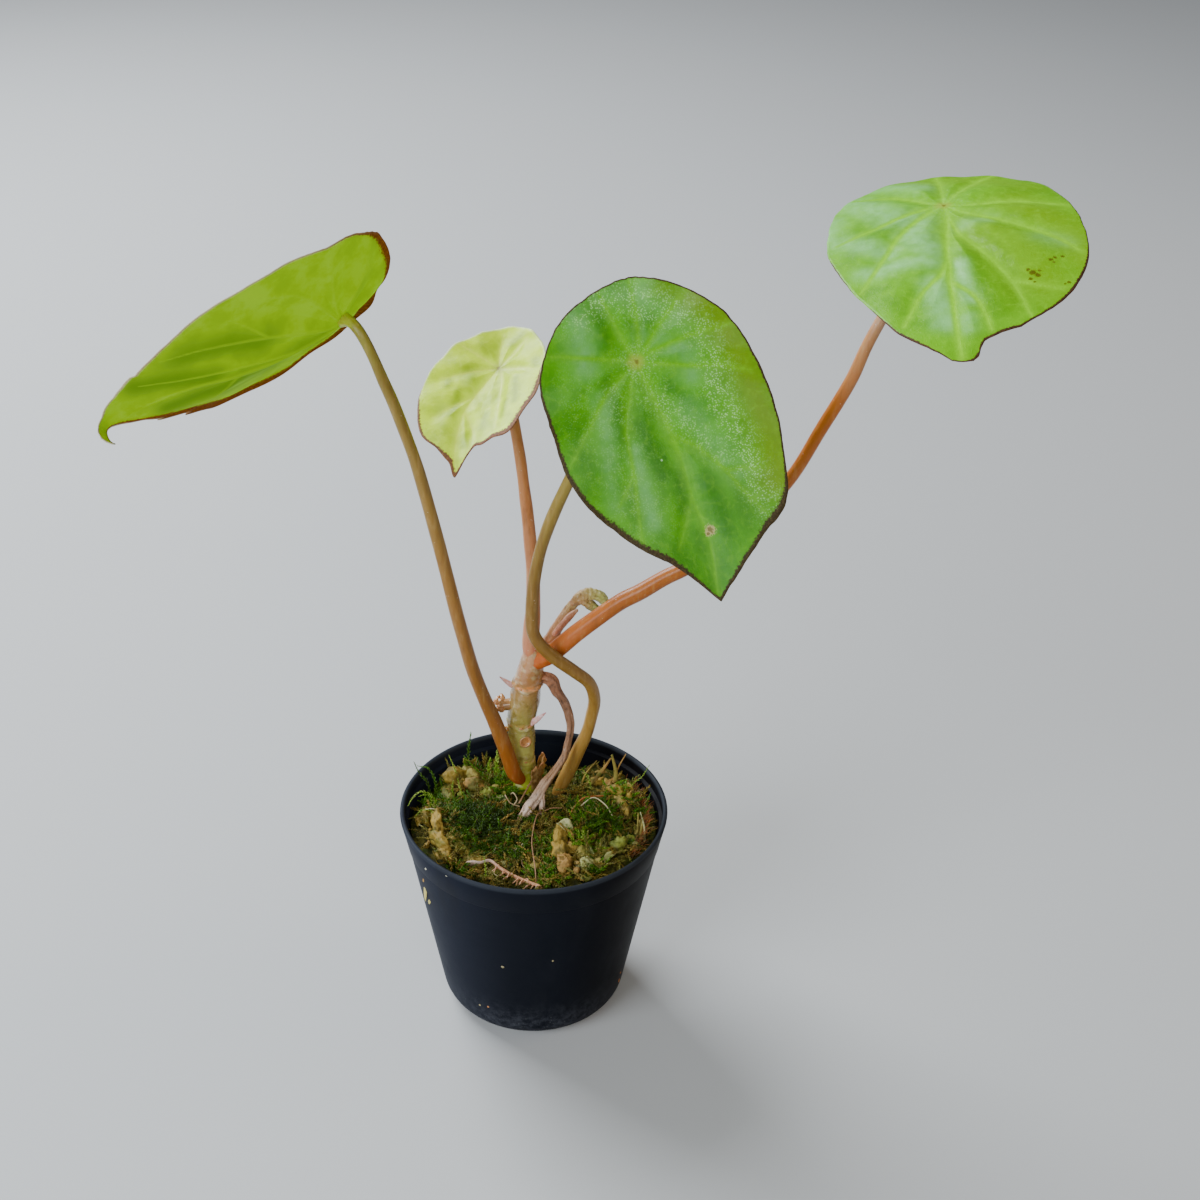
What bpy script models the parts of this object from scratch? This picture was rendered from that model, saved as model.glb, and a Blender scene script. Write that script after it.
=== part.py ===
"""A young begonia with shield-shaped leaves, rooted in sphagnum in a small nursery pot.

The frame is the pot's: its origin is the middle of the foot, +Z is up, and the big leaf faces -Y.
Everything is in metres.
"""

import math
import random

import bmesh
import bpy
from mathutils import Matrix, Vector, noise

GAP = 0.0003
WELD = 0.000001
SHARP_ANGLE = 50

# Pot: a tapered nursery pot with a collar and a rounded lip.
RIM_RADIUS = 0.045
POT_HEIGHT = 0.077
LIP = 0.0016
WALL = 0.0011
COLLAR_HEIGHT = 0.011
COLLAR_STEP = 0.0003
COLLAR_RADIUS = 0.0429
TAPER_FOOT_RADIUS = 0.032
TAPER_FOOT_HEIGHT = 0.008
CORNER_RADIUS = 0.0085
LEDGE_HEIGHT = 0.072
LEDGE_RADIUS = 0.0423
FLOOR_HEIGHT = 0.0024
RECESS = 0.0012
PAD_RADIUS = 0.010
FOOT_RING_INNER = 0.0218
DRAIN_HOLES = 6
DRAIN_RADIUS = 0.003
DRAIN_CIRCLE = 0.016
POT_SEGMENTS = 48
LEDGE_SLOPE = 0.0006
CORNER_STEPS = 4
LIP_STEPS = 5
DRAIN_SEGMENTS = 16

# Growing medium: mean height of its top, and the mounds and hollows on it.
MEDIUM_HEIGHT = 0.0695
MEDIUM_SECTORS = 48
MEDIUM_RINGS = 11
MEDIUM_EDGE_LIMIT = 0.0712
MEDIUM_SIDE_HEIGHT = 0.055
ROUGHNESS_HEIGHT = 0.0011
ROUGHNESS_SIZE = 0.006
# Each mound: x, y, radius, height.
MOUNDS = [
    (-0.026, 0.023, 0.0055, 0.0032),
    (-0.033, -0.004, 0.0050, 0.0022),
    (-0.029, -0.018, 0.0050, 0.0026),
    (0.011, -0.010, 0.0050, 0.0026),
    (0.014, -0.025, 0.0065, 0.0036),
    (0.032, 0.009, 0.0060, 0.0030),
    (0.029, -0.021, 0.0060, 0.0028),
    (-0.018, 0.014, 0.0045, 0.0022),
    (-0.020, -0.004, 0.0070, 0.0018),
    (0.020, -0.002, 0.0060, 0.0020),
    (0.006, 0.036, 0.0110, -0.0060),
    (-0.034, 0.018, 0.0050, -0.0030),
    (-0.006, 0.008, 0.0045, -0.0020),
    (-0.005, -0.027, 0.0070, -0.0010),
]

# Sprigs and straws that stand out of the medium: foot, tip, radius, and how far the middle bows sideways.
SPRIGS = [
    ((-0.0223, 0.025, 0.068), (-0.0221, 0.025, 0.0891), 0.0013, 0.0010),
    ((-0.0258, 0.020, 0.068), (-0.0292, 0.020, 0.0834), 0.0010, -0.0012),
    ((-0.0345, 0.012, 0.066), (-0.0385, 0.012, 0.0850), 0.0011, -0.0015),
    ((-0.0335, -0.002, 0.067), (-0.0418, -0.002, 0.0795), 0.0009, 0.0022),
    ((-0.0133, 0.024, 0.067), (-0.0128, 0.024, 0.0826), 0.0013, 0.0008),
    ((-0.0158, -0.030, 0.066), (-0.0160, -0.031, 0.0800), 0.0009, 0.0006),
    ((0.0200, 0.020, 0.066), (0.0166, 0.020, 0.0776), 0.0010, 0.0010),
    ((0.0230, 0.004, 0.067), (0.0252, 0.001, 0.0790), 0.0011, -0.0012),
    ((0.0200, -0.010, 0.067), (0.0222, -0.013, 0.0768), 0.0012, 0.0010),
    ((0.0300, 0.014, 0.068), (0.0396, 0.014, 0.0836), 0.0006, -0.0010),
]
STRAWS = [
    ((0.0286, 0.022, 0.067), (0.0269, 0.022, 0.0819), 0.0008, 0.0007),
    ((0.0196, 0.022, 0.068), (0.0265, 0.023, 0.0800), 0.0007, 0.0005),
    ((0.0120, -0.004, 0.067), (0.0135, -0.005, 0.0765), 0.0014, 0.0006),
    ((0.0108, -0.012, 0.067), (0.0120, -0.020, 0.0755), 0.0016, -0.0010),
    ((-0.0300, -0.012, 0.066), (-0.0270, -0.024, 0.0745), 0.0014, 0.0008),
    ((0.0330, -0.014, 0.066), (0.0345, -0.004, 0.0740), 0.0013, -0.0010),
    ((-0.0260, 0.026, 0.068), (-0.0190, 0.018, 0.0755), 0.0013, 0.0010),
]
# Strands strewn over the top: how far out they start and end, how deep, and how high they lift.
STRAND_SEED = 11
RANDOM_STRANDS = 30
STRAND_LENGTH = 0.010
STRAND_RADIUS = 0.0009
STRAND_START_REACH = 0.034
STRAND_END_REACH = 0.037
STRAND_DEPTH = 0.0022
STRAND_LIFT = (0.0008, 0.0040)
STRAND_BOW = 0.002
STRAND_SIDES = 4
LEAFY_SHARE = 0.4
LEAFY_STEPS = 7
PLAIN_STEPS = 4
STRAND_TAPER = 0.55
LEAFY_WAIST = 0.55
# Places kept clear of strewn strands: x, y and reach, at the stem, the centre stalk and the dry root.
KEEP_CLEAR = [(-0.0035, 0.0198, 0.010), (0.0080, 0.0200, 0.007), (-0.0020, 0.0060, 0.009)]

# Stem: x, y, z and radius down its middle, from the foot in the medium to the top.
STEM_ROUTE = [
    (-0.0010, 0.0205, 0.0460, 0.0040),
    (-0.0024, 0.0203, 0.0600, 0.0043),
    (-0.0032, 0.0198, 0.0739, 0.0042),
    (-0.0040, 0.0190, 0.0830, 0.0043),
    (-0.0042, 0.0185, 0.0903, 0.0046),
    (-0.0045, 0.0175, 0.0993, 0.0048),
    (-0.0033, 0.0165, 0.1081, 0.0050),
    (-0.0025, 0.0157, 0.1150, 0.0048),
    (-0.0014, 0.0147, 0.1215, 0.0043),
    (-0.0004, 0.0140, 0.1272, 0.0038),
    (0.0000, 0.0137, 0.1312, 0.0031),
    (0.0001, 0.0136, 0.1328, 0.0016),
]
STEM_SEGMENTS = 28
STEM_SIDES = 12
NODE_RINGS = [(0.0835, 0.0003), (0.1000, 0.0003), (0.1165, 0.0004)]
NODE_RING_WIDTH = 0.0010
# What is left of fallen leaves: a point on the stem's middle, the outer end, and the radius.
STUB = ((-0.0040, 0.0170, 0.1070), (-0.0118, 0.0160, 0.1068), 0.0022)
SCARS = [
    ((-0.0042, 0.0182, 0.0930), (-0.0029, 0.0131, 0.0936), 0.0021),
    ((-0.0045, 0.0177, 0.0970), (-0.0096, 0.0158, 0.0972), 0.0010),
]
SCAR_SIDES = 10
SCAR_TAPER = 0.8

# Leaf stalks, from foot to blade: x, y, z and radius.
PETIOLE_LEFT = [
    (-0.0040, 0.0185, 0.0745, 0.0022),
    (-0.0052, 0.0165, 0.0765, 0.0025),
    (-0.0068, 0.0142, 0.0802, 0.0026),
    (-0.0087, 0.0120, 0.0883, 0.0026),
    (-0.0105, 0.0111, 0.0951, 0.0026),
    (-0.0134, 0.0103, 0.1047, 0.0024),
    (-0.0163, 0.0090, 0.1136, 0.0023),
    (-0.0200, 0.0065, 0.1271, 0.0022),
    (-0.0226, 0.0040, 0.1402, 0.0022),
    (-0.0248, 0.0015, 0.1523, 0.0021),
    (-0.0270, -0.0005, 0.1652, 0.0021),
    (-0.0290, -0.0025, 0.1771, 0.0020),
    (-0.0311, -0.0040, 0.1884, 0.0020),
    (-0.0333, -0.0050, 0.1993, 0.0019),
    (-0.0356, -0.0060, 0.2098, 0.0018),
    (-0.0385, -0.0067, 0.2201, 0.0018),
    (-0.0416, -0.0070, 0.2299, 0.0017),
    (-0.0440, -0.0068, 0.2361, 0.0017),
    (-0.0463, -0.0060, 0.2420, 0.0016),
    (-0.0484, -0.0051, 0.2466, 0.0016),
    (-0.0508, -0.0037, 0.2504, 0.0016),
    (-0.0531, -0.0014, 0.2519, 0.0016),
    (-0.0557, 0.0020, 0.2513, 0.0016),
    (-0.0582, 0.0055, 0.2495, 0.0016),
]
PETIOLE_SMALL = [
    (-0.0004, 0.0140, 0.1265, 0.0024),
    (-0.0012, 0.0133, 0.1320, 0.0029),
    (-0.0010, 0.0136, 0.1381, 0.0027),
    (-0.0005, 0.0146, 0.1451, 0.0024),
    (-0.0005, 0.0165, 0.1553, 0.0022),
    (-0.0012, 0.0187, 0.1652, 0.0021),
    (-0.0021, 0.0210, 0.1749, 0.0020),
    (-0.0033, 0.0232, 0.1845, 0.0019),
    (-0.0045, 0.0257, 0.1939, 0.0018),
    (-0.0061, 0.0282, 0.2032, 0.0017),
    (-0.0078, 0.0304, 0.2118, 0.0016),
    (-0.0096, 0.0315, 0.2190, 0.0015),
    (-0.0112, 0.0296, 0.2238, 0.0015),
    (-0.0118, 0.0289, 0.2256, 0.0015),
]
PETIOLE_CENTRE = [
    (0.0062, 0.0205, 0.0580, 0.0023),
    (0.0094, 0.0200, 0.0701, 0.0023),
    (0.0124, 0.0185, 0.0789, 0.0023),
    (0.0153, 0.0170, 0.0880, 0.0022),
    (0.0179, 0.0153, 0.0963, 0.0021),
    (0.0192, 0.0135, 0.1040, 0.0021),
    (0.0200, 0.0115, 0.1119, 0.0021),
    (0.0180, 0.0080, 0.1211, 0.0021),
    (0.0129, 0.0050, 0.1277, 0.0021),
    (0.0067, 0.0030, 0.1340, 0.0021),
    (0.0018, 0.0020, 0.1398, 0.0021),
    (-0.0005, 0.0015, 0.1452, 0.0021),
    (-0.0008, 0.0010, 0.1519, 0.0021),
    (-0.0005, 0.0005, 0.1603, 0.0020),
    (0.0004, 0.0000, 0.1683, 0.0020),
    (0.0023, -0.0010, 0.1781, 0.0019),
    (0.0056, -0.0020, 0.1892, 0.0019),
    (0.0106, -0.0030, 0.2022, 0.0018),
    (0.0180, -0.0040, 0.2205, 0.0017),
    (0.0236, -0.0058, 0.2345, 0.0017),
    (0.0273, -0.0090, 0.2428, 0.0016),
    (0.0285, -0.0145, 0.2464, 0.0016),
    (0.0285, -0.0184, 0.2475, 0.0016),
    (0.0285, -0.0205, 0.2481, 0.0016),
]
PETIOLE_RIGHT = [
    (-0.0008, 0.0142, 0.1245, 0.0028),
    (0.0018, 0.0122, 0.1275, 0.0030),
    (0.0048, 0.0100, 0.1307, 0.0031),
    (0.0093, 0.0080, 0.1362, 0.0029),
    (0.0134, 0.0070, 0.1409, 0.0028),
    (0.0207, 0.0060, 0.1479, 0.0028),
    (0.0279, 0.0050, 0.1544, 0.0027),
    (0.0335, 0.0045, 0.1580, 0.0026),
    (0.0412, 0.0040, 0.1636, 0.0025),
    (0.0473, 0.0035, 0.1674, 0.0024),
    (0.0578, 0.0025, 0.1764, 0.0022),
    (0.0686, 0.0015, 0.1880, 0.0021),
    (0.0783, 0.0005, 0.2017, 0.0020),
    (0.0857, 0.0000, 0.2175, 0.0019),
    (0.0934, -0.0005, 0.2342, 0.0019),
    (0.0970, -0.0010, 0.2453, 0.0017),
    (0.1011, -0.0010, 0.2550, 0.0017),
    (0.1072, -0.0013, 0.2680, 0.0017),
    (0.1130, -0.0015, 0.2770, 0.0016),
    (0.1154, -0.0017, 0.2826, 0.0016),
    (0.1143, -0.0019, 0.2885, 0.0016),
    (0.1138, -0.0020, 0.2910, 0.0016),
]
PETIOLE_SEGMENTS = 36
TWIG_SIDES = 8

# Young shoot at the stem's top, and its rolled leaf.
SHOOT_SEGMENTS = 12
SHOOT_STIPULE_SEGMENTS = 8
SHOOT_STALK = [
    (0.0012, 0.0162, 0.1262, 0.0018),
    (0.0034, 0.0166, 0.1300, 0.0020),
    (0.0051, 0.0165, 0.1324, 0.0020),
    (0.0074, 0.0160, 0.1374, 0.0020),
    (0.0103, 0.0153, 0.1432, 0.0018),
    (0.0124, 0.0147, 0.1472, 0.0016),
]
SHOOT_LEAF_INNER = [
    (0.0150, 0.0136, 0.1499, 0.0013),
    (0.0180, 0.0128, 0.1481, 0.0016),
    (0.0213, 0.0123, 0.1463, 0.0010),
]
SHOOT_LEAF = [
    (0.0128, 0.0146, 0.1480, 0.0016),
    (0.0150, 0.0140, 0.1508, 0.0019),
    (0.0176, 0.0137, 0.1518, 0.0019),
    (0.0205, 0.0132, 0.1513, 0.0018),
    (0.0224, 0.0128, 0.1497, 0.0015),
    (0.0234, 0.0125, 0.1476, 0.0008),
]
SHOOT_STIPULE = [
    (0.0066, 0.0132, 0.1368, 0.0008),
    (0.0088, 0.0122, 0.1405, 0.0010),
    (0.0115, 0.0116, 0.1446, 0.0010),
    (0.0136, 0.0112, 0.1470, 0.0006),
]

# Roots in the air and on the moss.
DRY_ROOT_SEGMENTS = 26
TOE_SEGMENTS = 5
SURFACE_ROOT_SEGMENTS = 16
DRY_ROOT = [
    (0.0010, 0.0152, 0.1190, 0.0020),
    (0.0052, 0.0148, 0.1180, 0.0023),
    (0.0074, 0.0150, 0.1130, 0.0020),
    (0.0093, 0.0152, 0.1100, 0.0018),
    (0.0110, 0.0150, 0.1061, 0.0016),
    (0.0122, 0.0145, 0.1010, 0.0015),
    (0.0121, 0.0140, 0.0968, 0.0014),
    (0.0113, 0.0135, 0.0927, 0.0013),
    (0.0101, 0.0125, 0.0879, 0.0013),
    (0.0070, 0.0115, 0.0828, 0.0015),
    (0.0034, 0.0100, 0.0780, 0.0019),
    (0.0008, 0.0078, 0.0742, 0.0020),
    (-0.0024, 0.0048, 0.0712, 0.0021),
    (-0.0052, 0.0020, 0.0670, 0.0015),
]
DRY_ROOT_TOE = [
    (0.0026, 0.0088, 0.0762, 0.0012),
    (0.0026, 0.0068, 0.0720, 0.0012),
    (0.0030, 0.0045, 0.0670, 0.0009),
]
SURFACE_ROOT = [
    (-0.0212, -0.0238, 0.0715, 0.0012),
    (-0.0195, -0.0243, 0.0722, 0.0009),
    (-0.0176, -0.0249, 0.0726, 0.0006),
    (-0.0144, -0.0242, 0.0728, 0.0006),
    (-0.0110, -0.0275, 0.0722, 0.0008),
    (-0.0071, -0.0301, 0.0716, 0.0008),
    (-0.0029, -0.0326, 0.0712, 0.0008),
    (0.0020, -0.0352, 0.0708, 0.0008),
]
FIRST_ROOTLET = 7
ROOTLETS = 9
ROOTLET_WAY = (-0.35, 0.75, 0.35)
ROOTLET_LENGTH = 0.0028
ROOTLET_RADIUS = 0.0005
FINE_SIDES = 6

# Pink scales on the stem: foot inside the stem, tip, radius at the foot.
STIPULE_LEFT = ((-0.0040, 0.0160, 0.1135), (-0.0114, 0.0150, 0.1188), 0.0014)
STIPULE_RIGHT = ((-0.0030, 0.0150, 0.0995), (0.0038, 0.0120, 0.1064), 0.0014)
STIPULE_POINT = 0.0003

# Papery sheath round the stem's foot: angles round the stem from +X, heights, and how far it flares.
BRACT_FROM = -65.0
BRACT_TO = 35.0
BRACT_FOOT = 0.0725
BRACT_HEIGHT = 0.0115
BRACT_RADIUS = 0.0049
BRACT_FLARE = 0.0026
BRACT_EDGE_FLARE = 0.4
BRACT_EDGE_DIP = 0.004
BRACT_THICKNESS = 0.0006
BRACT_ROWS = 6
BRACT_COLUMNS = 7

# The blade's outline: angle from the tip in degrees, positive towards the wide side, and the share of
# the length from the stalk to the tip.
OUTLINE = [
    (0, 1.000),
    (4, 0.945),
    (12, 0.885),
    (24, 0.820),
    (45, 0.640),
    (70, 0.495),
    (100, 0.405),
    (140, 0.345),
    (180, 0.328),
    (220, 0.345),
    (260, 0.385),
    (290, 0.440),
    (315, 0.560),
    (336, 0.700),
    (348, 0.790),
    (356, 0.905),
    (360, 1.000),
]
BLADE_THICKNESS = 0.0008
BLADE_SECTORS = 48
TIP_CROWDING = 0.6
BLADE_RINGS = [0.16, 0.36, 0.56, 0.74, 0.89, 1.0]
MAIN_VEINS = [-140, -100, -64, -32, 0, 32, 64, 100, 140]
QUILTING = 0.012
QUILT_POWER = 0.8
MARGIN_WAVES = 7
MARGIN_RIPPLES = 10.5
WAVE_SHIFT = 900
FOLD_SOFTNESS = 0.06
HOOK_START = 0.85

# Each leaf: where the stalk meets it, length from there to the tip, the way to the tip, the way its
# top faces, which side is the wide one, and how it bends across, at the midrib, to the tip and to the base.
# Each margin change is an angle, its spread in degrees and how far the margin moves there; wave is how
# far the margin weaves in and out and up and down.
LEAVES = {
    "leaf_left": {
        "place": (-0.0562, 0.0026, 0.2507),
        "length": 0.0741,
        "tip_way": (-0.741, -0.523, -0.422),
        "top_way": (-0.667, 0.495, 0.557),
        "wide_side": 1,
        "bends": (0.26, 0.45, -0.24, -0.64),
        "margin_changes": [
            (351, 6, -0.14),
            (0, 4, -0.14),
            (7, 4, 0.14),
            (337, 7, -0.05),
            (26, 11, -0.03),
            (60, 20, 0.03),
            (200, 28, -0.045),
        ],
        "wave": 0.004,
        "tip_hook": 0.10,
    },
    "leaf_small": {
        "place": (-0.0112, 0.0296, 0.2238),
        "length": 0.0426,
        "tip_way": (-0.257, -0.852, -0.456),
        "top_way": (-0.316, -0.372, 0.873),
        "wide_side": -1,
        "bends": (0.08, 0.35, -0.10, -0.25),
        "margin_changes": [
            (356, 4, -0.115),
            (345, 8, -0.03),
            (336, 8, 0.06),
            (14, 8, -0.03),
            (310, 14, 0.02),
            (187, 26, 0.04),
            (0, 2, 0.06),
        ],
        "wave": 0.008,
        "tip_hook": 0.02,
    },
    "leaf_centre": {
        "place": (0.0285, -0.0184, 0.2475),
        "length": 0.0708,
        "tip_way": (0.349, -0.254, -0.902),
        "top_way": (0.003, -0.962, 0.272),
        "wide_side": 1,
        "bends": (0.11, 0.21, -0.18, 0.14),
        "margin_changes": [
            (28, 9, 0.03),
            (10, 6, -0.012),
            (345, 8, 0.018),
            (60, 14, -0.013),
            (112, 16, -0.009),
        ],
        "wave": 0.012,
        "tip_hook": 0.0,
    },
    "leaf_right": {
        "place": (0.1143, -0.0019, 0.2885),
        "length": 0.0781,
        "tip_way": (-0.135, -0.989, -0.059),
        "top_way": (-0.176, -0.035, 0.984),
        "wide_side": 1,
        "bends": (0.15, 0.02, 0.12, 0.22),
        "margin_changes": [
            (348, 8, 0.048),
            (0, 3, -0.03),
            (6, 3, -0.009),
            (22, 8, -0.014),
            (155, 30, -0.018),
            (320, 14, -0.017),
            (40, 12, 0.014),
        ],
        "wave": 0.002,
        "tip_hook": 0.03,
    },
}

# Each piece's colour and roughness.
LOOKS = {
    "pot": ((0.020, 0.024, 0.034), 0.45),
    "sphagnum_medium": ((0.24, 0.21, 0.06), 0.9),
    "stem": ((0.30, 0.30, 0.12), 0.3),
    "petiole_left": ((0.40, 0.22, 0.06), 0.35),
    "petiole_small": ((0.55, 0.25, 0.12), 0.35),
    "petiole_centre": ((0.33, 0.24, 0.06), 0.35),
    "petiole_right": ((0.60, 0.22, 0.07), 0.35),
    "leaf_left": ((0.33, 0.50, 0.03), 0.3),
    "leaf_small": ((0.50, 0.66, 0.18), 0.3),
    "leaf_centre": ((0.13, 0.33, 0.03), 0.3),
    "leaf_right": ((0.27, 0.50, 0.10), 0.3),
    "shoot_stalk": ((0.42, 0.24, 0.18), 0.6),
    "shoot_leaf": ((0.50, 0.52, 0.25), 0.5),
    "shoot_stipule": ((0.50, 0.28, 0.24), 0.6),
    "dry_root": ((0.30, 0.20, 0.14), 0.7),
    "surface_root": ((0.45, 0.24, 0.14), 0.6),
    "stipule_left": ((0.55, 0.25, 0.24), 0.5),
    "stipule_right": ((0.55, 0.25, 0.24), 0.5),
    "dry_bract": ((0.28, 0.18, 0.08), 0.7),
}


def clear_scene():
    for thing in list(bpy.data.objects):
        bpy.data.objects.remove(thing)


def material(name, colour, roughness):
    made = bpy.data.materials.new(name)
    made.use_nodes = True
    shader = made.node_tree.nodes["Principled BSDF"]
    shader.inputs["Base Color"].default_value = (*colour, 1.0)
    shader.inputs["Roughness"].default_value = roughness
    shader.inputs["Metallic"].default_value = 0.0
    return made


def place(name, mesh):
    """A new object in the scene, smooth but for its sharp edges. A tool's name has no look of its own."""
    thing = bpy.data.objects.new(name, mesh)
    bpy.context.scene.collection.objects.link(thing)
    if name in LOOKS:
        mesh.materials.clear()
        mesh.materials.append(material(name, *LOOKS[name]))
    finish_shading(mesh)
    return thing


def finish_shading(mesh):
    mesh.shade_smooth()
    mesh.set_sharp_from_angle(angle=math.radians(SHARP_ANGLE))


def mesh_from(bm, name):
    mesh = bpy.data.meshes.new(name)
    bmesh.ops.recalc_face_normals(bm, faces=bm.faces)
    bm.to_mesh(mesh)
    bm.free()
    return mesh


def evaluated_mesh(thing):
    bpy.context.view_layer.update()
    graph = bpy.context.evaluated_depsgraph_get()
    return bpy.data.meshes.new_from_object(thing.evaluated_get(graph))


def combine(thing, others, operation):
    """Joins the others to the thing, or cuts them from it, and removes them."""
    group = bpy.data.collections.new(thing.name + "_tools")
    bpy.context.scene.collection.children.link(group)
    for other in others:
        bpy.context.scene.collection.objects.unlink(other)
        group.objects.link(other)
    boolean = thing.modifiers.new(operation.title(), "BOOLEAN")
    boolean.operation = operation
    boolean.operand_type = "COLLECTION"
    boolean.collection = group
    boolean.solver = "EXACT"
    mesh = evaluated_mesh(thing)
    thing.modifiers.clear()
    thing.data = mesh
    finish_shading(mesh)
    for other in others:
        bpy.data.objects.remove(other)
    bpy.data.collections.remove(group)


def smooth_route(points, count):
    """Evenly numbered places on a smooth curve through the points, each with its radius."""
    lengths = [0.0]
    for first, second in zip(points, points[1:]):
        lengths.append(lengths[-1] + (Vector(second[:3]) - Vector(first[:3])).length)
    route = []
    piece = 0
    for number in range(count + 1):
        along = lengths[-1] * number / count
        while piece < len(points) - 2 and along > lengths[piece + 1]:
            piece += 1
        route.append(hermite(points, lengths, piece, along))
    return route


def hermite(points, lengths, piece, along):
    start, end = Vector(points[piece]), Vector(points[piece + 1])
    span = lengths[piece + 1] - lengths[piece]
    t = (along - lengths[piece]) / span
    slope_in = slope_at(points, lengths, piece) * span
    slope_out = slope_at(points, lengths, piece + 1) * span
    return (
        start * (2 * t**3 - 3 * t**2 + 1)
        + slope_in * (t**3 - 2 * t**2 + t)
        + end * (-2 * t**3 + 3 * t**2)
        + slope_out * (t**3 - t**2)
    )


def slope_at(points, lengths, index):
    before = max(index - 1, 0)
    after = min(index + 1, len(points) - 1)
    return (Vector(points[after]) - Vector(points[before])) / (lengths[after] - lengths[before])


def tube(name, route, sides, extra=0.0):
    """A closed tube along the route's places, thicker than its radii by extra."""
    curve = bpy.data.curves.new(name, "CURVE")
    curve.dimensions = "3D"
    curve.bevel_depth = 0.001
    curve.bevel_resolution = sides // 2 - 2
    curve.use_fill_caps = True
    spline = curve.splines.new("POLY")
    spline.points.add(len(route) - 1)
    for point, at in zip(spline.points, route):
        point.co = (at[0], at[1], at[2], 1.0)
        point.radius = (at[3] + extra) / curve.bevel_depth
    guide = bpy.data.objects.new(name, curve)
    bpy.context.scene.collection.objects.link(guide)
    mesh = evaluated_mesh(guide)
    bpy.data.objects.remove(guide)
    bm = bmesh.new()
    bm.from_mesh(mesh)
    bmesh.ops.remove_doubles(bm, verts=bm.verts, dist=WELD)
    return mesh_from(bm, name)


def straight(foot, tip, foot_radius, tip_radius, rings):
    """Places from a foot to a tip, with the radius going evenly from one to the other."""
    first = Vector((*foot, foot_radius))
    last = Vector((*tip, tip_radius))
    return [first.lerp(last, number / rings) for number in range(rings + 1)]


def trim(mesh, point, way):
    """Cuts off what lies past the point along the way, and closes the cut."""
    bm = bmesh.new()
    bm.from_mesh(mesh)
    cut = bmesh.ops.bisect_plane(
        bm, geom=bm.verts[:] + bm.edges[:] + bm.faces[:], plane_co=point, plane_no=way, clear_outer=True
    )
    edges = [part for part in cut["geom_cut"] if isinstance(part, bmesh.types.BMEdge)]
    bmesh.ops.edgeloop_fill(bm, edges=edges)
    bmesh.ops.recalc_face_normals(bm, faces=bm.faces)
    bm.to_mesh(mesh)
    bm.free()


def turned(profile, name):
    """A closed body turned from an outline whose two ends lie on the axis."""
    bm = bmesh.new()
    points = [bm.verts.new((radius, 0.0, height)) for radius, height in profile]
    edges = [bm.edges.new(pair) for pair in zip(points, points[1:])]
    bmesh.ops.spin(
        bm,
        geom=points + edges,
        cent=(0, 0, 0),
        axis=(0, 0, 1),
        angle=2 * math.pi,
        steps=POT_SEGMENTS,
        use_merge=True,
    )
    bmesh.ops.remove_doubles(bm, verts=bm.verts, dist=WELD)
    return mesh_from(bm, name)


def arc(centre, radius, start, end, steps):
    """Points of a round corner; angles in degrees from +X."""
    angles = [math.radians(start + (end - start) * step / steps) for step in range(steps + 1)]
    return [(centre[0] + radius * math.cos(a), centre[1] + radius * math.sin(a)) for a in angles]


def wall_lean():
    """The side's angle from upright, in radians."""
    rise = POT_HEIGHT - COLLAR_HEIGHT - TAPER_FOOT_HEIGHT
    return math.atan2(COLLAR_RADIUS - COLLAR_STEP - TAPER_FOOT_RADIUS, rise)


def corner(inset, bottom):
    """The round corner between the pot's floor and its side, this far inside the outer one."""
    lean = wall_lean()
    radius = CORNER_RADIUS - inset
    centre_height = bottom + radius
    side = TAPER_FOOT_RADIUS - inset / math.cos(lean)
    side += (centre_height - radius * math.sin(lean) - TAPER_FOOT_HEIGHT) * math.tan(lean)
    centre = (side - radius * math.cos(lean), centre_height)
    return arc(centre, radius, -90, -math.degrees(lean), CORNER_STEPS)


def inner_radius(height):
    """The pot's inside radius on its straight side."""
    collar_foot = POT_HEIGHT - COLLAR_HEIGHT
    lean = wall_lean()
    below = TAPER_FOOT_RADIUS + (collar_foot - TAPER_FOOT_HEIGHT) * math.tan(lean) - WALL
    if height <= collar_foot:
        return below - (collar_foot - height) * math.tan(lean)
    share = (height - collar_foot) / (LEDGE_HEIGHT - collar_foot)
    return below + (LEDGE_RADIUS - below) * min(share, 1.0)


def pot():
    collar_foot = POT_HEIGHT - COLLAR_HEIGHT
    lip = LIP / 2
    lip_centre = (RIM_RADIUS - lip, POT_HEIGHT - lip)
    profile = [(0.0, 0.0), (PAD_RADIUS, 0.0), (PAD_RADIUS + RECESS / 2, RECESS)]
    profile += [(FOOT_RING_INNER, RECESS), (FOOT_RING_INNER + RECESS / 2, 0.0)]
    profile += corner(0.0, 0.0)
    profile += [(COLLAR_RADIUS - COLLAR_STEP, collar_foot), (COLLAR_RADIUS, collar_foot + COLLAR_STEP)]
    profile += arc(lip_centre, lip, 0, 180, LIP_STEPS)
    profile += [(RIM_RADIUS - LIP, LEDGE_HEIGHT + LEDGE_SLOPE), (LEDGE_RADIUS, LEDGE_HEIGHT)]
    profile += [(inner_radius(collar_foot), collar_foot)]
    profile += reversed(corner(WALL, FLOOR_HEIGHT))
    profile += [(0.0, FLOOR_HEIGHT)]
    body = place("pot", turned(profile, "pot"))
    combine(body, [drain_cutter(number) for number in range(DRAIN_HOLES)], "DIFFERENCE")


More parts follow.
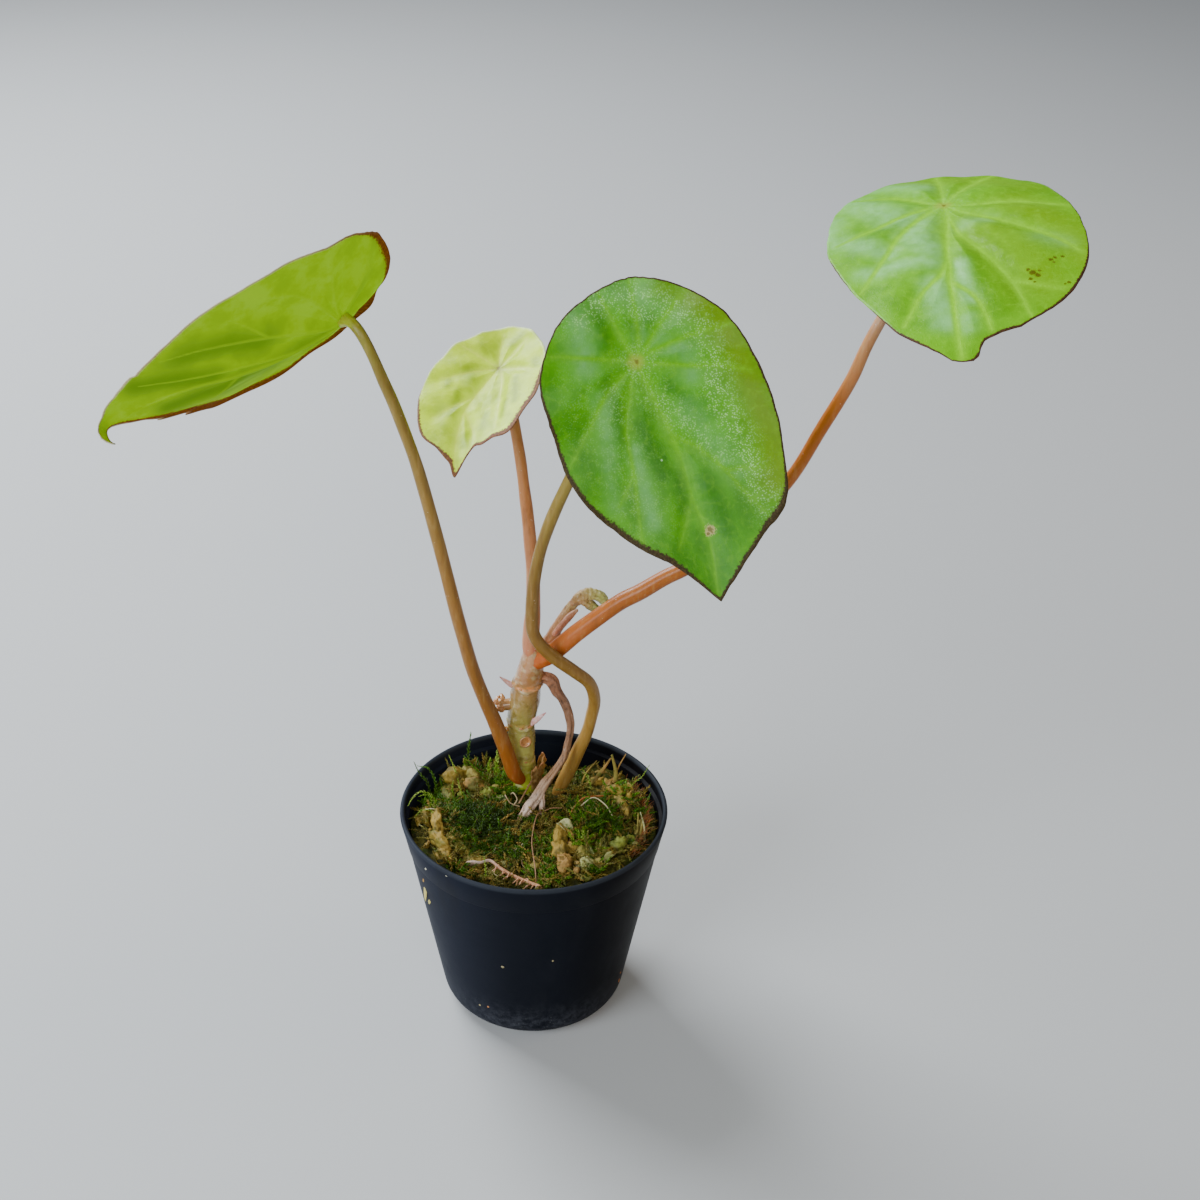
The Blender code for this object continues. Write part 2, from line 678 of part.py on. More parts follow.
def drain_cutter(number):
    angle = 2 * math.pi * number / DRAIN_HOLES
    x, y = DRAIN_CIRCLE * math.cos(angle), DRAIN_CIRCLE * math.sin(angle)
    bm = bmesh.new()
    bmesh.ops.create_cone(
        bm,
        cap_ends=True,
        segments=DRAIN_SEGMENTS,
        radius1=DRAIN_RADIUS,
        radius2=DRAIN_RADIUS,
        depth=3 * FLOOR_HEIGHT,
        matrix=Matrix.Translation((x, y, FLOOR_HEIGHT)),
    )
    return place("drain_cutter", mesh_from(bm, "drain_cutter"))


def medium_height(x, y):
    """Height of the medium's top: mounds and hollows over a rough ground."""
    height = MEDIUM_HEIGHT
    for mound_x, mound_y, radius, rise in MOUNDS:
        apart = (x - mound_x) ** 2 + (y - mound_y) ** 2
        height += rise * math.exp(-apart / (2 * radius**2))
    return height + ROUGHNESS_HEIGHT * noise.noise(Vector((x, y, 0.0)) / ROUGHNESS_SIZE)


def medium_rings():
    """Rings of the medium from the middle of its top over the edge to its floor."""
    rings = []
    rim = inner_radius(MEDIUM_HEIGHT) - GAP
    angles = [2 * math.pi * sector / MEDIUM_SECTORS for sector in range(MEDIUM_SECTORS)]
    for number in range(1, MEDIUM_RINGS + 1):
        radius = rim * number / MEDIUM_RINGS
        ring = []
        for angle in angles:
            x, y = radius * math.cos(angle), radius * math.sin(angle)
            height = medium_height(x, y)
            if number == MEDIUM_RINGS:
                height = min(height, MEDIUM_EDGE_LIMIT)
                edge = inner_radius(height) - GAP
                x, y = edge * math.cos(angle), edge * math.sin(angle)
            ring.append((x, y, height))
        rings.append(ring)
    below = [(inner_radius(MEDIUM_SIDE_HEIGHT) - GAP, MEDIUM_SIDE_HEIGHT)]
    below += reversed([(radius - GAP, height + GAP) for radius, height in corner(WALL, FLOOR_HEIGHT)])
    for radius, height in below:
        rings.append([(radius * math.cos(angle), radius * math.sin(angle), height) for angle in angles])
    return rings


def ringed_body(first, rings, last, name):
    """A closed body from a first point over rings of points to a last one, split into triangles."""
    bm = bmesh.new()
    start = bm.verts.new(first)
    end = bm.verts.new(last)
    made = [[bm.verts.new(point) for point in ring] for ring in rings]
    for one, two in zip(made[0], made[0][1:] + made[0][:1]):
        bm.faces.new((start, one, two))
    for inner, outer in zip(made, made[1:]):
        for index in range(len(inner)):
            after = (index + 1) % len(inner)
            bm.faces.new((inner[index], outer[index], outer[after]))
            bm.faces.new((inner[index], outer[after], inner[after]))
    for one, two in zip(made[-1], made[-1][1:] + made[-1][:1]):
        bm.faces.new((end, two, one))
    return mesh_from(bm, name)


def bowed(foot, tip, radius, bow, leafy):
    """A strand's places from foot to tip. On a leafy one every other place is a waist."""
    points = []
    foot, tip = Vector(foot), Vector(tip)
    across = (tip - foot).cross(Vector((0, 1, 0))).normalized()
    steps = LEAFY_STEPS if leafy else PLAIN_STEPS
    for step in range(steps + 1):
        share = step / steps
        at = foot.lerp(tip, share) + across * bow * math.sin(math.pi * share)
        size = radius * (1.0 - STRAND_TAPER * share**2)
        if leafy and step % 2:
            size *= LEAFY_WAIST
        points.append(Vector((*at, size)))
    return points


def strand(name, foot, tip, radius, bow, leafy):
    return place(name, tube(name, bowed(foot, tip, radius, bow, leafy), STRAND_SIDES))


def strand_tools():
    """The sprigs and straws, and strands strewn over the medium by a seeded rule."""
    draws = random.Random(STRAND_SEED)
    tools = [strand("sprig", *numbers, True) for numbers in SPRIGS]
    tools += [strand("straw", *numbers, False) for numbers in STRAWS]
    for _ in range(RANDOM_STRANDS):
        distance = STRAND_START_REACH * math.sqrt(draws.uniform(0.05, 1.0))
        angle = draws.uniform(0, 2 * math.pi)
        turn = draws.uniform(0, 2 * math.pi)
        x, y = distance * math.cos(angle), distance * math.sin(angle)
        length = STRAND_LENGTH * draws.uniform(0.6, 1.1)
        foot = (x, y, medium_height(x, y) - STRAND_DEPTH)
        tip_x, tip_y = x + length * math.cos(turn), y + length * math.sin(turn)
        if math.hypot(tip_x, tip_y) > STRAND_END_REACH or near_hole(tip_x, tip_y) or near_hole(x, y):
            continue
        tip = (tip_x, tip_y, medium_height(tip_x, tip_y) + draws.uniform(*STRAND_LIFT))
        radius = STRAND_RADIUS * draws.uniform(0.8, 1.3)
        bow = draws.uniform(-STRAND_BOW, STRAND_BOW)
        tools.append(strand("strand", foot, tip, radius, bow, draws.random() < LEAFY_SHARE))
    return tools


def near_hole(x, y):
    return any(math.hypot(x - spot_x, y - spot_y) < reach for spot_x, spot_y, reach in KEEP_CLEAR)


def growing_medium():
    rings = medium_rings()
    top = (0.0, 0.0, medium_height(0.0, 0.0))
    floor = (0.0, 0.0, FLOOR_HEIGHT + GAP)
    body = place("sphagnum_medium", ringed_body(top, rings, floor, "sphagnum_medium"))
    combine(body, strand_tools(), "UNION")
    stalk = smooth_route(PETIOLE_CENTRE, PETIOLE_SEGMENTS)
    stalk_cutter = place("stalk_cutter", tube("stalk_cutter", stalk, TWIG_SIDES, GAP))
    holes = [stem_cutter(), stalk_cutter, dry_root_shape(GAP), surface_root_shape(GAP)]
    combine(body, holes, "DIFFERENCE")


def stem_route():
    """The stem's places with its node rings as slight swellings."""
    route = smooth_route(STEM_ROUTE, STEM_SEGMENTS)
    for at in route:
        for height, rise in NODE_RINGS:
            at[3] += rise * math.exp(-(((at[2] - height) / NODE_RING_WIDTH) ** 2))
    return route


def stem_cutter():
    return place("stem_cutter", tube("stem_cutter", stem_route(), STEM_SIDES, GAP))


def stem():
    body = place("stem", tube("stem", stem_route(), STEM_SIDES))
    tools = []
    for foot, tip, radius in [STUB, *SCARS]:
        places = straight(foot, tip, radius * SCAR_TAPER, radius, 3)
        tools.append(place("scar", tube("scar", places, SCAR_SIDES)))
    combine(body, tools, "UNION")


def petiole(name, points, leaf, on_stem):
    """A leaf stalk, cut flat just under its blade and hollowed where it sits on the stem."""
    shape = LEAVES[leaf]
    way = Vector(shape["top_way"]).normalized()
    mesh = tube(name, smooth_route(points, PETIOLE_SEGMENTS), TWIG_SIDES)
    trim(mesh, Vector(shape["place"]) - way * (BLADE_THICKNESS + GAP), way)
    body = place(name, mesh)
    if on_stem:
        combine(body, [stem_cutter()], "DIFFERENCE")


def leaf_stalks():
    petiole("petiole_left", PETIOLE_LEFT, "leaf_left", True)
    petiole("petiole_small", PETIOLE_SMALL, "leaf_small", True)
    petiole("petiole_centre", PETIOLE_CENTRE, "leaf_centre", False)
    petiole("petiole_right", PETIOLE_RIGHT, "leaf_right", True)


def outline_share(angle):
    """The margin's distance from the stalk as a share of the length, at an angle in degrees from the tip."""
    angle %= 360
    piece = max(index for index in range(len(OUTLINE) - 1) if OUTLINE[index][0] <= angle)
    (start, low), (end, high) = OUTLINE[piece], OUTLINE[piece + 1]
    span = end - start
    t = (angle - start) / span
    slope_in = outline_slope(piece) * span
    slope_out = outline_slope(piece + 1) * span
    return (
        low * (2 * t**3 - 3 * t**2 + 1)
        + slope_in * (t**3 - 2 * t**2 + t)
        + high * (-2 * t**3 + 3 * t**2)
        + slope_out * (t**3 - t**2)
    )


def margin_share(shape, angle):
    """The outline of this one leaf."""
    share = outline_share(angle)
    for centre, spread, change in shape["margin_changes"]:
        away = (angle - centre + 180) % 360 - 180
        share += change * math.exp(-((away / spread) ** 2))
    return share


def outline_slope(index):
    before = max(index - 1, 0)
    after = min(index + 1, len(OUTLINE) - 1)
    return (OUTLINE[after][1] - OUTLINE[before][1]) / (OUTLINE[after][0] - OUTLINE[before][0])


def quilt(angle, share):
    """How far the blade stands up between its main veins, in shares of its length."""
    angle = (angle + 180) % 360 - 180
    veins = [MAIN_VEINS[-1] - 360, *MAIN_VEINS, MAIN_VEINS[0] + 360]
    index = max(number for number in range(len(veins) - 1) if veins[number] <= angle)
    between = (angle - veins[index]) / (veins[index + 1] - veins[index])
    return QUILTING * math.sin(math.pi * between) * math.sin(math.pi * share**QUILT_POWER)


def blade_height(u, v, bends):
    """The bent blade's height over its flat outline, all in shares of its length."""
    side, fold, tip, base = bends
    height = fold * (math.sqrt(v * v + FOLD_SOFTNESS**2) - FOLD_SOFTNESS) - side * v * v
    return height - tip * max(u, 0.0) ** 2 - base * min(u, 0.0) ** 2


def leaf_axes(shape):
    """Unit ways to the tip, to the wide side and up from the blade's top."""
    up = Vector(shape["top_way"]).normalized()
    ahead = Vector(shape["tip_way"])
    ahead = (ahead - up * ahead.dot(up)).normalized()
    return ahead, up.cross(ahead) * shape["wide_side"], up


def blade_point(shape, angle, share):
    """A point of the blade's top: degrees from the tip, and share of the way to the margin."""
    radians = math.radians(angle)
    weave = math.sin(MARGIN_WAVES * radians + shape["length"] * WAVE_SHIFT)
    reach = margin_share(shape, angle) * share * (1 + shape["wave"] * weave * share**2)
    u, v = reach * math.cos(radians), reach * math.sin(radians)
    height = blade_height(u, v, shape["bends"]) + quilt(angle, share)
    height -= shape["tip_hook"] * (max(u - HOOK_START, 0.0) / (1 - HOOK_START)) ** 2
    height += shape["wave"] * share**4 * math.sin(MARGIN_RIPPLES * radians)
    ahead, aside, up = leaf_axes(shape)
    return Vector(shape["place"]) + shape["length"] * (ahead * u + aside * v + up * height)


def blade_angles():
    """Angles round the blade in degrees, closer together near the tip."""
    turns = [sector / BLADE_SECTORS for sector in range(BLADE_SECTORS)]
    return [360 * turn - math.degrees(TIP_CROWDING * math.sin(2 * math.pi * turn)) for turn in turns]


def blade(name, shape):
    """One leaf: a bent, quilted sheet split into triangles alike on both faces."""
    bm = bmesh.new()
    middle = bm.verts.new(shape["place"])
    angles = blade_angles()
    rings = [[bm.verts.new(blade_point(shape, angle, share)) for angle in angles] for share in BLADE_RINGS]
    for index in range(BLADE_SECTORS):
        after = (index + 1) % BLADE_SECTORS
        bm.faces.new((middle, rings[0][index], rings[0][after]))
        for inner, outer in zip(rings, rings[1:]):
            bm.faces.new((inner[index], outer[index], outer[after]))
            bm.faces.new((inner[index], outer[after], inner[after]))
    mesh = bpy.data.meshes.new(name)
    bm.normal_update()
    if sum((face.normal * face.calc_area() for face in bm.faces), Vector()).dot(leaf_axes(shape)[2]) < 0:
        bmesh.ops.reverse_faces(bm, faces=bm.faces)
    bm.to_mesh(mesh)
    bm.free()
    leaf = place(name, mesh)
    solid = leaf.modifiers.new("Solidify", "SOLIDIFY")
    solid.thickness = BLADE_THICKNESS
    solid.offset = -1.0


def leaf_blades():
    for name, shape in LEAVES.items():
        blade(name, shape)


def dry_root_shape(extra):
    body = place("dry_root", tube("dry_root", smooth_route(DRY_ROOT, DRY_ROOT_SEGMENTS), TWIG_SIDES, extra))
    toe = place("toe", tube("toe", smooth_route(DRY_ROOT_TOE, TOE_SEGMENTS), TWIG_SIDES, extra))
    combine(body, [toe], "UNION")
    return body


def dry_root():
    combine(dry_root_shape(0.0), [stem_cutter()], "DIFFERENCE")


def surface_root_shape(extra):
    """The root on the moss with its short side roots, every third of them on its far side."""
    route = smooth_route(SURFACE_ROOT, SURFACE_ROOT_SEGMENTS)
    body = place("surface_root", tube("surface_root", route, FINE_SIDES, extra))
    back, aside, up = ROOTLET_WAY
    tools = []
    for number in range(ROOTLETS):
        foot = Vector(route[FIRST_ROOTLET + number][:3])
        side = 1 if number % 3 == 1 else -1
        tip = foot + Vector((back, aside * side, up)) * ROOTLET_LENGTH
        places = straight(foot, tip, ROOTLET_RADIUS, ROOTLET_RADIUS, 1)
        tools.append(place("rootlet", tube("rootlet", places, FINE_SIDES, extra)))
    combine(body, tools, "UNION")
    return body


def stipules():
    for name, (foot, tip, radius) in (("stipule_left", STIPULE_LEFT), ("stipule_right", STIPULE_RIGHT)):
        body = place(name, tube(name, straight(foot, tip, radius, STIPULE_POINT, 4), TWIG_SIDES))
        combine(body, [stem_cutter()], "DIFFERENCE")


def young_shoot():
    stalk = place("shoot_stalk", tube("shoot_stalk", smooth_route(SHOOT_STALK, SHOOT_SEGMENTS), TWIG_SIDES))
    combine(stalk, [stem_cutter()], "DIFFERENCE")
    leaf = place("shoot_leaf", tube("shoot_leaf", smooth_route(SHOOT_LEAF, SHOOT_SEGMENTS), TWIG_SIDES))
    inner = place("inner", tube("inner", smooth_route(SHOOT_LEAF_INNER, TOE_SEGMENTS), TWIG_SIDES))
    combine(leaf, [inner], "UNION")
    stipule = smooth_route(SHOOT_STIPULE, SHOOT_STIPULE_SEGMENTS)
    place("shoot_stipule", tube("shoot_stipule", stipule, FINE_SIDES))


def stem_middle(height):
    """The stem's middle and radius at this height."""
    route = stem_route()
    return min(route, key=lambda at: abs(at[2] - height))


def bract_point(share, across):
    """A point of the sheath: share of the way up and share of the way across."""
    height = BRACT_FOOT + BRACT_HEIGHT * share
    middle = stem_middle(height)
    angle = math.radians(BRACT_FROM + (BRACT_TO - BRACT_FROM) * across)
    flare = BRACT_EDGE_FLARE + (1 - BRACT_EDGE_FLARE) * math.sin(math.pi * across)
    radius = BRACT_RADIUS + GAP + BRACT_FLARE * share * flare
    height -= BRACT_EDGE_DIP * share * (2 * across - 1) ** 2
    return middle[0] + radius * math.cos(angle), middle[1] + radius * math.sin(angle), height


def dry_bract():
    bm = bmesh.new()
    grid = []
    for row in range(BRACT_ROWS + 1):
        share = row / BRACT_ROWS
        points = [bract_point(share, column / BRACT_COLUMNS) for column in range(BRACT_COLUMNS + 1)]
        grid.append([bm.verts.new(point) for point in points])
    for lower, upper in zip(grid, grid[1:]):
        for column in range(BRACT_COLUMNS):
            bm.faces.new((lower[column], lower[column + 1], upper[column + 1]))
            bm.faces.new((lower[column], upper[column + 1], upper[column]))
    sheath = place("dry_bract", mesh_from(bm, "dry_bract"))
    solid = sheath.modifiers.new("Solidify", "SOLIDIFY")
    solid.thickness = BRACT_THICKNESS
    solid.offset = 1.0


def main():
    clear_scene()
    pot()
    growing_medium()
    stem()
    leaf_stalks()
    leaf_blades()
    young_shoot()
    dry_root()
    surface_root_shape(0.0)
    stipules()
    dry_bract()


main()
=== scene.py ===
"""The looks of a young begonia in a small nursery pot: shield-shaped leaves, stem, roots and sphagnum.

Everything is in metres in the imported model's frame: the origin is the middle of the pot's foot and +Z is up.
Blades are drawn in shares of their length: u runs from the stalk to the tip, v to the wide side.
"""

import math
import random

import bmesh
import bpy
import numpy as np
from mathutils import Matrix, Vector, noise


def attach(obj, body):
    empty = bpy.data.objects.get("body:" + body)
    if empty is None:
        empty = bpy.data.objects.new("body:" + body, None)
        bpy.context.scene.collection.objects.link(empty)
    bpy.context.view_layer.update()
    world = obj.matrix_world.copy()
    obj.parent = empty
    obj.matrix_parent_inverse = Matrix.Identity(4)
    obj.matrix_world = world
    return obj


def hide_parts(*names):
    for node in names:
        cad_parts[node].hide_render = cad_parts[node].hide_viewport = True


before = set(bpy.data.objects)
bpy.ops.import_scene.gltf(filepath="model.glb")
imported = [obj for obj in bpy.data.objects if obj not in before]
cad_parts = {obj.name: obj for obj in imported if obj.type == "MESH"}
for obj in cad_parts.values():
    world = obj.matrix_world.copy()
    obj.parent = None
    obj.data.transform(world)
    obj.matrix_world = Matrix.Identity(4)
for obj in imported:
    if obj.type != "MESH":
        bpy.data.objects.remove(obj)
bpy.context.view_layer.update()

# Camera: its place over the pot, and how it looks down, to the side and rolls, in degrees.
CAMERA_PLACE = (0.0, -0.51345, 0.46730)
CAMERA_PITCH = 31.0645
CAMERA_PAN = 2.3016
CAMERA_ROLL = 1.3116
CAMERA_ANGLE = 35.0

# Pot.
RIM_RADIUS = 0.045
POT_HEIGHT = 0.077
LIP = 0.0016
WALL = 0.0011
COLLAR_HEIGHT = 0.011
COLLAR_STEP = 0.0003
COLLAR_RADIUS = 0.0429
TAPER_FOOT_RADIUS = 0.032
TAPER_FOOT_HEIGHT = 0.008
CORNER_RADIUS = 0.0085
LEDGE_HEIGHT = 0.072
LEDGE_RADIUS = 0.0423
LEDGE_SLOPE = 0.0006
FLOOR_HEIGHT = 0.0024
RECESS = 0.0012
PAD_RADIUS = 0.010
FOOT_RING_INNER = 0.0218
DRAIN_HOLES = 6
DRAIN_RADIUS = 0.003
DRAIN_CIRCLE = 0.016
POT_SEGMENTS = 192
DRAIN_SEGMENTS = 32
SHARP_ANGLE = 40

# Growing medium: mean height of its top, and the mounds on it as x, y, radius, height.
GAP = 0.0003
BODY_TOP = 0.055
MEDIUM_HEIGHT = 0.0690
MEDIUM_SECTORS = 240
MEDIUM_RINGS = 80
MOUNDS = [
    (-0.026, 0.023, 0.0055, 0.0032),
    (-0.033, -0.004, 0.0050, 0.0022),
    (-0.029, -0.018, 0.0050, 0.0026),
    (0.011, -0.010, 0.0050, 0.0026),
    (0.014, -0.025, 0.0065, 0.0036),
    (0.032, 0.009, 0.0060, 0.0030),
    (0.029, -0.021, 0.0060, 0.0028),
    (-0.018, 0.014, 0.0045, 0.0022),
    (-0.020, -0.004, 0.0070, 0.0018),
    (0.020, -0.002, 0.0060, 0.0020),
    (0.006, 0.036, 0.0110, -0.0060),
    (-0.034, 0.018, 0.0050, -0.0030),
    (-0.006, 0.008, 0.0045, -0.0020),
    (-0.005, -0.027, 0.0070, -0.0010),
]

# Stem: x, y, z and radius down its middle.
STEM_ROUTE = [
    (-0.0010, 0.0205, 0.0460, 0.0040),
    (-0.0024, 0.0203, 0.0600, 0.0043),
    (-0.0032, 0.0198, 0.0739, 0.0042),
    (-0.0040, 0.0190, 0.0830, 0.0043),
    (-0.0042, 0.0185, 0.0903, 0.0046),
    (-0.0045, 0.0175, 0.0993, 0.0048),
    (-0.0033, 0.0165, 0.1081, 0.0050),
    (-0.0025, 0.0157, 0.1150, 0.0048),
    (-0.0014, 0.0147, 0.1215, 0.0043),
    (-0.0004, 0.0140, 0.1272, 0.0038),
    (0.0000, 0.0137, 0.1312, 0.0031),
    (0.0001, 0.0136, 0.1328, 0.0016),
]

# Rings where leaves stood: height, swelling and how orange. Cracks: place by the ring, width and depth.
NODE_RINGS = [(0.0835, 0.0002, 0.25), (0.1000, 0.0002, 0.35), (0.1165, 0.0004, 0.95)]
RING_WIDTH = 0.0011
RING_CRACKS = [(0.0012, 0.00035, 0.035), (-0.0011, 0.0003, 0.030)]
STEM_RADIUS = 0.0045

# The cut stub and the leaf scars: foot, tip and radius.
STUB = ((-0.0040, 0.0170, 0.1070), (-0.0118, 0.0160, 0.1068), 0.0022)
SCARS = [
    ((-0.0042, 0.0182, 0.0930), (-0.0029, 0.0131, 0.0936), 0.0021),
    ((-0.0045, 0.0177, 0.0970), (-0.0096, 0.0158, 0.0972), 0.0010),
]

# Leaf stalks, from foot to blade: x, y, z and radius.
PETIOLE_LEFT = [
    (-0.0040, 0.0185, 0.0745, 0.0022),
    (-0.0052, 0.0165, 0.0765, 0.0025),
    (-0.0068, 0.0142, 0.0802, 0.0026),
    (-0.0087, 0.0120, 0.0883, 0.0026),
    (-0.0105, 0.0111, 0.0951, 0.0026),
    (-0.0134, 0.0103, 0.1047, 0.0024),
    (-0.0163, 0.0090, 0.1136, 0.0023),
    (-0.0200, 0.0065, 0.1271, 0.0022),
    (-0.0226, 0.0040, 0.1402, 0.0022),
    (-0.0248, 0.0015, 0.1523, 0.0021),
    (-0.0270, -0.0005, 0.1652, 0.0021),
    (-0.0290, -0.0025, 0.1771, 0.0020),
    (-0.0311, -0.0040, 0.1884, 0.0020),
    (-0.0333, -0.0050, 0.1993, 0.0019),
    (-0.0356, -0.0060, 0.2098, 0.0018),
    (-0.0385, -0.0067, 0.2201, 0.0018),
    (-0.0416, -0.0070, 0.2299, 0.0017),
    (-0.0440, -0.0068, 0.2361, 0.0017),
    (-0.0463, -0.0060, 0.2420, 0.0016),
    (-0.0484, -0.0051, 0.2466, 0.0016),
    (-0.0508, -0.0037, 0.2504, 0.0016),
    (-0.0531, -0.0014, 0.2519, 0.0016),
    (-0.0557, 0.0020, 0.2513, 0.0016),
    (-0.0582, 0.0055, 0.2495, 0.0016),
]
PETIOLE_SMALL = [
    (-0.0004, 0.0140, 0.1265, 0.0024),
    (-0.0012, 0.0133, 0.1320, 0.0029),
    (-0.0010, 0.0136, 0.1381, 0.0027),
    (-0.0005, 0.0146, 0.1451, 0.0024),
    (-0.0005, 0.0165, 0.1553, 0.0022),
    (-0.0012, 0.0187, 0.1652, 0.0021),
    (-0.0021, 0.0210, 0.1749, 0.0020),
    (-0.0033, 0.0232, 0.1845, 0.0019),
    (-0.0045, 0.0257, 0.1939, 0.0018),
    (-0.0061, 0.0282, 0.2032, 0.0017),
    (-0.0078, 0.0304, 0.2118, 0.0016),
    (-0.0096, 0.0315, 0.2190, 0.0015),
    (-0.0112, 0.0296, 0.2238, 0.0015),
    (-0.0118, 0.0289, 0.2256, 0.0015),
]
PETIOLE_CENTRE = [
    (0.0062, 0.0205, 0.0580, 0.0023),
    (0.0094, 0.0200, 0.0701, 0.0023),
    (0.0124, 0.0185, 0.0789, 0.0023),
    (0.0153, 0.0170, 0.0880, 0.0022),
    (0.0179, 0.0153, 0.0963, 0.0021),
    (0.0192, 0.0135, 0.1040, 0.0021),
    (0.0200, 0.0115, 0.1119, 0.0021),
    (0.0180, 0.0080, 0.1211, 0.0021),
    (0.0129, 0.0050, 0.1277, 0.0021),
    (0.0067, 0.0030, 0.1340, 0.0021),
    (0.0018, 0.0020, 0.1398, 0.0021),
    (-0.0005, 0.0015, 0.1452, 0.0021),
    (-0.0008, 0.0010, 0.1519, 0.0021),
    (-0.0005, 0.0005, 0.1603, 0.0020),
    (0.0004, 0.0000, 0.1683, 0.0020),
    (0.0023, -0.0010, 0.1781, 0.0019),
    (0.0056, -0.0020, 0.1892, 0.0019),
    (0.0106, -0.0030, 0.2022, 0.0018),
    (0.0180, -0.0040, 0.2205, 0.0017),
    (0.0236, -0.0058, 0.2345, 0.0017),
    (0.0273, -0.0090, 0.2428, 0.0016),
    (0.0285, -0.0145, 0.2464, 0.0016),
    (0.0285, -0.0184, 0.2475, 0.0016),
    (0.0285, -0.0205, 0.2481, 0.0016),
]
PETIOLE_RIGHT = [
    (-0.0008, 0.0142, 0.1245, 0.0028),
    (0.0018, 0.0122, 0.1275, 0.0030),
    (0.0048, 0.0100, 0.1307, 0.0031),
    (0.0093, 0.0080, 0.1362, 0.0029),
    (0.0134, 0.0070, 0.1409, 0.0028),
    (0.0207, 0.0060, 0.1479, 0.0028),
    (0.0279, 0.0050, 0.1544, 0.0027),
    (0.0335, 0.0045, 0.1580, 0.0026),
    (0.0412, 0.0040, 0.1636, 0.0025),
    (0.0473, 0.0035, 0.1674, 0.0024),
    (0.0578, 0.0025, 0.1764, 0.0022),
    (0.0686, 0.0015, 0.1880, 0.0021),
    (0.0783, 0.0005, 0.2017, 0.0020),
    (0.0857, 0.0000, 0.2175, 0.0019),
    (0.0934, -0.0005, 0.2342, 0.0019),
    (0.0970, -0.0010, 0.2453, 0.0017),
    (0.1011, -0.0010, 0.2550, 0.0017),
    (0.1072, -0.0013, 0.2680, 0.0017),
    (0.1130, -0.0015, 0.2770, 0.0016),
    (0.1154, -0.0017, 0.2826, 0.0016),
    (0.1143, -0.0019, 0.2885, 0.0016),
    (0.1138, -0.0020, 0.2910, 0.0016),
]

# Young shoot at the stem's top.
SHOOT_STALK = [
    (0.0012, 0.0162, 0.1262, 0.0018),
    (0.0034, 0.0166, 0.1300, 0.0020),
    (0.0051, 0.0165, 0.1324, 0.0020),
    (0.0074, 0.0160, 0.1374, 0.0020),
    (0.0103, 0.0153, 0.1432, 0.0018),
    (0.0124, 0.0147, 0.1472, 0.0016),
]
SHOOT_LEAF_INNER = [
    (0.0150, 0.0136, 0.1499, 0.0013),
    (0.0180, 0.0128, 0.1481, 0.0016),
    (0.0213, 0.0123, 0.1463, 0.0010),
]
SHOOT_LEAF = [
    (0.0128, 0.0146, 0.1480, 0.0016),
    (0.0150, 0.0140, 0.1508, 0.0019),
    (0.0176, 0.0137, 0.1518, 0.0019),
    (0.0205, 0.0132, 0.1513, 0.0018),
    (0.0224, 0.0128, 0.1497, 0.0015),
    (0.0234, 0.0125, 0.1476, 0.0008),
]
SHOOT_STIPULE = [
    (0.0066, 0.0132, 0.1368, 0.0008),
    (0.0088, 0.0122, 0.1405, 0.0010),
    (0.0115, 0.0116, 0.1446, 0.0010),
    (0.0136, 0.0112, 0.1470, 0.0006),
]

# Roots in the air and on the moss.
DRY_ROOT = [
    (0.0010, 0.0152, 0.1190, 0.0020),
    (0.0052, 0.0148, 0.1180, 0.0023),
    (0.0074, 0.0150, 0.1130, 0.0020),
    (0.0093, 0.0152, 0.1100, 0.0018),
    (0.0110, 0.0150, 0.1061, 0.0016),
    (0.0122, 0.0145, 0.1010, 0.0015),
    (0.0121, 0.0140, 0.0968, 0.0014),
    (0.0113, 0.0135, 0.0927, 0.0013),
    (0.0101, 0.0125, 0.0879, 0.0013),
    (0.0070, 0.0115, 0.0828, 0.0015),
    (0.0034, 0.0100, 0.0780, 0.0019),
    (0.0008, 0.0078, 0.0742, 0.0020),
    (-0.0024, 0.0048, 0.0712, 0.0021),
    (-0.0052, 0.0020, 0.0670, 0.0015),
]
DRY_ROOT_TOE = [
    (0.0026, 0.0088, 0.0762, 0.0012),
    (0.0026, 0.0068, 0.0720, 0.0012),
    (0.0030, 0.0045, 0.0670, 0.0009),
]
SURFACE_ROOT = [
    (-0.0212, -0.0238, 0.0715, 0.0012),
    (-0.0195, -0.0243, 0.0722, 0.0009),
    (-0.0176, -0.0249, 0.0726, 0.0006),
    (-0.0144, -0.0242, 0.0728, 0.0006),
    (-0.0110, -0.0275, 0.0722, 0.0008),
    (-0.0071, -0.0301, 0.0716, 0.0008),
    (-0.0029, -0.0326, 0.0712, 0.0008),
    (0.0020, -0.0352, 0.0708, 0.0008),
]

# Pink scales on the stem: foot, tip, radius and the shift of their folds.
SCALES = {
    "stipule_left": ((-0.0040, 0.0160, 0.1135), (-0.0114, 0.0150, 0.1188), 0.0014, 20.0),
    "stipule_right": ((-0.0030, 0.0150, 0.0995), (0.0038, 0.0120, 0.1064), 0.0014, -30.0),
}
SCALE_SIDES = 20
SCALE_FLATNESS = 0.45

# Papery sheath round the stem's foot: angles round the stem from +X, heights, and how far it flares.
BRACT_FROM = -65.0
BRACT_TO = 35.0
BRACT_FOOT = 0.0725
BRACT_HEIGHT = 0.0115
BRACT_RADIUS = 0.0049
BRACT_FLARE = 0.0026
SHEATH_ROWS = 34
SHEATH_COLUMNS = 56
SHEATH_THICKNESS = 0.0004

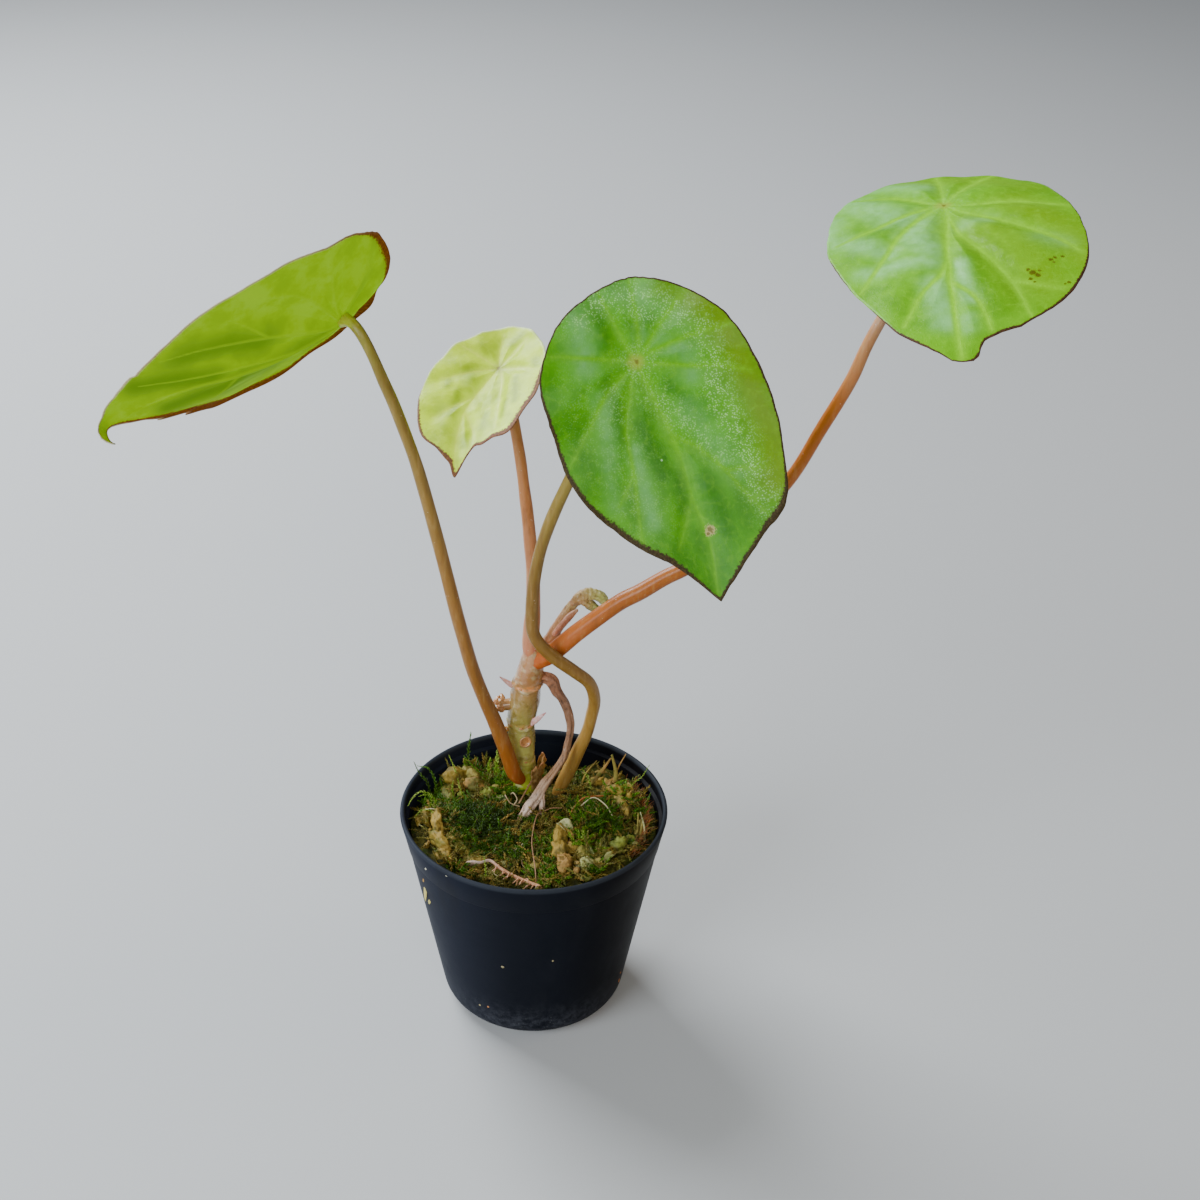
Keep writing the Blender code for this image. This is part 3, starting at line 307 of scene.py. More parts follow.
# The blade's outline: degrees from the tip, positive towards the wide side, and share of the length.
OUTLINE = [
    (0, 1.000),
    (4, 0.945),
    (12, 0.885),
    (24, 0.820),
    (45, 0.640),
    (70, 0.495),
    (100, 0.405),
    (140, 0.345),
    (180, 0.328),
    (220, 0.345),
    (260, 0.385),
    (290, 0.440),
    (315, 0.560),
    (336, 0.700),
    (348, 0.790),
    (356, 0.905),
    (360, 1.000),
]
BLADE_SECTORS = 272
BLADE_RINGS = 72
TIP_CROWDING = 0.82
MARGIN_WAVES = 7
MARGIN_RIPPLES = 10.5
WAVE_SHIFT = 900
FOLD_SOFTNESS = 0.06
HOOK_START = 0.85

# Each leaf: where the stalk meets it, its length, the way to its tip, the way its top faces, which side is
# the wide one, and its bends across, at the midrib, to the tip and to the base. A margin change is an angle,
# its spread and how far the margin moves; lips turn the margin down in the same way. A tip's own outline is
# angles and shares, and its curl is where it starts, its radius, and its steepness and twist in degrees.
# Veins are lines of (u, v). Deep green and shade, sheen, olive and glint dots are strokes, a line of (u, v)
# with its reach and strength: the deep strokes mark deeper green panels and painted shade, the sheen strokes a
# painted reflection and the dot strokes painted glints. Brown is the margin's width in mm, and a stretch is an
# angle, its spread and the added width. Rim highlights are pale stretches, painted highlight along the margin.
# Quilting is the swelling between veins. A spot is (u, v), its size in mm and kind; a dimple shade spot is
# painted shade, and a glint spot a painted highlight.
LEAVES = {
    "leaf_left": {
        "place": (-0.0562, 0.0026, 0.2507),
        "length": 0.0741,
        "tip_way": (-0.741, -0.523, -0.422),
        "top_way": (-0.667, 0.495, 0.557),
        "wide_side": 1,
        "bends": (0.26, 0.45, -0.24, -0.64),
        "margin_changes": [
            (351, 6, -0.14),
            (0, 4, -0.14),
            (7, 4, 0.14),
            (337, 7, -0.05),
            (26, 11, -0.03),
            (60, 20, 0.03),
            (200, 28, -0.035),
            (128, 34, 0.014),
            (172, 16, -0.010),
            (212, 22, -0.030),
        ],
        "tip_angle": 6.5,
        "tip_outline": [
            (-2.8, 0.770),
            (0.2, 0.835),
            (1.1, 0.880),
            (3.0, 0.930),
            (4.6, 0.972),
            (5.35, 1.012),
            (5.70, 1.045),
            (6.10, 1.078),
            (6.42, 1.101),
            (6.6, 1.101),
            (6.90, 1.078),
            (7.30, 1.045),
            (7.65, 1.012),
            (8.3, 0.984),
            (9.4, 0.966),
            (10.2, 0.948),
            (11.5, 0.915),
            (14.1, 0.887),
            (18.2, 0.850),
        ],
        "tip_curl": (0.980, 0.058, 19.0, 62.0),
        "lips": [(300, 36, 0.015), (236, 28, 0.038), (330, 20, 0.009), (351, 9, 0.012)],
        "wave": 0.004,
        "tip_hook": 0.07,
        "veins": [
            [(0.0, 0.0), (0.10, 0.0), (0.25, 0.02), (0.47, 0.06), (0.66, 0.10), (0.86, 0.07), (1.0, 0.0)],
            [(0.0, 0.0), (0.02, 0.05), (0.08, 0.19), (0.14, 0.29), (0.22, 0.35), (0.32, 0.43)],
            [(0.0, 0.0), (0.06, 0.02), (0.28, 0.16), (0.53, 0.27), (0.70, 0.30)],
            [(0.20, 0.01), (0.40, 0.08), (0.63, 0.15), (0.80, 0.20)],
            [(0.0, 0.0), (0.01, 0.07), (-0.01, 0.22), (-0.05, 0.38)],
            [(0.0, 0.0), (-0.01, 0.05), (-0.14, 0.13), (-0.24, 0.22)],
            [(0.0, 0.0), (-0.05, 0.0), (-0.18, -0.02), (-0.31, -0.04)],
            [(0.0, 0.0), (0.08, -0.05), (0.28, -0.20), (0.48, -0.34)],
            [(0.0, 0.0), (0.02, -0.08), (0.10, -0.24), (0.18, -0.38)],
            [(0.0, 0.0), (-0.05, -0.06), (-0.14, -0.20), (-0.17, -0.30)],
            [(0.46, 0.06), (0.60, -0.04), (0.72, -0.14)],
            [(0.30, 0.17), (0.36, 0.28), (0.42, 0.37)],
        ],
        "deep": [
            ([(0.62, 0.27), (0.49, 0.25), (0.33, 0.16)], 0.075, 0.95),
            ([(0.81, 0.20), (0.69, 0.17), (0.55, 0.11)], 0.065, 1.0),
            ([(0.41, 0.02), (0.24, 0.01), (0.10, -0.01)], 0.060, 0.8),
            ([(0.74, 0.03), (0.61, 0.03), (0.45, 0.03)], 0.060, 1.0),
            ([(0.50, -0.14), (0.30, -0.10)], 0.060, 0.7),
        ],
        "sheen": [],
        "olive": [],
        "painted_glint_dots": [],
        "brown": 0.40,
        "brown_stretches": [
            (305, 50, 1.2),
            (232, 22, 3.2),
            (192, 26, 2.4),
            (152, 22, 1.8),
            (332, 22, 2.2),
            (351, 11, 3.4),
            (8, 8, -0.30),
        ],
        "rim_highlights": [(62, 52, 1.0), (8, 10, 0.8)],
        "quilting": 0.018,
        "spots": [],
    },
    "leaf_small": {
        "place": (-0.0112, 0.0296, 0.2238),
        "length": 0.0426,
        "tip_way": (-0.257, -0.852, -0.456),
        "top_way": (-0.316, -0.372, 0.873),
        "wide_side": -1,
        "bends": (0.08, 0.35, -0.10, -0.25),
        "margin_changes": [
            (356, 4, -0.115),
            (345, 8, -0.03),
            (336, 8, 0.06),
            (14, 8, -0.03),
            (310, 14, 0.02),
            (187, 26, 0.04),
            (0, 2.5, 0.09),
        ],
        "wave": 0.008,
        "tip_hook": 0.02,
        "veins": [
            [(0.0, 0.0), (0.16, 0.06), (0.43, 0.12), (0.69, 0.10), (0.91, 0.04), (1.0, 0.0)],
            [(0.0, 0.0), (0.06, -0.04), (0.26, -0.10), (0.45, -0.14), (0.62, -0.18)],
            [(0.0, 0.0), (0.05, 0.13), (0.12, 0.26), (0.19, 0.38)],
            [(0.0, 0.0), (-0.06, 0.12), (-0.12, 0.26), (-0.16, 0.34)],
            [(0.0, 0.0), (-0.14, 0.03), (-0.30, 0.04)],
            [(0.0, 0.0), (-0.12, -0.09), (-0.24, -0.18)],
            [(0.0, 0.0), (0.03, -0.14), (0.06, -0.26), (0.10, -0.38)],
            [(0.30, 0.09), (0.42, 0.22), (0.56, 0.32)],
            [(0.45, 0.12), (0.60, 0.02), (0.74, -0.06)],
        ],
        "deep": [
            ([(0.06, 0.21), (0.14, 0.16)], 0.055, 0.9),
            ([(0.19, 0.31), (0.25, 0.30)], 0.035, 0.8),
            ([(0.28, 0.21), (0.40, 0.20), (0.50, 0.20)], 0.035, 0.9),
            ([(-0.12, 0.12), (-0.17, 0.16)], 0.035, 0.8),
            ([(0.15, -0.20), (0.30, -0.25), (0.38, -0.27)], 0.03, 0.9),
            ([(0.36, -0.18), (0.50, -0.20)], 0.03, 0.8),
            ([(-0.28, -0.12), (-0.20, -0.06)], 0.045, 0.8),
            ([(0.0, -0.32), (0.05, -0.34)], 0.04, 0.8),
            ([(0.47, -0.05), (0.60, -0.07)], 0.035, 0.9),
            ([(0.66, 0.04), (0.78, 0.02)], 0.03, 0.7),
            ([(0.92, 0.03), (0.98, 0.01)], 0.03, 0.6),
            ([(0.62, 0.20), (0.68, 0.18)], 0.03, 0.5),
        ],
        "sheen": [
            ([(0.10, 0.19), (0.20, 0.18)], 0.03, 0.4),
            ([(0.45, 0.28), (0.60, 0.24)], 0.04, 0.3),
        ],
        "olive": [],
        "painted_glint_dots": [],
        "brown": 0.06,
        "brown_stretches": [(32, 18, 0.9), (3, 8, 1.6), (334, 20, 2.1), (302, 18, 1.6)],
        "rim_highlights": [(110, 50, 0.9), (190, 50, 0.8), (268, 20, 0.9)],
        "quilting": 0.020,
        "spots": [],
    },
    "leaf_centre": {
        "place": (0.0285, -0.0184, 0.2475),
        "length": 0.0708,
        "tip_way": (0.349, -0.254, -0.902),
        "top_way": (0.003, -0.962, 0.272),
        "wide_side": 1,
        "bends": (0.11, 0.21, -0.18, 0.14),
        "margin_changes": [
            (28, 9, 0.03),
            (10, 6, -0.012),
            (345, 8, 0.018),
            (60, 14, -0.013),
            (112, 16, -0.009),
            (205, 18, -0.012),
            (350, 8, -0.014),
            (19, 6, -0.020),
        ],
        "wave": 0.010,
        "tip_hook": 0.0,
        "veins": [
            [(0.0, 0.0), (0.11, 0.01), (0.27, 0.03), (0.45, 0.04), (0.59, 0.03), (0.75, 0.04), (0.97, 0.0)],
            [(0.32, 0.035), (0.42, 0.13), (0.52, 0.19), (0.63, 0.24), (0.75, 0.30)],
            [(0.0, 0.0), (0.02, 0.04), (0.08, 0.19), (0.12, 0.31), (0.18, 0.42)],
            [(0.0, 0.0), (-0.01, 0.03), (-0.03, 0.19), (-0.03, 0.31), (-0.02, 0.42)],
            [(0.0, 0.0), (0.04, -0.03), (0.12, -0.07), (0.25, -0.13), (0.42, -0.16), (0.59, -0.20),
              (0.68, -0.22)],
            [(0.0, 0.0), (0.03, -0.05), (0.08, -0.15), (0.19, -0.27), (0.29, -0.38)],
            [(0.0, 0.0), (-0.01, -0.02), (-0.06, -0.13), (-0.11, -0.24), (-0.15, -0.33)],
            [(0.0, 0.0), (-0.03, -0.01), (-0.16, -0.03), (-0.31, -0.05)],
            [(0.0, 0.0), (-0.03, 0.02), (-0.16, 0.06), (-0.31, 0.08)],
            [(0.0, 0.0), (-0.02, 0.03), (-0.12, 0.15), (-0.20, 0.27)],
            [(0.59, 0.03), (0.68, -0.03), (0.76, -0.09)],
            [(0.42, -0.16), (0.52, -0.26)],
            [(0.52, 0.19), (0.54, 0.28), (0.56, 0.36)],
        ],
        "deep": [
            ([(0.04, -0.14), (0.16, -0.14), (0.27, -0.16)], 0.030, 0.85),
            ([(0.24, -0.07), (0.35, -0.06), (0.46, -0.05)], 0.045, 1.0),
            ([(0.50, 0.01), (0.62, -0.01)], 0.040, 0.95),
            ([(0.54, 0.11), (0.65, 0.13), (0.75, 0.12)], 0.050, 0.9),
            ([(0.15, -0.32), (0.27, -0.34), (0.37, -0.33)], 0.055, 0.6),
            ([(-0.25, -0.07), (-0.11, -0.10)], 0.045, 0.75),
            ([(0.47, -0.19), (0.59, -0.21)], 0.030, 0.6),
            ([(0.13, 0.09), (0.23, 0.15)], 0.035, 0.7),
            ([(-0.13, 0.06), (-0.15, 0.11)], 0.040, 0.7),
            ([(0.78, 0.0), (0.85, 0.03), (0.94, 0.0)], 0.055, 0.7),
            ([(0.60, 0.22), (0.74, 0.20)], 0.055, 0.6),
            ([(0.76, -0.10), (0.84, -0.06)], 0.045, 0.6),
            ([(-0.06, -0.35), (0.14, -0.39)], 0.050, 0.6),
        ],
        "sheen": [
            ([(-0.32, -0.16), (-0.18, -0.17), (-0.05, -0.19)], 0.050, 0.95),
            ([(0.09, -0.19), (0.23, -0.20), (0.35, -0.24)], 0.038, 0.75),
            ([(0.33, -0.13), (0.49, -0.14), (0.63, -0.15)], 0.035, 0.85),
            ([(0.40, -0.25), (0.51, -0.28)], 0.035, 0.55),
            ([(-0.03, 0.13), (0.02, 0.20), (0.12, 0.19)], 0.045, 0.65),
            ([(0.25, 0.14), (0.40, 0.19), (0.53, 0.23)], 0.055, 0.55),
            ([(-0.10, 0.05), (-0.04, 0.09)], 0.035, 0.4),
            ([(-0.30, -0.04), (-0.22, 0.12), (-0.08, 0.22)], 0.055, 0.45),
        ],
        "olive": [
            ([(-0.16, 0.30), (-0.06, 0.37), (0.12, 0.40), (0.29, 0.41), (0.46, 0.41),
               (0.62, 0.38)], 0.090, 1.0),
            ([(-0.24, 0.20), (-0.16, 0.28)], 0.060, 0.7),
        ],
        "painted_glint_dots": [
            ([(-0.24, -0.17), (-0.28, -0.01), (-0.21, 0.13), (-0.10, 0.26), (-0.01, 0.29),
               (0.11, 0.29)], 0.060, 0.9),
            ([(0.11, 0.29), (0.25, 0.27), (0.43, 0.29), (0.60, 0.29), (0.71, 0.31)], 0.060, 1.0),
            ([(0.14, 0.01), (0.31, 0.12), (0.44, 0.20)], 0.060, 0.6),
            ([(0.07, -0.12), (0.19, -0.14)], 0.050, 0.45),
            ([(0.0, 0.0), (0.02, 0.01)], 0.080, 0.7),
            ([(-0.24, 0.05), (-0.16, 0.16)], 0.070, 0.8),
            ([(0.10, -0.20), (0.55, -0.18)], 0.150, 0.30),
        ],
        "brown": 0.34,
        "brown_stretches": [
            (312, 24, 1.1),
            (338, 12, 1.3),
            (352, 8, 1.2),
            (8, 7, 0.9),
            (24, 9, 1.8),
            (60, 25, 0.30),
            (278, 18, 0.35),
        ],
        "rim_highlights": [],
        "quilting": 0.010,
        "spots": [
            (0.73, 0.055, 1.45, "tan ring"),
            (0.742, 0.043, 0.8, "tan ring"),
            (0.40, -0.02, 0.6, "dimple"),
            (0.405, -0.035, 0.3, "glint"),
        ],
    },
    "leaf_right": {
        "place": (0.1143, -0.0019, 0.2885),
        "length": 0.0781,
        "tip_way": (-0.135, -0.989, -0.059),
        "top_way": (-0.176, -0.035, 0.984),
        "wide_side": 1,
        "bends": (0.15, 0.02, 0.12, 0.22),
        "margin_changes": [
            (348, 8, 0.048),
            (0, 3, -0.03),
            (6, 3, -0.009),
            (22, 8, -0.014),
            (155, 30, -0.018),
            (320, 14, -0.017),
            (40, 12, 0.014),
            (350, 6, 0.016),
        ],
        "tip_outline": [
            (-5.2, 0.916),
            (-3.6, 0.929),
            (-2.3, 0.946),
            (-1.0, 0.961),
            (0.5, 0.966),
            (3.0, 0.970),
            (4.2, 0.957),
            (4.8, 0.930),
            (5.8, 0.905),
            (7.0, 0.896),
            (8.6, 0.888),
            (9.8, 0.879),
            (12.7, 0.871),
            (14.5, 0.868),
        ],
        "wave": 0.003,
        "tip_hook": 0.03,
        "veins": [
            [(0.0, 0.0), (0.10, 0.01), (0.30, 0.0), (0.48, 0.0), (0.70, 0.005), (0.88, 0.01), (0.98, 0.02)],
            [(0.10, 0.01), (0.26, 0.05), (0.42, 0.13), (0.59, 0.20), (0.80, 0.25)],
            [(0.0, 0.0), (0.03, -0.03), (0.20, -0.15), (0.38, -0.22), (0.57, -0.30)],
            [(0.0, 0.0), (-0.04, -0.07), (-0.12, -0.18), (-0.15, -0.32)],
            [(0.0, 0.0), (0.08, 0.06), (0.18, 0.21), (0.33, 0.38), (0.43, 0.45)],
            [(0.0, 0.0), (0.02, 0.06), (0.02, 0.23), (0.07, 0.43)],
            [(0.42, 0.0), (0.50, -0.02), (0.61, -0.09), (0.80, -0.16)],
            [(0.0, 0.0), (-0.10, 0.0), (-0.30, -0.01)],
            [(0.0, 0.0), (-0.06, 0.03), (-0.20, 0.13), (-0.26, 0.19)],
            [(0.0, 0.0), (0.05, -0.12), (0.14, -0.25), (0.22, -0.38)],
            [(0.59, 0.20), (0.62, 0.28), (0.64, 0.36)],
            [(0.56, 0.0), (0.68, 0.08), (0.86, 0.12)],
        ],
        "deep": [
            ([(0.28, 0.09), (0.33, 0.15), (0.51, 0.19), (0.71, 0.20)], 0.040, 0.9),
            ([(0.42, 0.07), (0.52, 0.09), (0.67, 0.12), (0.76, 0.15)], 0.050, 1.0),
            ([(0.15, 0.24), (0.15, 0.36)], 0.045, 0.95),
            ([(0.29, -0.09), (0.27, -0.04)], 0.030, 0.6),
            ([(0.65, -0.19), (0.71, -0.16)], 0.035, 0.7),
            ([(0.79, -0.13), (0.81, -0.05)], 0.035, 0.6),
            ([(-0.04, 0.24), (-0.08, 0.35)], 0.050, 0.8),
            ([(-0.19, -0.01), (-0.10, 0.0)], 0.040, 0.9),
            ([(0.10, -0.13), (0.19, -0.24), (0.32, -0.33)], 0.030, 0.85),
            ([(0.70, -0.06), (0.67, -0.09)], 0.035, 0.6),
            ([(0.86, 0.14), (0.88, 0.08)], 0.035, 0.6),
            ([(0.57, -0.29), (0.57, -0.23)], 0.030, 0.6),
            ([(0.36, 0.33), (0.52, 0.33)], 0.050, 0.5),
        ],
        "sheen": [
            ([(-0.13, -0.33), (0.03, -0.22), (0.10, -0.14)], 0.075, 0.9),
            ([(0.20, -0.37), (0.28, -0.28), (0.34, -0.20)], 0.055, 0.85),
            ([(0.14, -0.10), (0.24, -0.11), (0.36, -0.06)], 0.065, 0.95),
            ([(0.46, -0.28), (0.44, -0.16), (0.44, -0.06)], 0.045, 0.9),
            ([(0.56, -0.06), (0.67, -0.04), (0.80, -0.03)], 0.045, 1.0),
            ([(0.46, 0.035), (0.60, 0.045), (0.69, 0.06)], 0.028, 1.0),
            ([(0.20, 0.03), (0.16, 0.14)], 0.040, 0.6),
            ([(-0.27, -0.26), (-0.18, -0.08)], 0.055, 0.8),
            ([(0.78, 0.04), (0.83, 0.04)], 0.035, 0.7),
            ([(0.32, 0.32), (0.35, 0.38)], 0.050, 0.35),
            ([(0.02, -0.40), (0.14, -0.42)], 0.060, 0.8),
        ],
        "olive": [
            ([(0.20, 0.10), (0.40, 0.24), (0.60, 0.30)], 0.140, 0.8),
            ([(0.05, 0.25), (0.25, 0.40), (0.45, 0.45)], 0.120, 0.9),
            ([(-0.26, -0.10), (-0.22, 0.10), (-0.10, 0.30)], 0.080, 0.7),
        ],
        "painted_glint_dots": [
            ([(0.0, 0.0), (0.05, 0.02)], 0.10, 0.35),
        ],
        "brown": 0.05,
        "brown_stretches": [(33, 16, 0.75), (10, 6, 0.7), (4.5, 1.5, 0.7), (350, 7, 0.7),
            (75, 30, 0.22), (318, 12, 0.12)],
        "rim_highlights": [(185, 60, 0.5), (120, 30, 0.4)],
        "quilting": 0.016,
        "crinkle": 0.0024,
        "spots": [
            (0.556, 0.272, 0.9, "brown"),
            (0.540, 0.258, 0.55, "brown"),
            (0.570, 0.288, 0.75, "brown"),
            (0.548, 0.295, 0.45, "brown ring"),
            (0.588, 0.262, 0.55, "brown"),
            (0.604, 0.275, 0.35, "brown"),
            (0.482, 0.338, 0.65, "brown"),
            (0.468, 0.352, 0.5, "brown"),
            (0.498, 0.346, 0.4, "brown ring"),
            (0.460, 0.378, 0.55, "brown"),
            (0.610, 0.385, 0.5, "brown"),
            (0.618, 0.372, 0.3, "brown"),
        ],
    },
}

# Bits of moss and dirt on the pot: degrees round it from +X, height, size along, across and out of the
# wall in mm, turn in degrees, and kind. Those inside the rim have a height over the ledge.
POT_CRUMBS = [
    (207.5, 0.0560, 9.5, 2.1, 0.5, 88.0, "straw"),
    (209.5, 0.0520, 3.2, 1.4, 0.4, 70.0, "straw"),
    (209.0, 0.0615, 2.2, 0.9, 0.4, 70.0, "golden"),
    (216.5, 0.0710, 0.9, 0.8, 0.35, 30.0, "white"),
    (231.0, 0.0752, 1.3, 0.6, 0.3, 0.0, "white"),
    (254.0, 0.0375, 1.1, 1.0, 0.35, 0.0, "pale"),
    (279.5, 0.0415, 0.9, 0.7, 0.3, 90.0, "pale"),
    (236.0, 0.0125, 0.9, 0.8, 0.3, 0.0, "pale"),
    (242.0, 0.0135, 0.8, 0.8, 0.3, 0.0, "orange"),
    (336.5, 0.0105, 1.8, 1.1, 0.4, 70.0, "orange"),
    (335.0, 0.0150, 1.0, 0.6, 0.3, 80.0, "orange"),
]
CRUMB_TINTS = {"golden": 0.15, "straw": 0.78, "white": 0.9, "pale": 0.65, "orange": 0.4}

# Small forms: the hole left in a tube's round cap, and how uneven lumps are, as shares of their radius.
CAP_HOLE = 0.02
LUMPINESS = 0.35

# Blade details, in shares of its length where they lie in (u, v), and in metres.
MIDRIB_WIDTH = 0.017
VEIN_WIDTH = 0.014
BRANCH_WIDTH = 0.011
QUILT_REACH = 0.05
UNEVENNESS = 0.0036
CRINKLE = 0.0009
MARGIN_UNEVENNESS = [(0.11, 0.0035, 0), (0.035, 0.0022, 3)]
LIP_START = 0.93
LIP_BEND = 1.4
RIM_HIGHLIGHT_WIDTH = 0.45
GROOVE = 0.0016
BLADE_THICKNESS = 0.00060
RIB_HEIGHT = 0.00050
FAR_AWAY = 9.0
FAR_VEIN = 6.0
FAR_EDGE = 8.0

# Each leaf's colours, and how much light comes through it. The rim colour is a painted highlight along the
# margin, the painted sheen colour a painted reflection, and the sparkle colour painted glints.
LEAF_TONES = {
    "leaf_left": {
        "base": (0.16, 0.36, 0.01),
        "deep": (0.08, 0.26, 0.004),
        "vein": (0.30, 0.50, 0.05),
        "dust_and_painted_sheen": (0.50, 0.66, 0.50),
        "brown": (0.25, 0.084, 0.009),
        "rim": (0.86, 0.84, 0.50),
        "under": (0.42, 0.60, 0.0),
        "under_deep": (0.084, 0.155, 0.0),
        "under_vein": (0.38, 0.54, 0.01),
        "olive": (0.2, 0.4, 0.0),
        "glow": (0.66, 0.92, 0.0),
        "glow_share": 0.50,
        "veining": 0.4,
        "slot": "leaf_yellow_green",
    },
    "leaf_small": {
        "base": (0.76, 0.98, 0.020),
        "deep": (0.33, 0.47, 0.0),
        "vein": (0.82, 0.98, 0.12),
        "dust_and_painted_sheen": (0.76, 0.97, 0.20),
        "brown": (0.13, 0.050, 0.020),
        "rim": (0.86, 0.94, 0.55),
        "under": (0.60, 0.76, 0.15),
        "under_deep": (0.46, 0.66, 0.06),
        "under_vein": (0.62, 0.72, 0.22),
        "olive": (0.6, 0.7, 0.0),
        "glow": (0.84, 0.97, 0.05),
        "glow_share": 0.20,
        "veining": 0.40,
        "slot": "leaf_pale",
    },
    "leaf_centre": {
        "base": (0.092, 0.38, 0.001),
        "deep": (0.025, 0.165, 0.0),
        "vein": (0.21, 0.54, 0.008),
        "dust_and_painted_sheen": (0.16, 0.43, 0.13),
        "brown": (0.042, 0.028, 0.009),
        "rim": (0.08, 0.14, 0.02),
        "under": (0.24, 0.42, 0.03),
        "under_deep": (0.16, 0.34, 0.01),
        "under_vein": (0.36, 0.30, 0.10),
        "olive": (0.165, 0.27, 0.0),
        "sparkle": (0.42, 0.80, 0.24),
        "glow": (0.42, 0.80, 0.0),
        "glow_share": 0.34,
        "veining": 0.34,
        "slot": "leaf_green",
    },
    "leaf_right": {
        "base": (0.195, 0.545, 0.001),
        "deep": (0.105, 0.33, 0.0),
        "vein": (0.34, 0.76, 0.015),
        "dust_and_painted_sheen": (0.33, 0.78, 0.27),
        "brown": (0.060, 0.026, 0.010),
        "rim": (0.40, 0.62, 0.14),
        "under": (0.34, 0.52, 0.05),
        "under_deep": (0.24, 0.44, 0.02),
        "under_vein": (0.46, 0.42, 0.14),
        "olive": (0.23, 0.46, 0.0),
        "glow": (0.56, 0.90, 0.0),
        "glow_share": 0.36,
        "veining": 0.60,
        "slot": "leaf_light_green",
    },
}
SPOT_COLOURS = {
    "tan ring": ((0.16, 0.10, 0.02), (0.60, 0.46, 0.18), 0.9),
    "brown ring": ((0.20, 0.14, 0.02), (0.08, 0.035, 0.006), 0.8),
    "brown": ((0.10, 0.045, 0.008), (0.11, 0.045, 0.008), 0.85),
    # Painted shade in a shallow dent, and a painted glint beside it.
    "dimple": ((0.02, 0.16, 0.0), (0.02, 0.16, 0.0), 0.7),
    "glint": ((0.50, 0.80, 0.40), (0.50, 0.80, 0.40), 0.8),
}
HUB_COLOUR = (0.42, 0.52, 0.05)
HUB_CENTRE = (0.20, 0.15, 0.02)
STALK_SIDES = 28
STALK_PLACES = 170

# Each stalk: its route, its leaf, colours from foot to blade, and the record's slot.
STALKS = {
    "petiole_left": {
        "route": PETIOLE_LEFT,
        "leaf": "leaf_left",
        "slot": "stalk_tan",
        "stops": [
            (0.0, (0.44, 0.050, 0.004)),
            (0.05, (0.30, 0.085, 0.012)),
            (0.20, (0.24, 0.095, 0.017)),
            (0.45, (0.27, 0.125, 0.022)),
            (0.72, (0.23, 0.140, 0.026)),
            (0.88, (0.19, 0.130, 0.020)),
            (0.965, (0.22, 0.20, 0.018)),
            (1.0, (0.40, 0.50, 0.010)),
        ],
    },
    "petiole_small": {
        "route": PETIOLE_SMALL,
        "leaf": "leaf_small",
        "slot": "stalk_orange",
        "stops": [
            (0.0, (0.50, 0.16, 0.07)),
            (0.12, (0.46, 0.20, 0.10)),
            (0.55, (0.41, 0.155, 0.050)),
            (0.85, (0.42, 0.175, 0.058)),
            (1.0, (0.50, 0.34, 0.15)),
        ],
    },
    "petiole_centre": {
        "route": PETIOLE_CENTRE,
        "leaf": "leaf_centre",
        "slot": "stalk_olive",
        "stops": [
            (0.0, (0.24, 0.12, 0.022)),
            (0.10, (0.30, 0.165, 0.036)),
            (0.22, (0.31, 0.170, 0.033)),
            (0.36, (0.21, 0.106, 0.018)),
            (0.55, (0.18, 0.096, 0.014)),
            (0.85, (0.30, 0.230, 0.040)),
            (1.0, (0.38, 0.36, 0.07)),
        ],
    },
    "petiole_right": {
        "route": PETIOLE_RIGHT,
        "leaf": "leaf_right",
        "slot": "stalk_orange",
        "stops": [
            (0.0, (0.44, 0.07, 0.008)),
            (0.07, (0.40, 0.10, 0.016)),
            (0.20, (0.30, 0.082, 0.008)),
            (0.36, (0.35, 0.098, 0.008)),
            (0.66, (0.41, 0.112, 0.009)),
            (0.78, (0.42, 0.19, 0.075)),
            # The pale grey-pink stops near the blade are partly painted highlight, standing in for the gloss
            # there.
            (0.90, (0.44, 0.31, 0.23)),
            (1.0, (0.48, 0.40, 0.32)),
        ],
    },
}
STALK_FLARE = 0.45
STALK_FLARE_LENGTH = 0.0022
STEM_SIDES = 72
STEM_PLACES = 220
KNOB_SIDES = 28
STEM_COLOUR_FOOT = 0.070
STEM_COLOUR_TOP = 0.135

# Crumbs and skin flakes on the stem, and the comb of the root on the moss.
STUB_CRUMBS = 12
STUB_SEED = 31
FLAKE_SEED = 40
FLAKE_COUNT = 10
COMB_SEED = 6
COMB_PLACES = 26
COMB_FIRST = 10
COMB_LENGTH = 0.0036
ROOT_SLIMMING = 0.85
SURFACE_ROOT_SLIMMING = 0.72
ROOT_SIDES = 32
SURFACE_ROOT_SIDES = 14

# Pieces of the young shoot: name, slot, tubes as route, places and seed, sides, folds as count, depth and
# twist, and how far the skin is crumpled.
SHOOT_PIECES = {
    "shoot_stalk": ("shoot_stalk_ribbed", "shoot", [(SHOOT_STALK, 60, 0.5)], 28, (6, 0.07, 4.0), 0.0),
    "shoot_leaf": (
        "shoot_leaf_rolled",
        "shoot_leaf",
        [(SHOOT_LEAF, 70, 0.0), (SHOOT_LEAF_INNER, 40, 2.0)],
        32,
        (3, 0.13, 7.0),
        0.00022,
    ),
    "shoot_stipule": ("shoot_stipule_strand", "shoot", [(SHOOT_STIPULE, 40, 1.0)], 20, (4, 0.10, 5.0), 0.0),
}

# Tints of dry moss, from 0 to 1 over its colour ramp.
GOLDEN = 0.05
TAN = 0.25
PINKISH = 0.42
STRAW = 0.58
OLIVE = 0.74
LIME = 0.84
CREAM = 0.90
WHITISH = 0.94
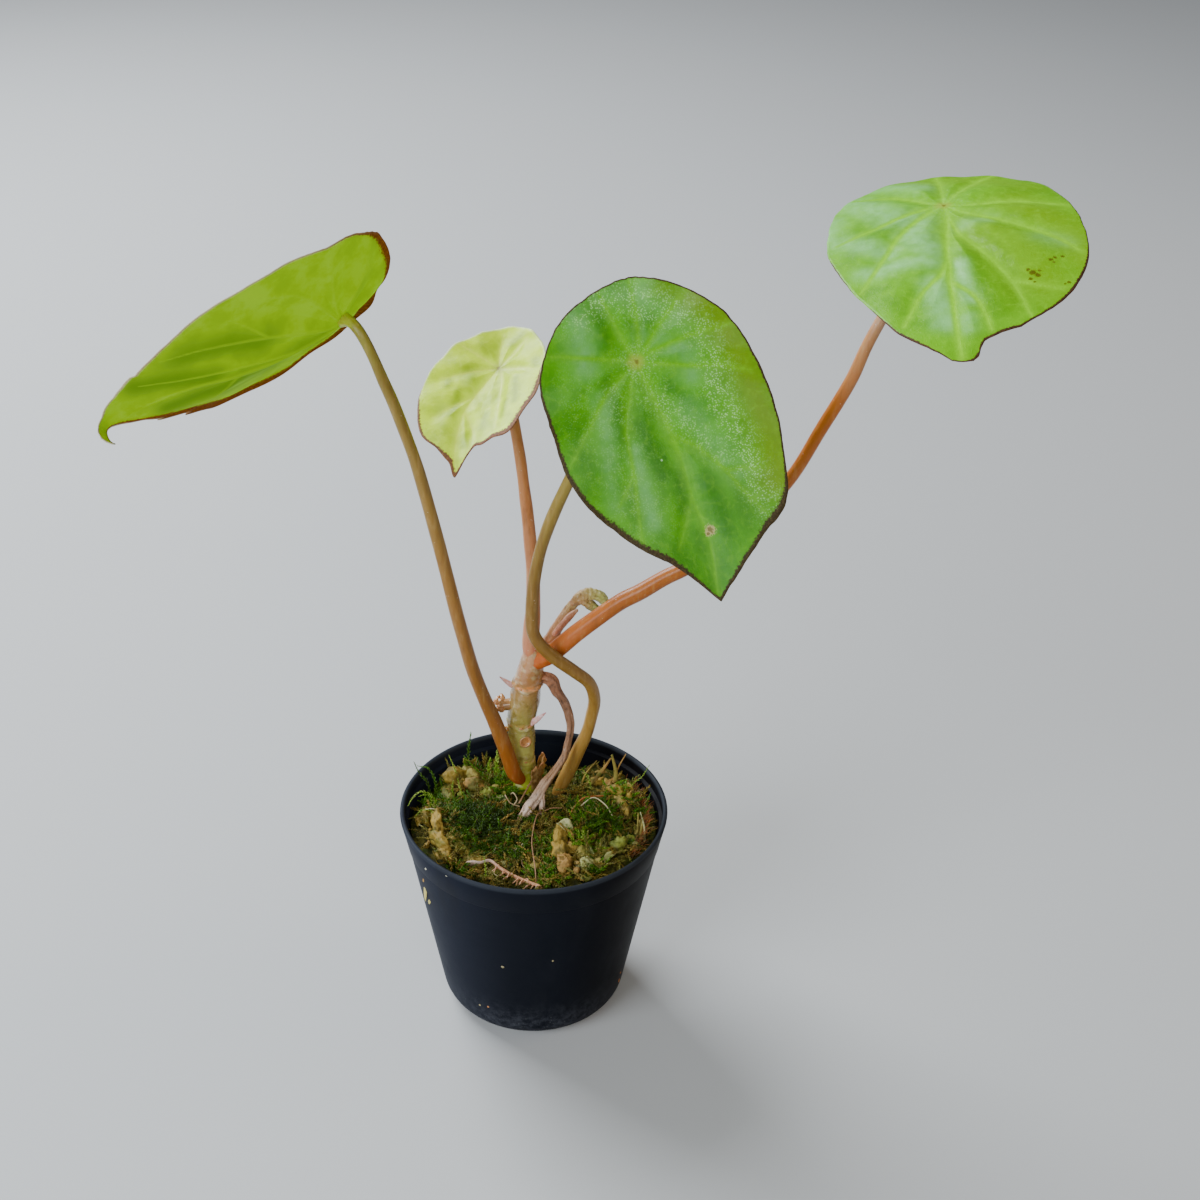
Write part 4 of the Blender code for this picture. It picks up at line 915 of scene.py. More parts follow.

# Leaves and tatters of dry moss placed one by one: x, y in mm, height over the ground in mm, length, width in
# mm, heading and pitch in degrees, how cupped, how curled, and tint.
TATTERS = [
    (-22.5, 27.5, 3.0, 6.5, 5.0, -85, 62, 0.5, 0.4, STRAW),
    (-12.5, 13.0, 1.5, 6.0, 2.0, -60, 18, 0.8, 0.9, CREAM),
    (-38.0, 4.0, -1.0, 10.0, 4.0, -95, 44, 0.9, 0.8, GOLDEN),
    (-33.0, -18.0, 1.0, 8.0, 2.6, -62, -8, 0.7, 0.5, TAN),
    (8.0, -8.0, 4.2, 6.4, 4.4, -32, 2, 0.9, 0.9, WHITISH),
    (8.5, -10.5, 3.4, 6.0, 2.4, -38, 0, 0.6, 0.4, TAN),
    (17.5, -18.0, 2.2, 8.0, 2.4, -78, 6, 0.8, 0.5, CREAM),
    (19.5, -24.5, 1.2, 5.6, 3.0, -60, 16, 0.7, 0.8, STRAW),
    (31.5, 15.5, 3.6, 6.5, 3.4, -70, -20, 0.9, 0.9, GOLDEN),
    (29.5, -14.0, 3.4, 9.5, 2.4, -128, -6, 0.9, 0.8, LIME),
    (26.5, -21.0, 1.0, 7.0, 2.6, -130, 12, 0.7, 0.6, CREAM),
    (24.0, 20.0, 0.5, 7.5, 2.2, 30, 26, 0.5, 0.4, PINKISH),
    (-8.0, 22.0, 0.2, 4.5, 2.0, 70, 50, 0.7, 0.5, PINKISH),
]

# Lumps of dead moss: middle x, y and lift, length, width, height in mm, heading and tint.
CHUNKS = [
    (-26.5, 21.5, 0.0, 10.0, 8.5, 6.5, 20, GOLDEN),
    (-22.0, 22.5, 0.6, 7.0, 6.0, 6.0, -50, STRAW),
    (-29.5, 15.5, 0.0, 8.0, 6.0, 4.5, -80, OLIVE),
    (-20.5, 17.5, 0.2, 8.0, 6.5, 5.0, -40, PINKISH),
    (-16.5, 14.0, 0.0, 5.5, 4.0, 3.4, -50, LIME),
    (-13.0, 11.0, 0.0, 4.5, 2.6, 2.6, -70, CREAM),
    (-36.5, 0.0, -1.0, 11.0, 4.5, 6.0, -80, GOLDEN),
    (-32.5, -5.0, 0.6, 13.0, 4.6, 5.6, -84, TAN),
    (-31.5, -14.0, 0.6, 13.0, 4.8, 5.4, -62, TAN),
    (-29.0, -20.0, 0.0, 7.0, 4.0, 3.6, -50, TAN),
    (-25.0, -14.0, -0.4, 10.0, 7.0, 4.0, -60, OLIVE),
    (-20.0, -21.0, -0.4, 9.0, 6.5, 3.6, -30, TAN),
    (-13.0, -27.0, -0.4, 8.0, 6.0, 3.4, -10, OLIVE),
    (-10.0, -22.0, 0.0, 4.0, 3.4, 3.0, 0, CREAM),
    (-4.0, -18.0, -0.2, 8.0, 6.0, 3.6, -40, OLIVE),
    (0.0, -24.0, -0.2, 6.5, 5.0, 3.2, 30, STRAW),
    (8.5, -12.5, 1.0, 11.0, 5.2, 5.2, -88, TAN),
    (8.5, -19.5, 1.2, 11.0, 6.0, 5.6, -84, TAN),
    (10.0, -26.0, 0.6, 8.0, 5.2, 4.8, -86, PINKISH),
    (12.5, -18.0, 0.2, 5.0, 4.5, 4.0, -60, TAN),
    (16.0, -21.0, 0.3, 7.0, 5.0, 4.2, -80, STRAW),
    (17.0, -26.5, 0.3, 5.5, 4.6, 4.0, -60, CREAM),
    (28.5, 13.0, 0.8, 8.0, 5.6, 5.0, -60, GOLDEN),
    (30.0, 6.0, 0.4, 11.0, 3.8, 3.6, -72, TAN),
    (22.0, 7.0, -0.4, 11.0, 8.0, 3.6, -20, OLIVE),
    (27.5, -1.0, -0.3, 9.0, 6.0, 3.2, -60, OLIVE),
    (28.0, -16.5, 0.4, 9.0, 5.2, 4.6, -128, LIME),
    (31.5, -12.5, 0.2, 7.0, 4.2, 4.4, -120, LIME),
    (23.5, -19.0, 0.0, 6.0, 4.6, 3.4, -70, OLIVE),
    (35.5, -5.0, 0.0, 9.0, 3.2, 4.6, -105, STRAW),
    (12.0, 26.0, -0.4, 8.0, 6.0, 4.0, 30, OLIVE),
    (21.0, 24.0, 0.0, 8.0, 4.0, 4.0, 20, TAN),
    (-9.0, 27.0, 0.0, 7.0, 5.0, 4.0, 0, OLIVE),
]

# Straws: foot x, y, z, tip x, y, z and radius in mm, and tint.
STRAWS = [
    (28.6, 22.0, 68.0, 26.9, 22.0, 81.7, 0.75, STRAW),
    (27.5, 21.6, 69.0, 31.8, 23.5, 81.2, 0.30, PINKISH),
    (19.6, 22.0, 69.0, 26.5, 23.0, 79.6, 0.65, PINKISH),
    (16.0, 21.0, 69.0, 21.8, 26.0, 76.5, 0.35, TAN),
    (33.0, -14.0, 68.0, 35.0, -3.0, 75.6, 0.50, STRAW),
    (35.5, -13.0, 68.0, 36.8, -4.0, 74.0, 0.55, STRAW),
    (37.0, -11.0, 69.0, 35.8, -2.0, 75.5, 0.35, WHITISH),
    (-30.0, -12.0, 68.0, -27.0, -24.0, 73.3, 0.45, TAN),
]

# How much dry moss is strewn.
STRAND_COUNT = 1050
STRAND_SEED = 77
STRAND_REACH = 0.0375
STRAND_TINTS = [GOLDEN, GOLDEN, TAN, 0.66, 0.70, 0.70, OLIVE]
CRUMB_COUNT = 150
CRUMB_SEED = 21
CHUNK_STANDING = 0.22
MOSS_LIMIT = 0.0385
LEAFLET_ROWS = 14
LEAFLET_COLUMNS = 9
LEAFLET_THICKNESS = 0.00012
LEAFLET_CRUMPLE = 0.16

# Places kept clear: x, y and reach, at the stem, the centre stalk and the dry root.
KEEP_CLEAR = [(-0.0035, 0.0198, 0.0062), (0.0085, 0.0200, 0.0040), (-0.0020, 0.0060, 0.0045)]

# Living moss. Patches are x, y and reach in mm, how many sprigs, their length in mm and their tint, where 0
# is dark green and 1 lime.
MOSS_PATCHES = [
    (-26.8, 2.5, 5.5, 60, 5.0, 0.18),
    (-20.0, 1.5, 6.0, 70, 5.5, 0.14),
    (-14.8, -3.0, 6.0, 70, 5.5, 0.10),
    (-21.0, -8.0, 6.0, 55, 5.0, 0.16),
    (-9.6, -13.8, 6.5, 60, 5.0, 0.22),
    (-4.6, -16.5, 6.0, 50, 5.0, 0.26),
    (-19.6, -13.8, 5.0, 30, 4.5, 0.22),
    (-11.0, 18.0, 4.0, 45, 6.0, 0.42),
    (-10.0, 8.0, 5.0, 34, 4.5, 0.26),
    (-32.0, 9.0, 4.0, 30, 4.5, 0.34),
    (-36.5, 8.5, 2.5, 16, 4.5, 0.45),
    (19.7, 2.4, 5.5, 55, 5.5, 0.36),
    (17.0, -5.0, 4.0, 34, 5.5, 0.46),
    (22.2, -5.9, 6.0, 60, 5.0, 0.24),
    (28.7, -11.3, 4.5, 36, 4.5, 0.24),
    (16.9, -16.5, 3.5, 26, 5.5, 0.58),
    (3.6, -29.4, 5.0, 44, 4.5, 0.40),
    (5.0, -14.0, 4.0, 26, 4.5, 0.34),
    (13.0, 4.0, 5.0, 34, 4.5, 0.22),
    (30.0, 12.0, 4.0, 26, 5.0, 0.40),
    (-32.5, 16.6, 4.0, 20, 4.5, 0.30),
    (-19.6, 25.3, 3.5, 24, 4.5, 0.30),
    (21.0, -29.0, 3.0, 14, 4.5, 0.40),
    (-24.0, -26.0, 4.0, 16, 4.0, 0.32),
    (0.0, 2.0, 5.0, 24, 4.0, 0.24),
    (14.0, 28.0, 6.0, 26, 4.5, 0.28),
    (-6.0, 30.0, 6.0, 26, 4.5, 0.28),
    (35.0, 3.0, 4.0, 16, 4.5, 0.30),
]

# Sprigs placed one by one: points in mm from foot to tip, leaf length in mm, tint.
MOSS_SPRIGS = [
    ([(-35.5, 6.0, 70.0), (-35.0, 6.0, 76.5), (-38.0, 5.0, 79.0), (-40.5, 3.0, 78.5),
       (-42.2, -0.5, 77.4)], 0.95, 0.92),
    ([(-33.0, 5.0, 71.0), (-34.0, 5.0, 76.5), (-36.8, 4.0, 78.5), (-38.6, 2.6, 78.8)], 0.90, 0.80),
    ([(-35.5, 14.0, 69.0), (-36.5, 14.0, 76.0), (-39.5, 14.5, 80.5), (-40.8, 14.8, 84.0)], 1.20, 0.30),
    ([(-24.0, 12.0, 70.0), (-25.5, 12.0, 76.0), (-26.0, 11.0, 80.0)], 0.90, 0.92),
    ([(-27.5, 13.0, 70.0), (-28.0, 12.0, 76.0), (-27.5, 11.0, 79.0)], 0.90, 0.90),
    ([(13.0, 2.0, 70.0), (14.5, 1.0, 76.0), (15.0, -1.0, 79.0)], 1.34, 0.60),
    ([(18.0, -8.0, 70.0), (17.0, -10.0, 75.0), (16.0, -13.0, 76.5)], 1.34, 0.66),
    ([(-13.0, 20.0, 70.0), (-16.0, 20.0, 74.0), (-20.0, 21.0, 76.5), (-24.0, 23.5, 80.0)], 1.00, 0.50),
    ([(-22.3, 25.0, 68.5), (-22.9, 25.0, 77.0), (-22.5, 24.8, 84.0), (-21.8, 25.0, 89.0)], 1.51, 0.36),
    ([(-22.0, 24.5, 68.5), (-23.6, 24.5, 74.0), (-24.2, 24.3, 79.5)], 1.34, 0.46),
    ([(-26.0, 20.0, 69.0), (-27.0, 20.0, 76.0), (-29.2, 20.0, 83.2)], 0.95, 0.95),
    ([(-34.5, 12.0, 69.0), (-33.6, 12.0, 77.0), (-35.8, 12.0, 83.4), (-39.3, 12.0, 84.6)], 1.23, 0.38),
    ([(-33.5, -2.0, 70.0), (-34.2, -2.0, 76.0), (-37.6, -2.0, 76.5), (-40.0, -2.5, 74.0)], 0.84, 0.95),
    ([(-13.6, 24.0, 69.0), (-13.0, 24.0, 76.0), (-12.8, 24.0, 82.4)], 1.51, 0.82),
    ([(-15.0, 23.6, 69.0), (-15.8, 23.4, 75.0), (-15.2, 23.4, 79.6)], 1.46, 0.76),
    ([(-11.0, 22.0, 69.0), (-10.2, 22.0, 74.0), (-10.4, 21.8, 78.0)], 1.34, 0.66),
    ([(-15.8, -30.0, 68.0), (-15.6, -30.6, 74.0), (-16.0, -31.0, 79.8)], 0.90, 0.95),
    ([(20.2, 20.0, 68.0), (18.6, 20.0, 74.0), (16.6, 20.0, 77.4)], 0.95, 0.95),
    ([(23.0, 4.0, 68.0), (24.6, 3.0, 74.0), (25.4, 1.0, 78.6)], 1.34, 0.56),
    ([(20.0, -10.0, 68.0), (21.8, -11.0, 73.0), (22.2, -13.0, 76.6)], 1.34, 0.61),
    ([(30.0, 14.0, 69.0), (34.0, 14.0, 75.5), (37.0, 14.0, 78.6), (39.4, 14.0, 83.4)], 0.78, 0.95),
    ([(25.0, 14.0, 69.0), (28.0, 14.0, 75.0), (31.0, 13.4, 77.6)], 1.34, 0.58),
    ([(16.0, 6.0, 69.0), (15.0, 5.0, 74.0), (14.8, 4.0, 78.0)], 1.23, 0.68),
    ([(13.5, -1.0, 69.0), (13.2, -2.5, 74.0), (12.0, -3.6, 76.6)], 1.23, 0.64),
    ([(16.5, -14.0, 69.0), (16.4, -15.0, 74.0), (16.0, -16.2, 78.0)], 1.34, 0.88),
    ([(20.5, -22.5, 69.0), (22.0, -24.5, 72.0), (22.8, -26.6, 73.6)], 1.23, 0.82),
]

# How dense the green moss is, and how many loose fibres there are.
PATCH_FULLNESS = 1.15
LEAF_SPACING = 0.00034
MOSS_SEED = 5
MOSS_LEAF_LENGTH = (0.0010, 0.0016)
MOSS_LEAF_WIDTH = 0.38
FIBRE_SEED = 9
FRINGE_HAIRS = 260
FRINGE_ANGLES = (-34.0, 30.0)
FRINGE_RADII = (0.0355, 0.0385)
FRINGE_HEIGHT = 0.0700
STRAY_FIBRES = 16
STRAY_REACH = 0.035
STRAY_STEPS = 4

# Single fibres: points in mm, radius in mm and tint.
FIBRE_LINES = [
    ([(2.9, 3.0, 72.0), (1.3, -0.5, 73.6), (0.3, -4.2, 73.2), (-0.7, -13.8, 72.4), (0.4, -26.8, 71.8),
       (0.7, -33.4, 71.6)], 0.22, 0.55),
    ([(2.9, 3.0, 72.0), (6.0, 3.6, 73.0), (9.5, 4.2, 72.6)], 0.20, 0.55),
    ([(12.2, 1.1, 72.6), (14.5, 4.2, 74.2), (17.1, 7.2, 74.6), (20.5, 8.6, 74.2),
       (25.0, 10.0, 73.4)], 0.30, 0.05),
    ([(-8.0, 13.5, 71.5), (-7.0, 10.5, 74.2), (-5.8, 8.5, 73.0), (-7.4, 6.5, 71.4)], 0.22, 0.75),
    ([(-9.6, 12.6, 71.2), (-9.8, 9.4, 74.0), (-8.0, 7.0, 72.6), (-5.0, 6.4, 71.6)], 0.20, 0.7),
    ([(-1.0, 14.0, 76.5), (-3.2, 10.0, 74.6), (-5.0, 6.6, 73.0)], 0.28, 0.5),
    ([(-36.6, 1.0, 74.6), (-34.6, 0.0, 75.6), (-32.4, 0.6, 74.8)], 0.16, 0.95),
    ([(16.0, 3.0, 74.6), (20.0, 4.2, 77.0), (24.0, 2.2, 75.6), (26.4, -1.4, 73.6)], 0.18, 0.9),
]

# Colours of the other looks: places on a ramp from 0 to 1, and the colour there.
RAMPS = {
    "crumbs": [
        (0.0, (0.42, 0.30, 0.06)),
        (0.35, (0.50, 0.16, 0.03)),
        (0.65, (0.30, 0.25, 0.12)),
        (0.78, (0.62, 0.52, 0.14)),
        (0.95, (0.7, 0.7, 0.62)),
    ],
    "stem": [
        (0.0, (0.26, 0.30, 0.010)),
        (0.12, (0.36, 0.40, 0.040)),
        (0.22, (0.46, 0.43, 0.100)),
        (0.36, (0.40, 0.36, 0.090)),
        (0.50, (0.32, 0.26, 0.060)),
        (0.62, (0.34, 0.22, 0.070)),
        (0.76, (0.34, 0.15, 0.045)),
        (0.88, (0.42, 0.20, 0.080)),
        (1.0, (0.46, 0.20, 0.080)),
    ],
    "dry_root": [
        (0.0, (0.36, 0.12, 0.04)),
        (0.18, (0.21, 0.095, 0.048)),
        (0.45, (0.24, 0.115, 0.055)),
        (0.70, (0.30, 0.155, 0.068)),
        # The pale stop near the foot is a painted highlight.
        (0.88, (0.50, 0.36, 0.27)),
        (1.0, (0.46, 0.19, 0.06)),
    ],
    "surface_root": [
        (0.0, (0.36, 0.22, 0.15)),
        (0.20, (0.26, 0.19, 0.16)),
        (0.40, (0.30, 0.13, 0.06)),
        (1.0, (0.46, 0.19, 0.07)),
    ],
    "scale": [
        (0.0, (0.52, 0.17, 0.09)),
        (0.5, (0.62, 0.30, 0.26)),
        (1.0, (0.42, 0.13, 0.13)),
    ],
    "peat": [
        (0.30, (0.006, 0.005, 0.001)),
        (0.46, (0.034, 0.032, 0.003)),
        (0.60, (0.095, 0.080, 0.010)),
        (0.76, (0.22, 0.17, 0.030)),
    ],
    "dry_moss": [
        (0.02, (0.23, 0.150, 0.014)),
        (0.14, (0.28, 0.185, 0.022)),
        (0.27, (0.38, 0.245, 0.042)),
        (0.42, (0.38, 0.205, 0.055)),
        (0.57, (0.36, 0.285, 0.065)),
        (0.70, (0.125, 0.105, 0.007)),
        (0.84, (0.25, 0.28, 0.036)),
        (0.95, (0.52, 0.50, 0.24)),
    ],
    "moss": [
        (0.0, (0.011, 0.026, 0.0)),
        (0.25, (0.036, 0.072, 0.0)),
        (0.50, (0.070, 0.190, 0.003)),
        (0.75, (0.190, 0.330, 0.012)),
        (1.0, (0.46, 0.56, 0.10)),
    ],
    "fibres": [
        (0.0, (0.38, 0.10, 0.015)),
        (0.25, (0.17, 0.065, 0.015)),
        (0.6, (0.22, 0.11, 0.050)),
        (1.0, (0.56, 0.52, 0.30)),
    ],
    "shoot_stalk": [
        (0.0, (0.46, 0.13, 0.04)),
        (0.4, (0.36, 0.15, 0.05)),
        (0.8, (0.32, 0.15, 0.045)),
        (1.0, (0.36, 0.24, 0.08)),
    ],
    "shoot_leaf": [
        (0.0, (0.34, 0.15, 0.05)),
        (0.40, (0.34, 0.22, 0.06)),
        (0.70, (0.32, 0.32, 0.07)),
        (1.0, (0.52, 0.60, 0.22)),
    ],
    "shoot_stipule": [
        (0.0, (0.44, 0.14, 0.06)),
        (0.6, (0.36, 0.13, 0.06)),
        (1.0, (0.30, 0.12, 0.04)),
    ],
}

# Soft lights: where each stands, what it faces, its width and height, power in watts and colour.
LIGHTS = {
    "window": ((-0.75, 0.85, 1.05), (0.0, 0.0, 0.18), 0.9, 0.9, 44.0, (0.88, 0.94, 1.0)),
    "fill": ((-1.0, -0.95, 0.75), (0.0, 0.0, 0.16), 0.9, 0.9, 28.0, (0.84, 0.92, 1.0)),
    "front": ((0.1, -1.25, 0.9), (0.0, 0.0, 0.18), 0.8, 0.5, 7.0, (1.0, 0.98, 0.95)),
    "warm_side": ((1.1, 0.1, 0.5), (0.0, 0.0, 0.16), 0.6, 0.6, 2.5, (1.0, 0.80, 0.60)),
}
WORLD_COLOUR = (0.92, 0.95, 1.0)
WORLD_STRENGTH = 0.18
FLOOR_COLOUR = (0.44, 0.44, 0.435)
FLOOR_SIZE = 12.0


class Shape:
    """Points and faces gathered for one piece, with named numbers for each point."""

    def __init__(self):
        self.points = []
        self.faces = []
        self.marks = {}
        self.count = 0

    def add(self, points, faces, **marks):
        """Adds a part. Each mark is one number for the whole part, or one for each of its points."""
        points = np.asarray(points, float).reshape(-1, 3)
        number = len(points)
        for name, value in marks.items():
            self.marks.setdefault(name, [])
            self.marks[name].append((self.count, np.broadcast_to(np.asarray(value, float), (number,))))
        self.points.append(points)
        self.faces += [[index + self.count for index in face] for face in faces]
        self.count += number

    def piece(self, name, look, slot, replaced=()):
        """Makes the object, rides it on the body and hides the solids that it stands for."""
        mesh = bpy.data.meshes.new(name)
        mesh.from_pydata(np.concatenate(self.points).tolist(), [], self.faces)
        for mark, parts in self.marks.items():
            values = np.zeros(self.count)
            for start, part in parts:
                values[start : start + len(part)] = part
            mesh.attributes.new(mark, "FLOAT", "POINT").data.foreach_set("value", values)
        mesh.shade_smooth()
        mesh.materials.append(look)
        thing = bpy.data.objects.new(name, mesh)
        bpy.context.scene.collection.objects.link(thing)
        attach(thing, "root")
        if replaced:
            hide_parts(*replaced)


def smooth_through(places, values, at):
    """The rows that a smooth curve through the given rows has at other places."""
    slopes = np.empty_like(values)
    slopes[1:-1] = (values[2:] - values[:-2]) / (places[2:] - places[:-2])[:, None]
    slopes[0] = (values[1] - values[0]) / (places[1] - places[0])
    slopes[-1] = (values[-1] - values[-2]) / (places[-1] - places[-2])
    piece = np.clip(np.searchsorted(places, at, side="right") - 1, 0, len(places) - 2)
    span = (places[piece + 1] - places[piece])[..., None]
    t = (at - places[piece])[..., None] / span
    return (
        values[piece] * (2 * t**3 - 3 * t**2 + 1)
        + slopes[piece] * span * (t**3 - 2 * t**2 + t)
        + values[piece + 1] * (-2 * t**3 + 3 * t**2)
        + slopes[piece + 1] * span * (t**3 - t**2)
    )


def smooth_route(points, count):
    """Evenly spaced places on a smooth curve through the points, each with its radius."""
    points = np.array(points, float)
    steps = np.linalg.norm(np.diff(points[:, :3], axis=0), axis=1)
    lengths = np.concatenate([[0.0], np.cumsum(steps)])
    return smooth_through(lengths, points, np.linspace(0.0, lengths[-1], count + 1))


def unit(vectors):
    """Vectors made one long."""
    return vectors / np.maximum(np.linalg.norm(vectors, axis=-1, keepdims=True), 1e-12)


def crossways(middle):
    """Two unit ways across a route at each place, which turn as little as they can."""
    tangent = unit(np.gradient(middle, axis=0))
    helper = np.array([0.0, 1.0, 0.0]) if abs(tangent[0][1]) < 0.9 else np.array([1.0, 0.0, 0.0])
    side = np.empty_like(middle)
    before = unit(helper - tangent[0] * helper.dot(tangent[0]))
    for index, way in enumerate(tangent):
        before = unit(before - way * before.dot(way))
        side[index] = before
    return tangent, side, np.cross(tangent, side)


def leaning(heading, lean):
    """The unit way with this heading round +Z and this lean away from it, in radians."""
    return np.array([math.cos(heading) * math.sin(lean), math.sin(heading) * math.sin(lean), math.cos(lean)])


def grid_faces(rows, columns, closed=True):
    """Quads between the rows of a grid of points; closed rows are rings."""
    row = np.arange(rows - 1)[:, None] * columns
    column = np.arange(columns if closed else columns - 1)[None, :]
    after = (column + 1) % columns
    quads = [row + column, row + after, row + columns + after, row + columns + column]
    return np.stack(quads, axis=-1).reshape(-1, 4).tolist()


def end_fans(rows, sides):
    """Triangles that close the first and last ring of a grid, round two middle points kept after it."""
    faces = []
    for index in range(sides):
        after = (index + 1) % sides
        faces.append([rows * sides, after, index])
        faces.append([rows * sides + 1, (rows - 1) * sides + index, (rows - 1) * sides + after])
    return faces


def closed_sheet(grid, thickness):
    """Points and faces of a thin sheet with this grid as its middle, closed all round."""
    rows, columns = grid.shape[:2]
    normals = unit(np.cross(np.gradient(grid, axis=0), np.gradient(grid, axis=1)))
    top = (grid + normals * thickness / 2).reshape(-1, 3)
    bottom = (grid - normals * thickness / 2).reshape(-1, 3)
    count = rows * columns
    faces = []
    for a, b, c, d in grid_faces(rows, columns, closed=False):
        faces.append([a, d, c, b])
        faces.append([a + count, b + count, c + count, d + count])
    border = [(0, j) for j in range(columns)] + [(i, columns - 1) for i in range(1, rows)]
    border += [(rows - 1, j) for j in range(columns - 2, -1, -1)] + [(i, 0) for i in range(rows - 2, 0, -1)]
    loop = [i * columns + j for i, j in border]
    for one, two in zip(loop, loop[1:] + loop[:1]):
        faces.append([one, two, two + count, one + count])
    return np.concatenate([top, bottom]), faces


def cap_ring(place, way, turn):
    """One ring of a round cap: its middle and its radius."""
    return [*(place[:3] + way * place[3] * math.sin(turn)), place[3] * max(math.cos(turn), CAP_HOLE)]


def domed(route, steps=4):
    """The route with its ends drawn in to round caps."""
    angles = [math.pi / 2 * step / steps for step in range(1, steps + 1)]
    route = np.array(route, float)
    first, last = route[0].copy(), route[-1].copy()
    back = unit(route[0, :3] - route[1, :3])
    ahead = unit(route[-1, :3] - route[-2, :3])
    start = [cap_ring(first, back, turn) for turn in angles]
    end = [cap_ring(last, ahead, turn) for turn in angles]
    return np.concatenate([start[::-1], route, end])


def tube(route, sides, relief=None, last_way=None):
    """Points and faces of a closed tube. relief(along, angle) is what its radius is multiplied by.
    last_way turns the last ring square to that way."""
    middle, radius = route[:, :3], route[:, 3]
    side, other = crossways(middle)[1:]
    if last_way is not None:
        side[-1] = unit(side[-1] - last_way * side[-1].dot(last_way))
        other[-1] = np.cross(last_way, side[-1])
    angle = np.linspace(0.0, 2 * math.pi, sides, endpoint=False)
    along = np.linspace(0.0, 1.0, len(route))
    ring = np.cos(angle)[None, :, None] * side[:, None] + np.sin(angle)[None, :, None] * other[:, None]
    size = radius[:, None] * np.ones(sides)[None, :]
    if relief is not None:
        size = size * relief(along[:, None], angle[None, :])
    points = middle[:, None] + size[..., None] * ring
    points = np.concatenate([points.reshape(-1, 3), middle[:1], middle[-1:]])
    return points, grid_faces(len(route), sides) + end_fans(len(route), sides)


def tube_along(route, sides):
    """For each point of such a tube, how far along it lies, from 0 to 1."""
    along = np.repeat(np.linspace(0.0, 1.0, len(route)), sides)
    return np.concatenate([along, [0.0, 1.0]])


def wobble(points, size, seed=0.0):
    """A smooth random number from -1 to 1 for each point."""
    shift = Vector((seed, seed * 0.7, -seed))
    return np.array([noise.noise(Vector(point) / size + shift) for point in points])


def rough(points, size, octaves=3, seed=0.0):
    """Layered smooth noise for each point."""
    total = np.zeros(len(points))
    for octave in range(octaves):
        total += wobble(points, size / 2**octave, seed + 3.1 * octave) / 2**octave
    return total


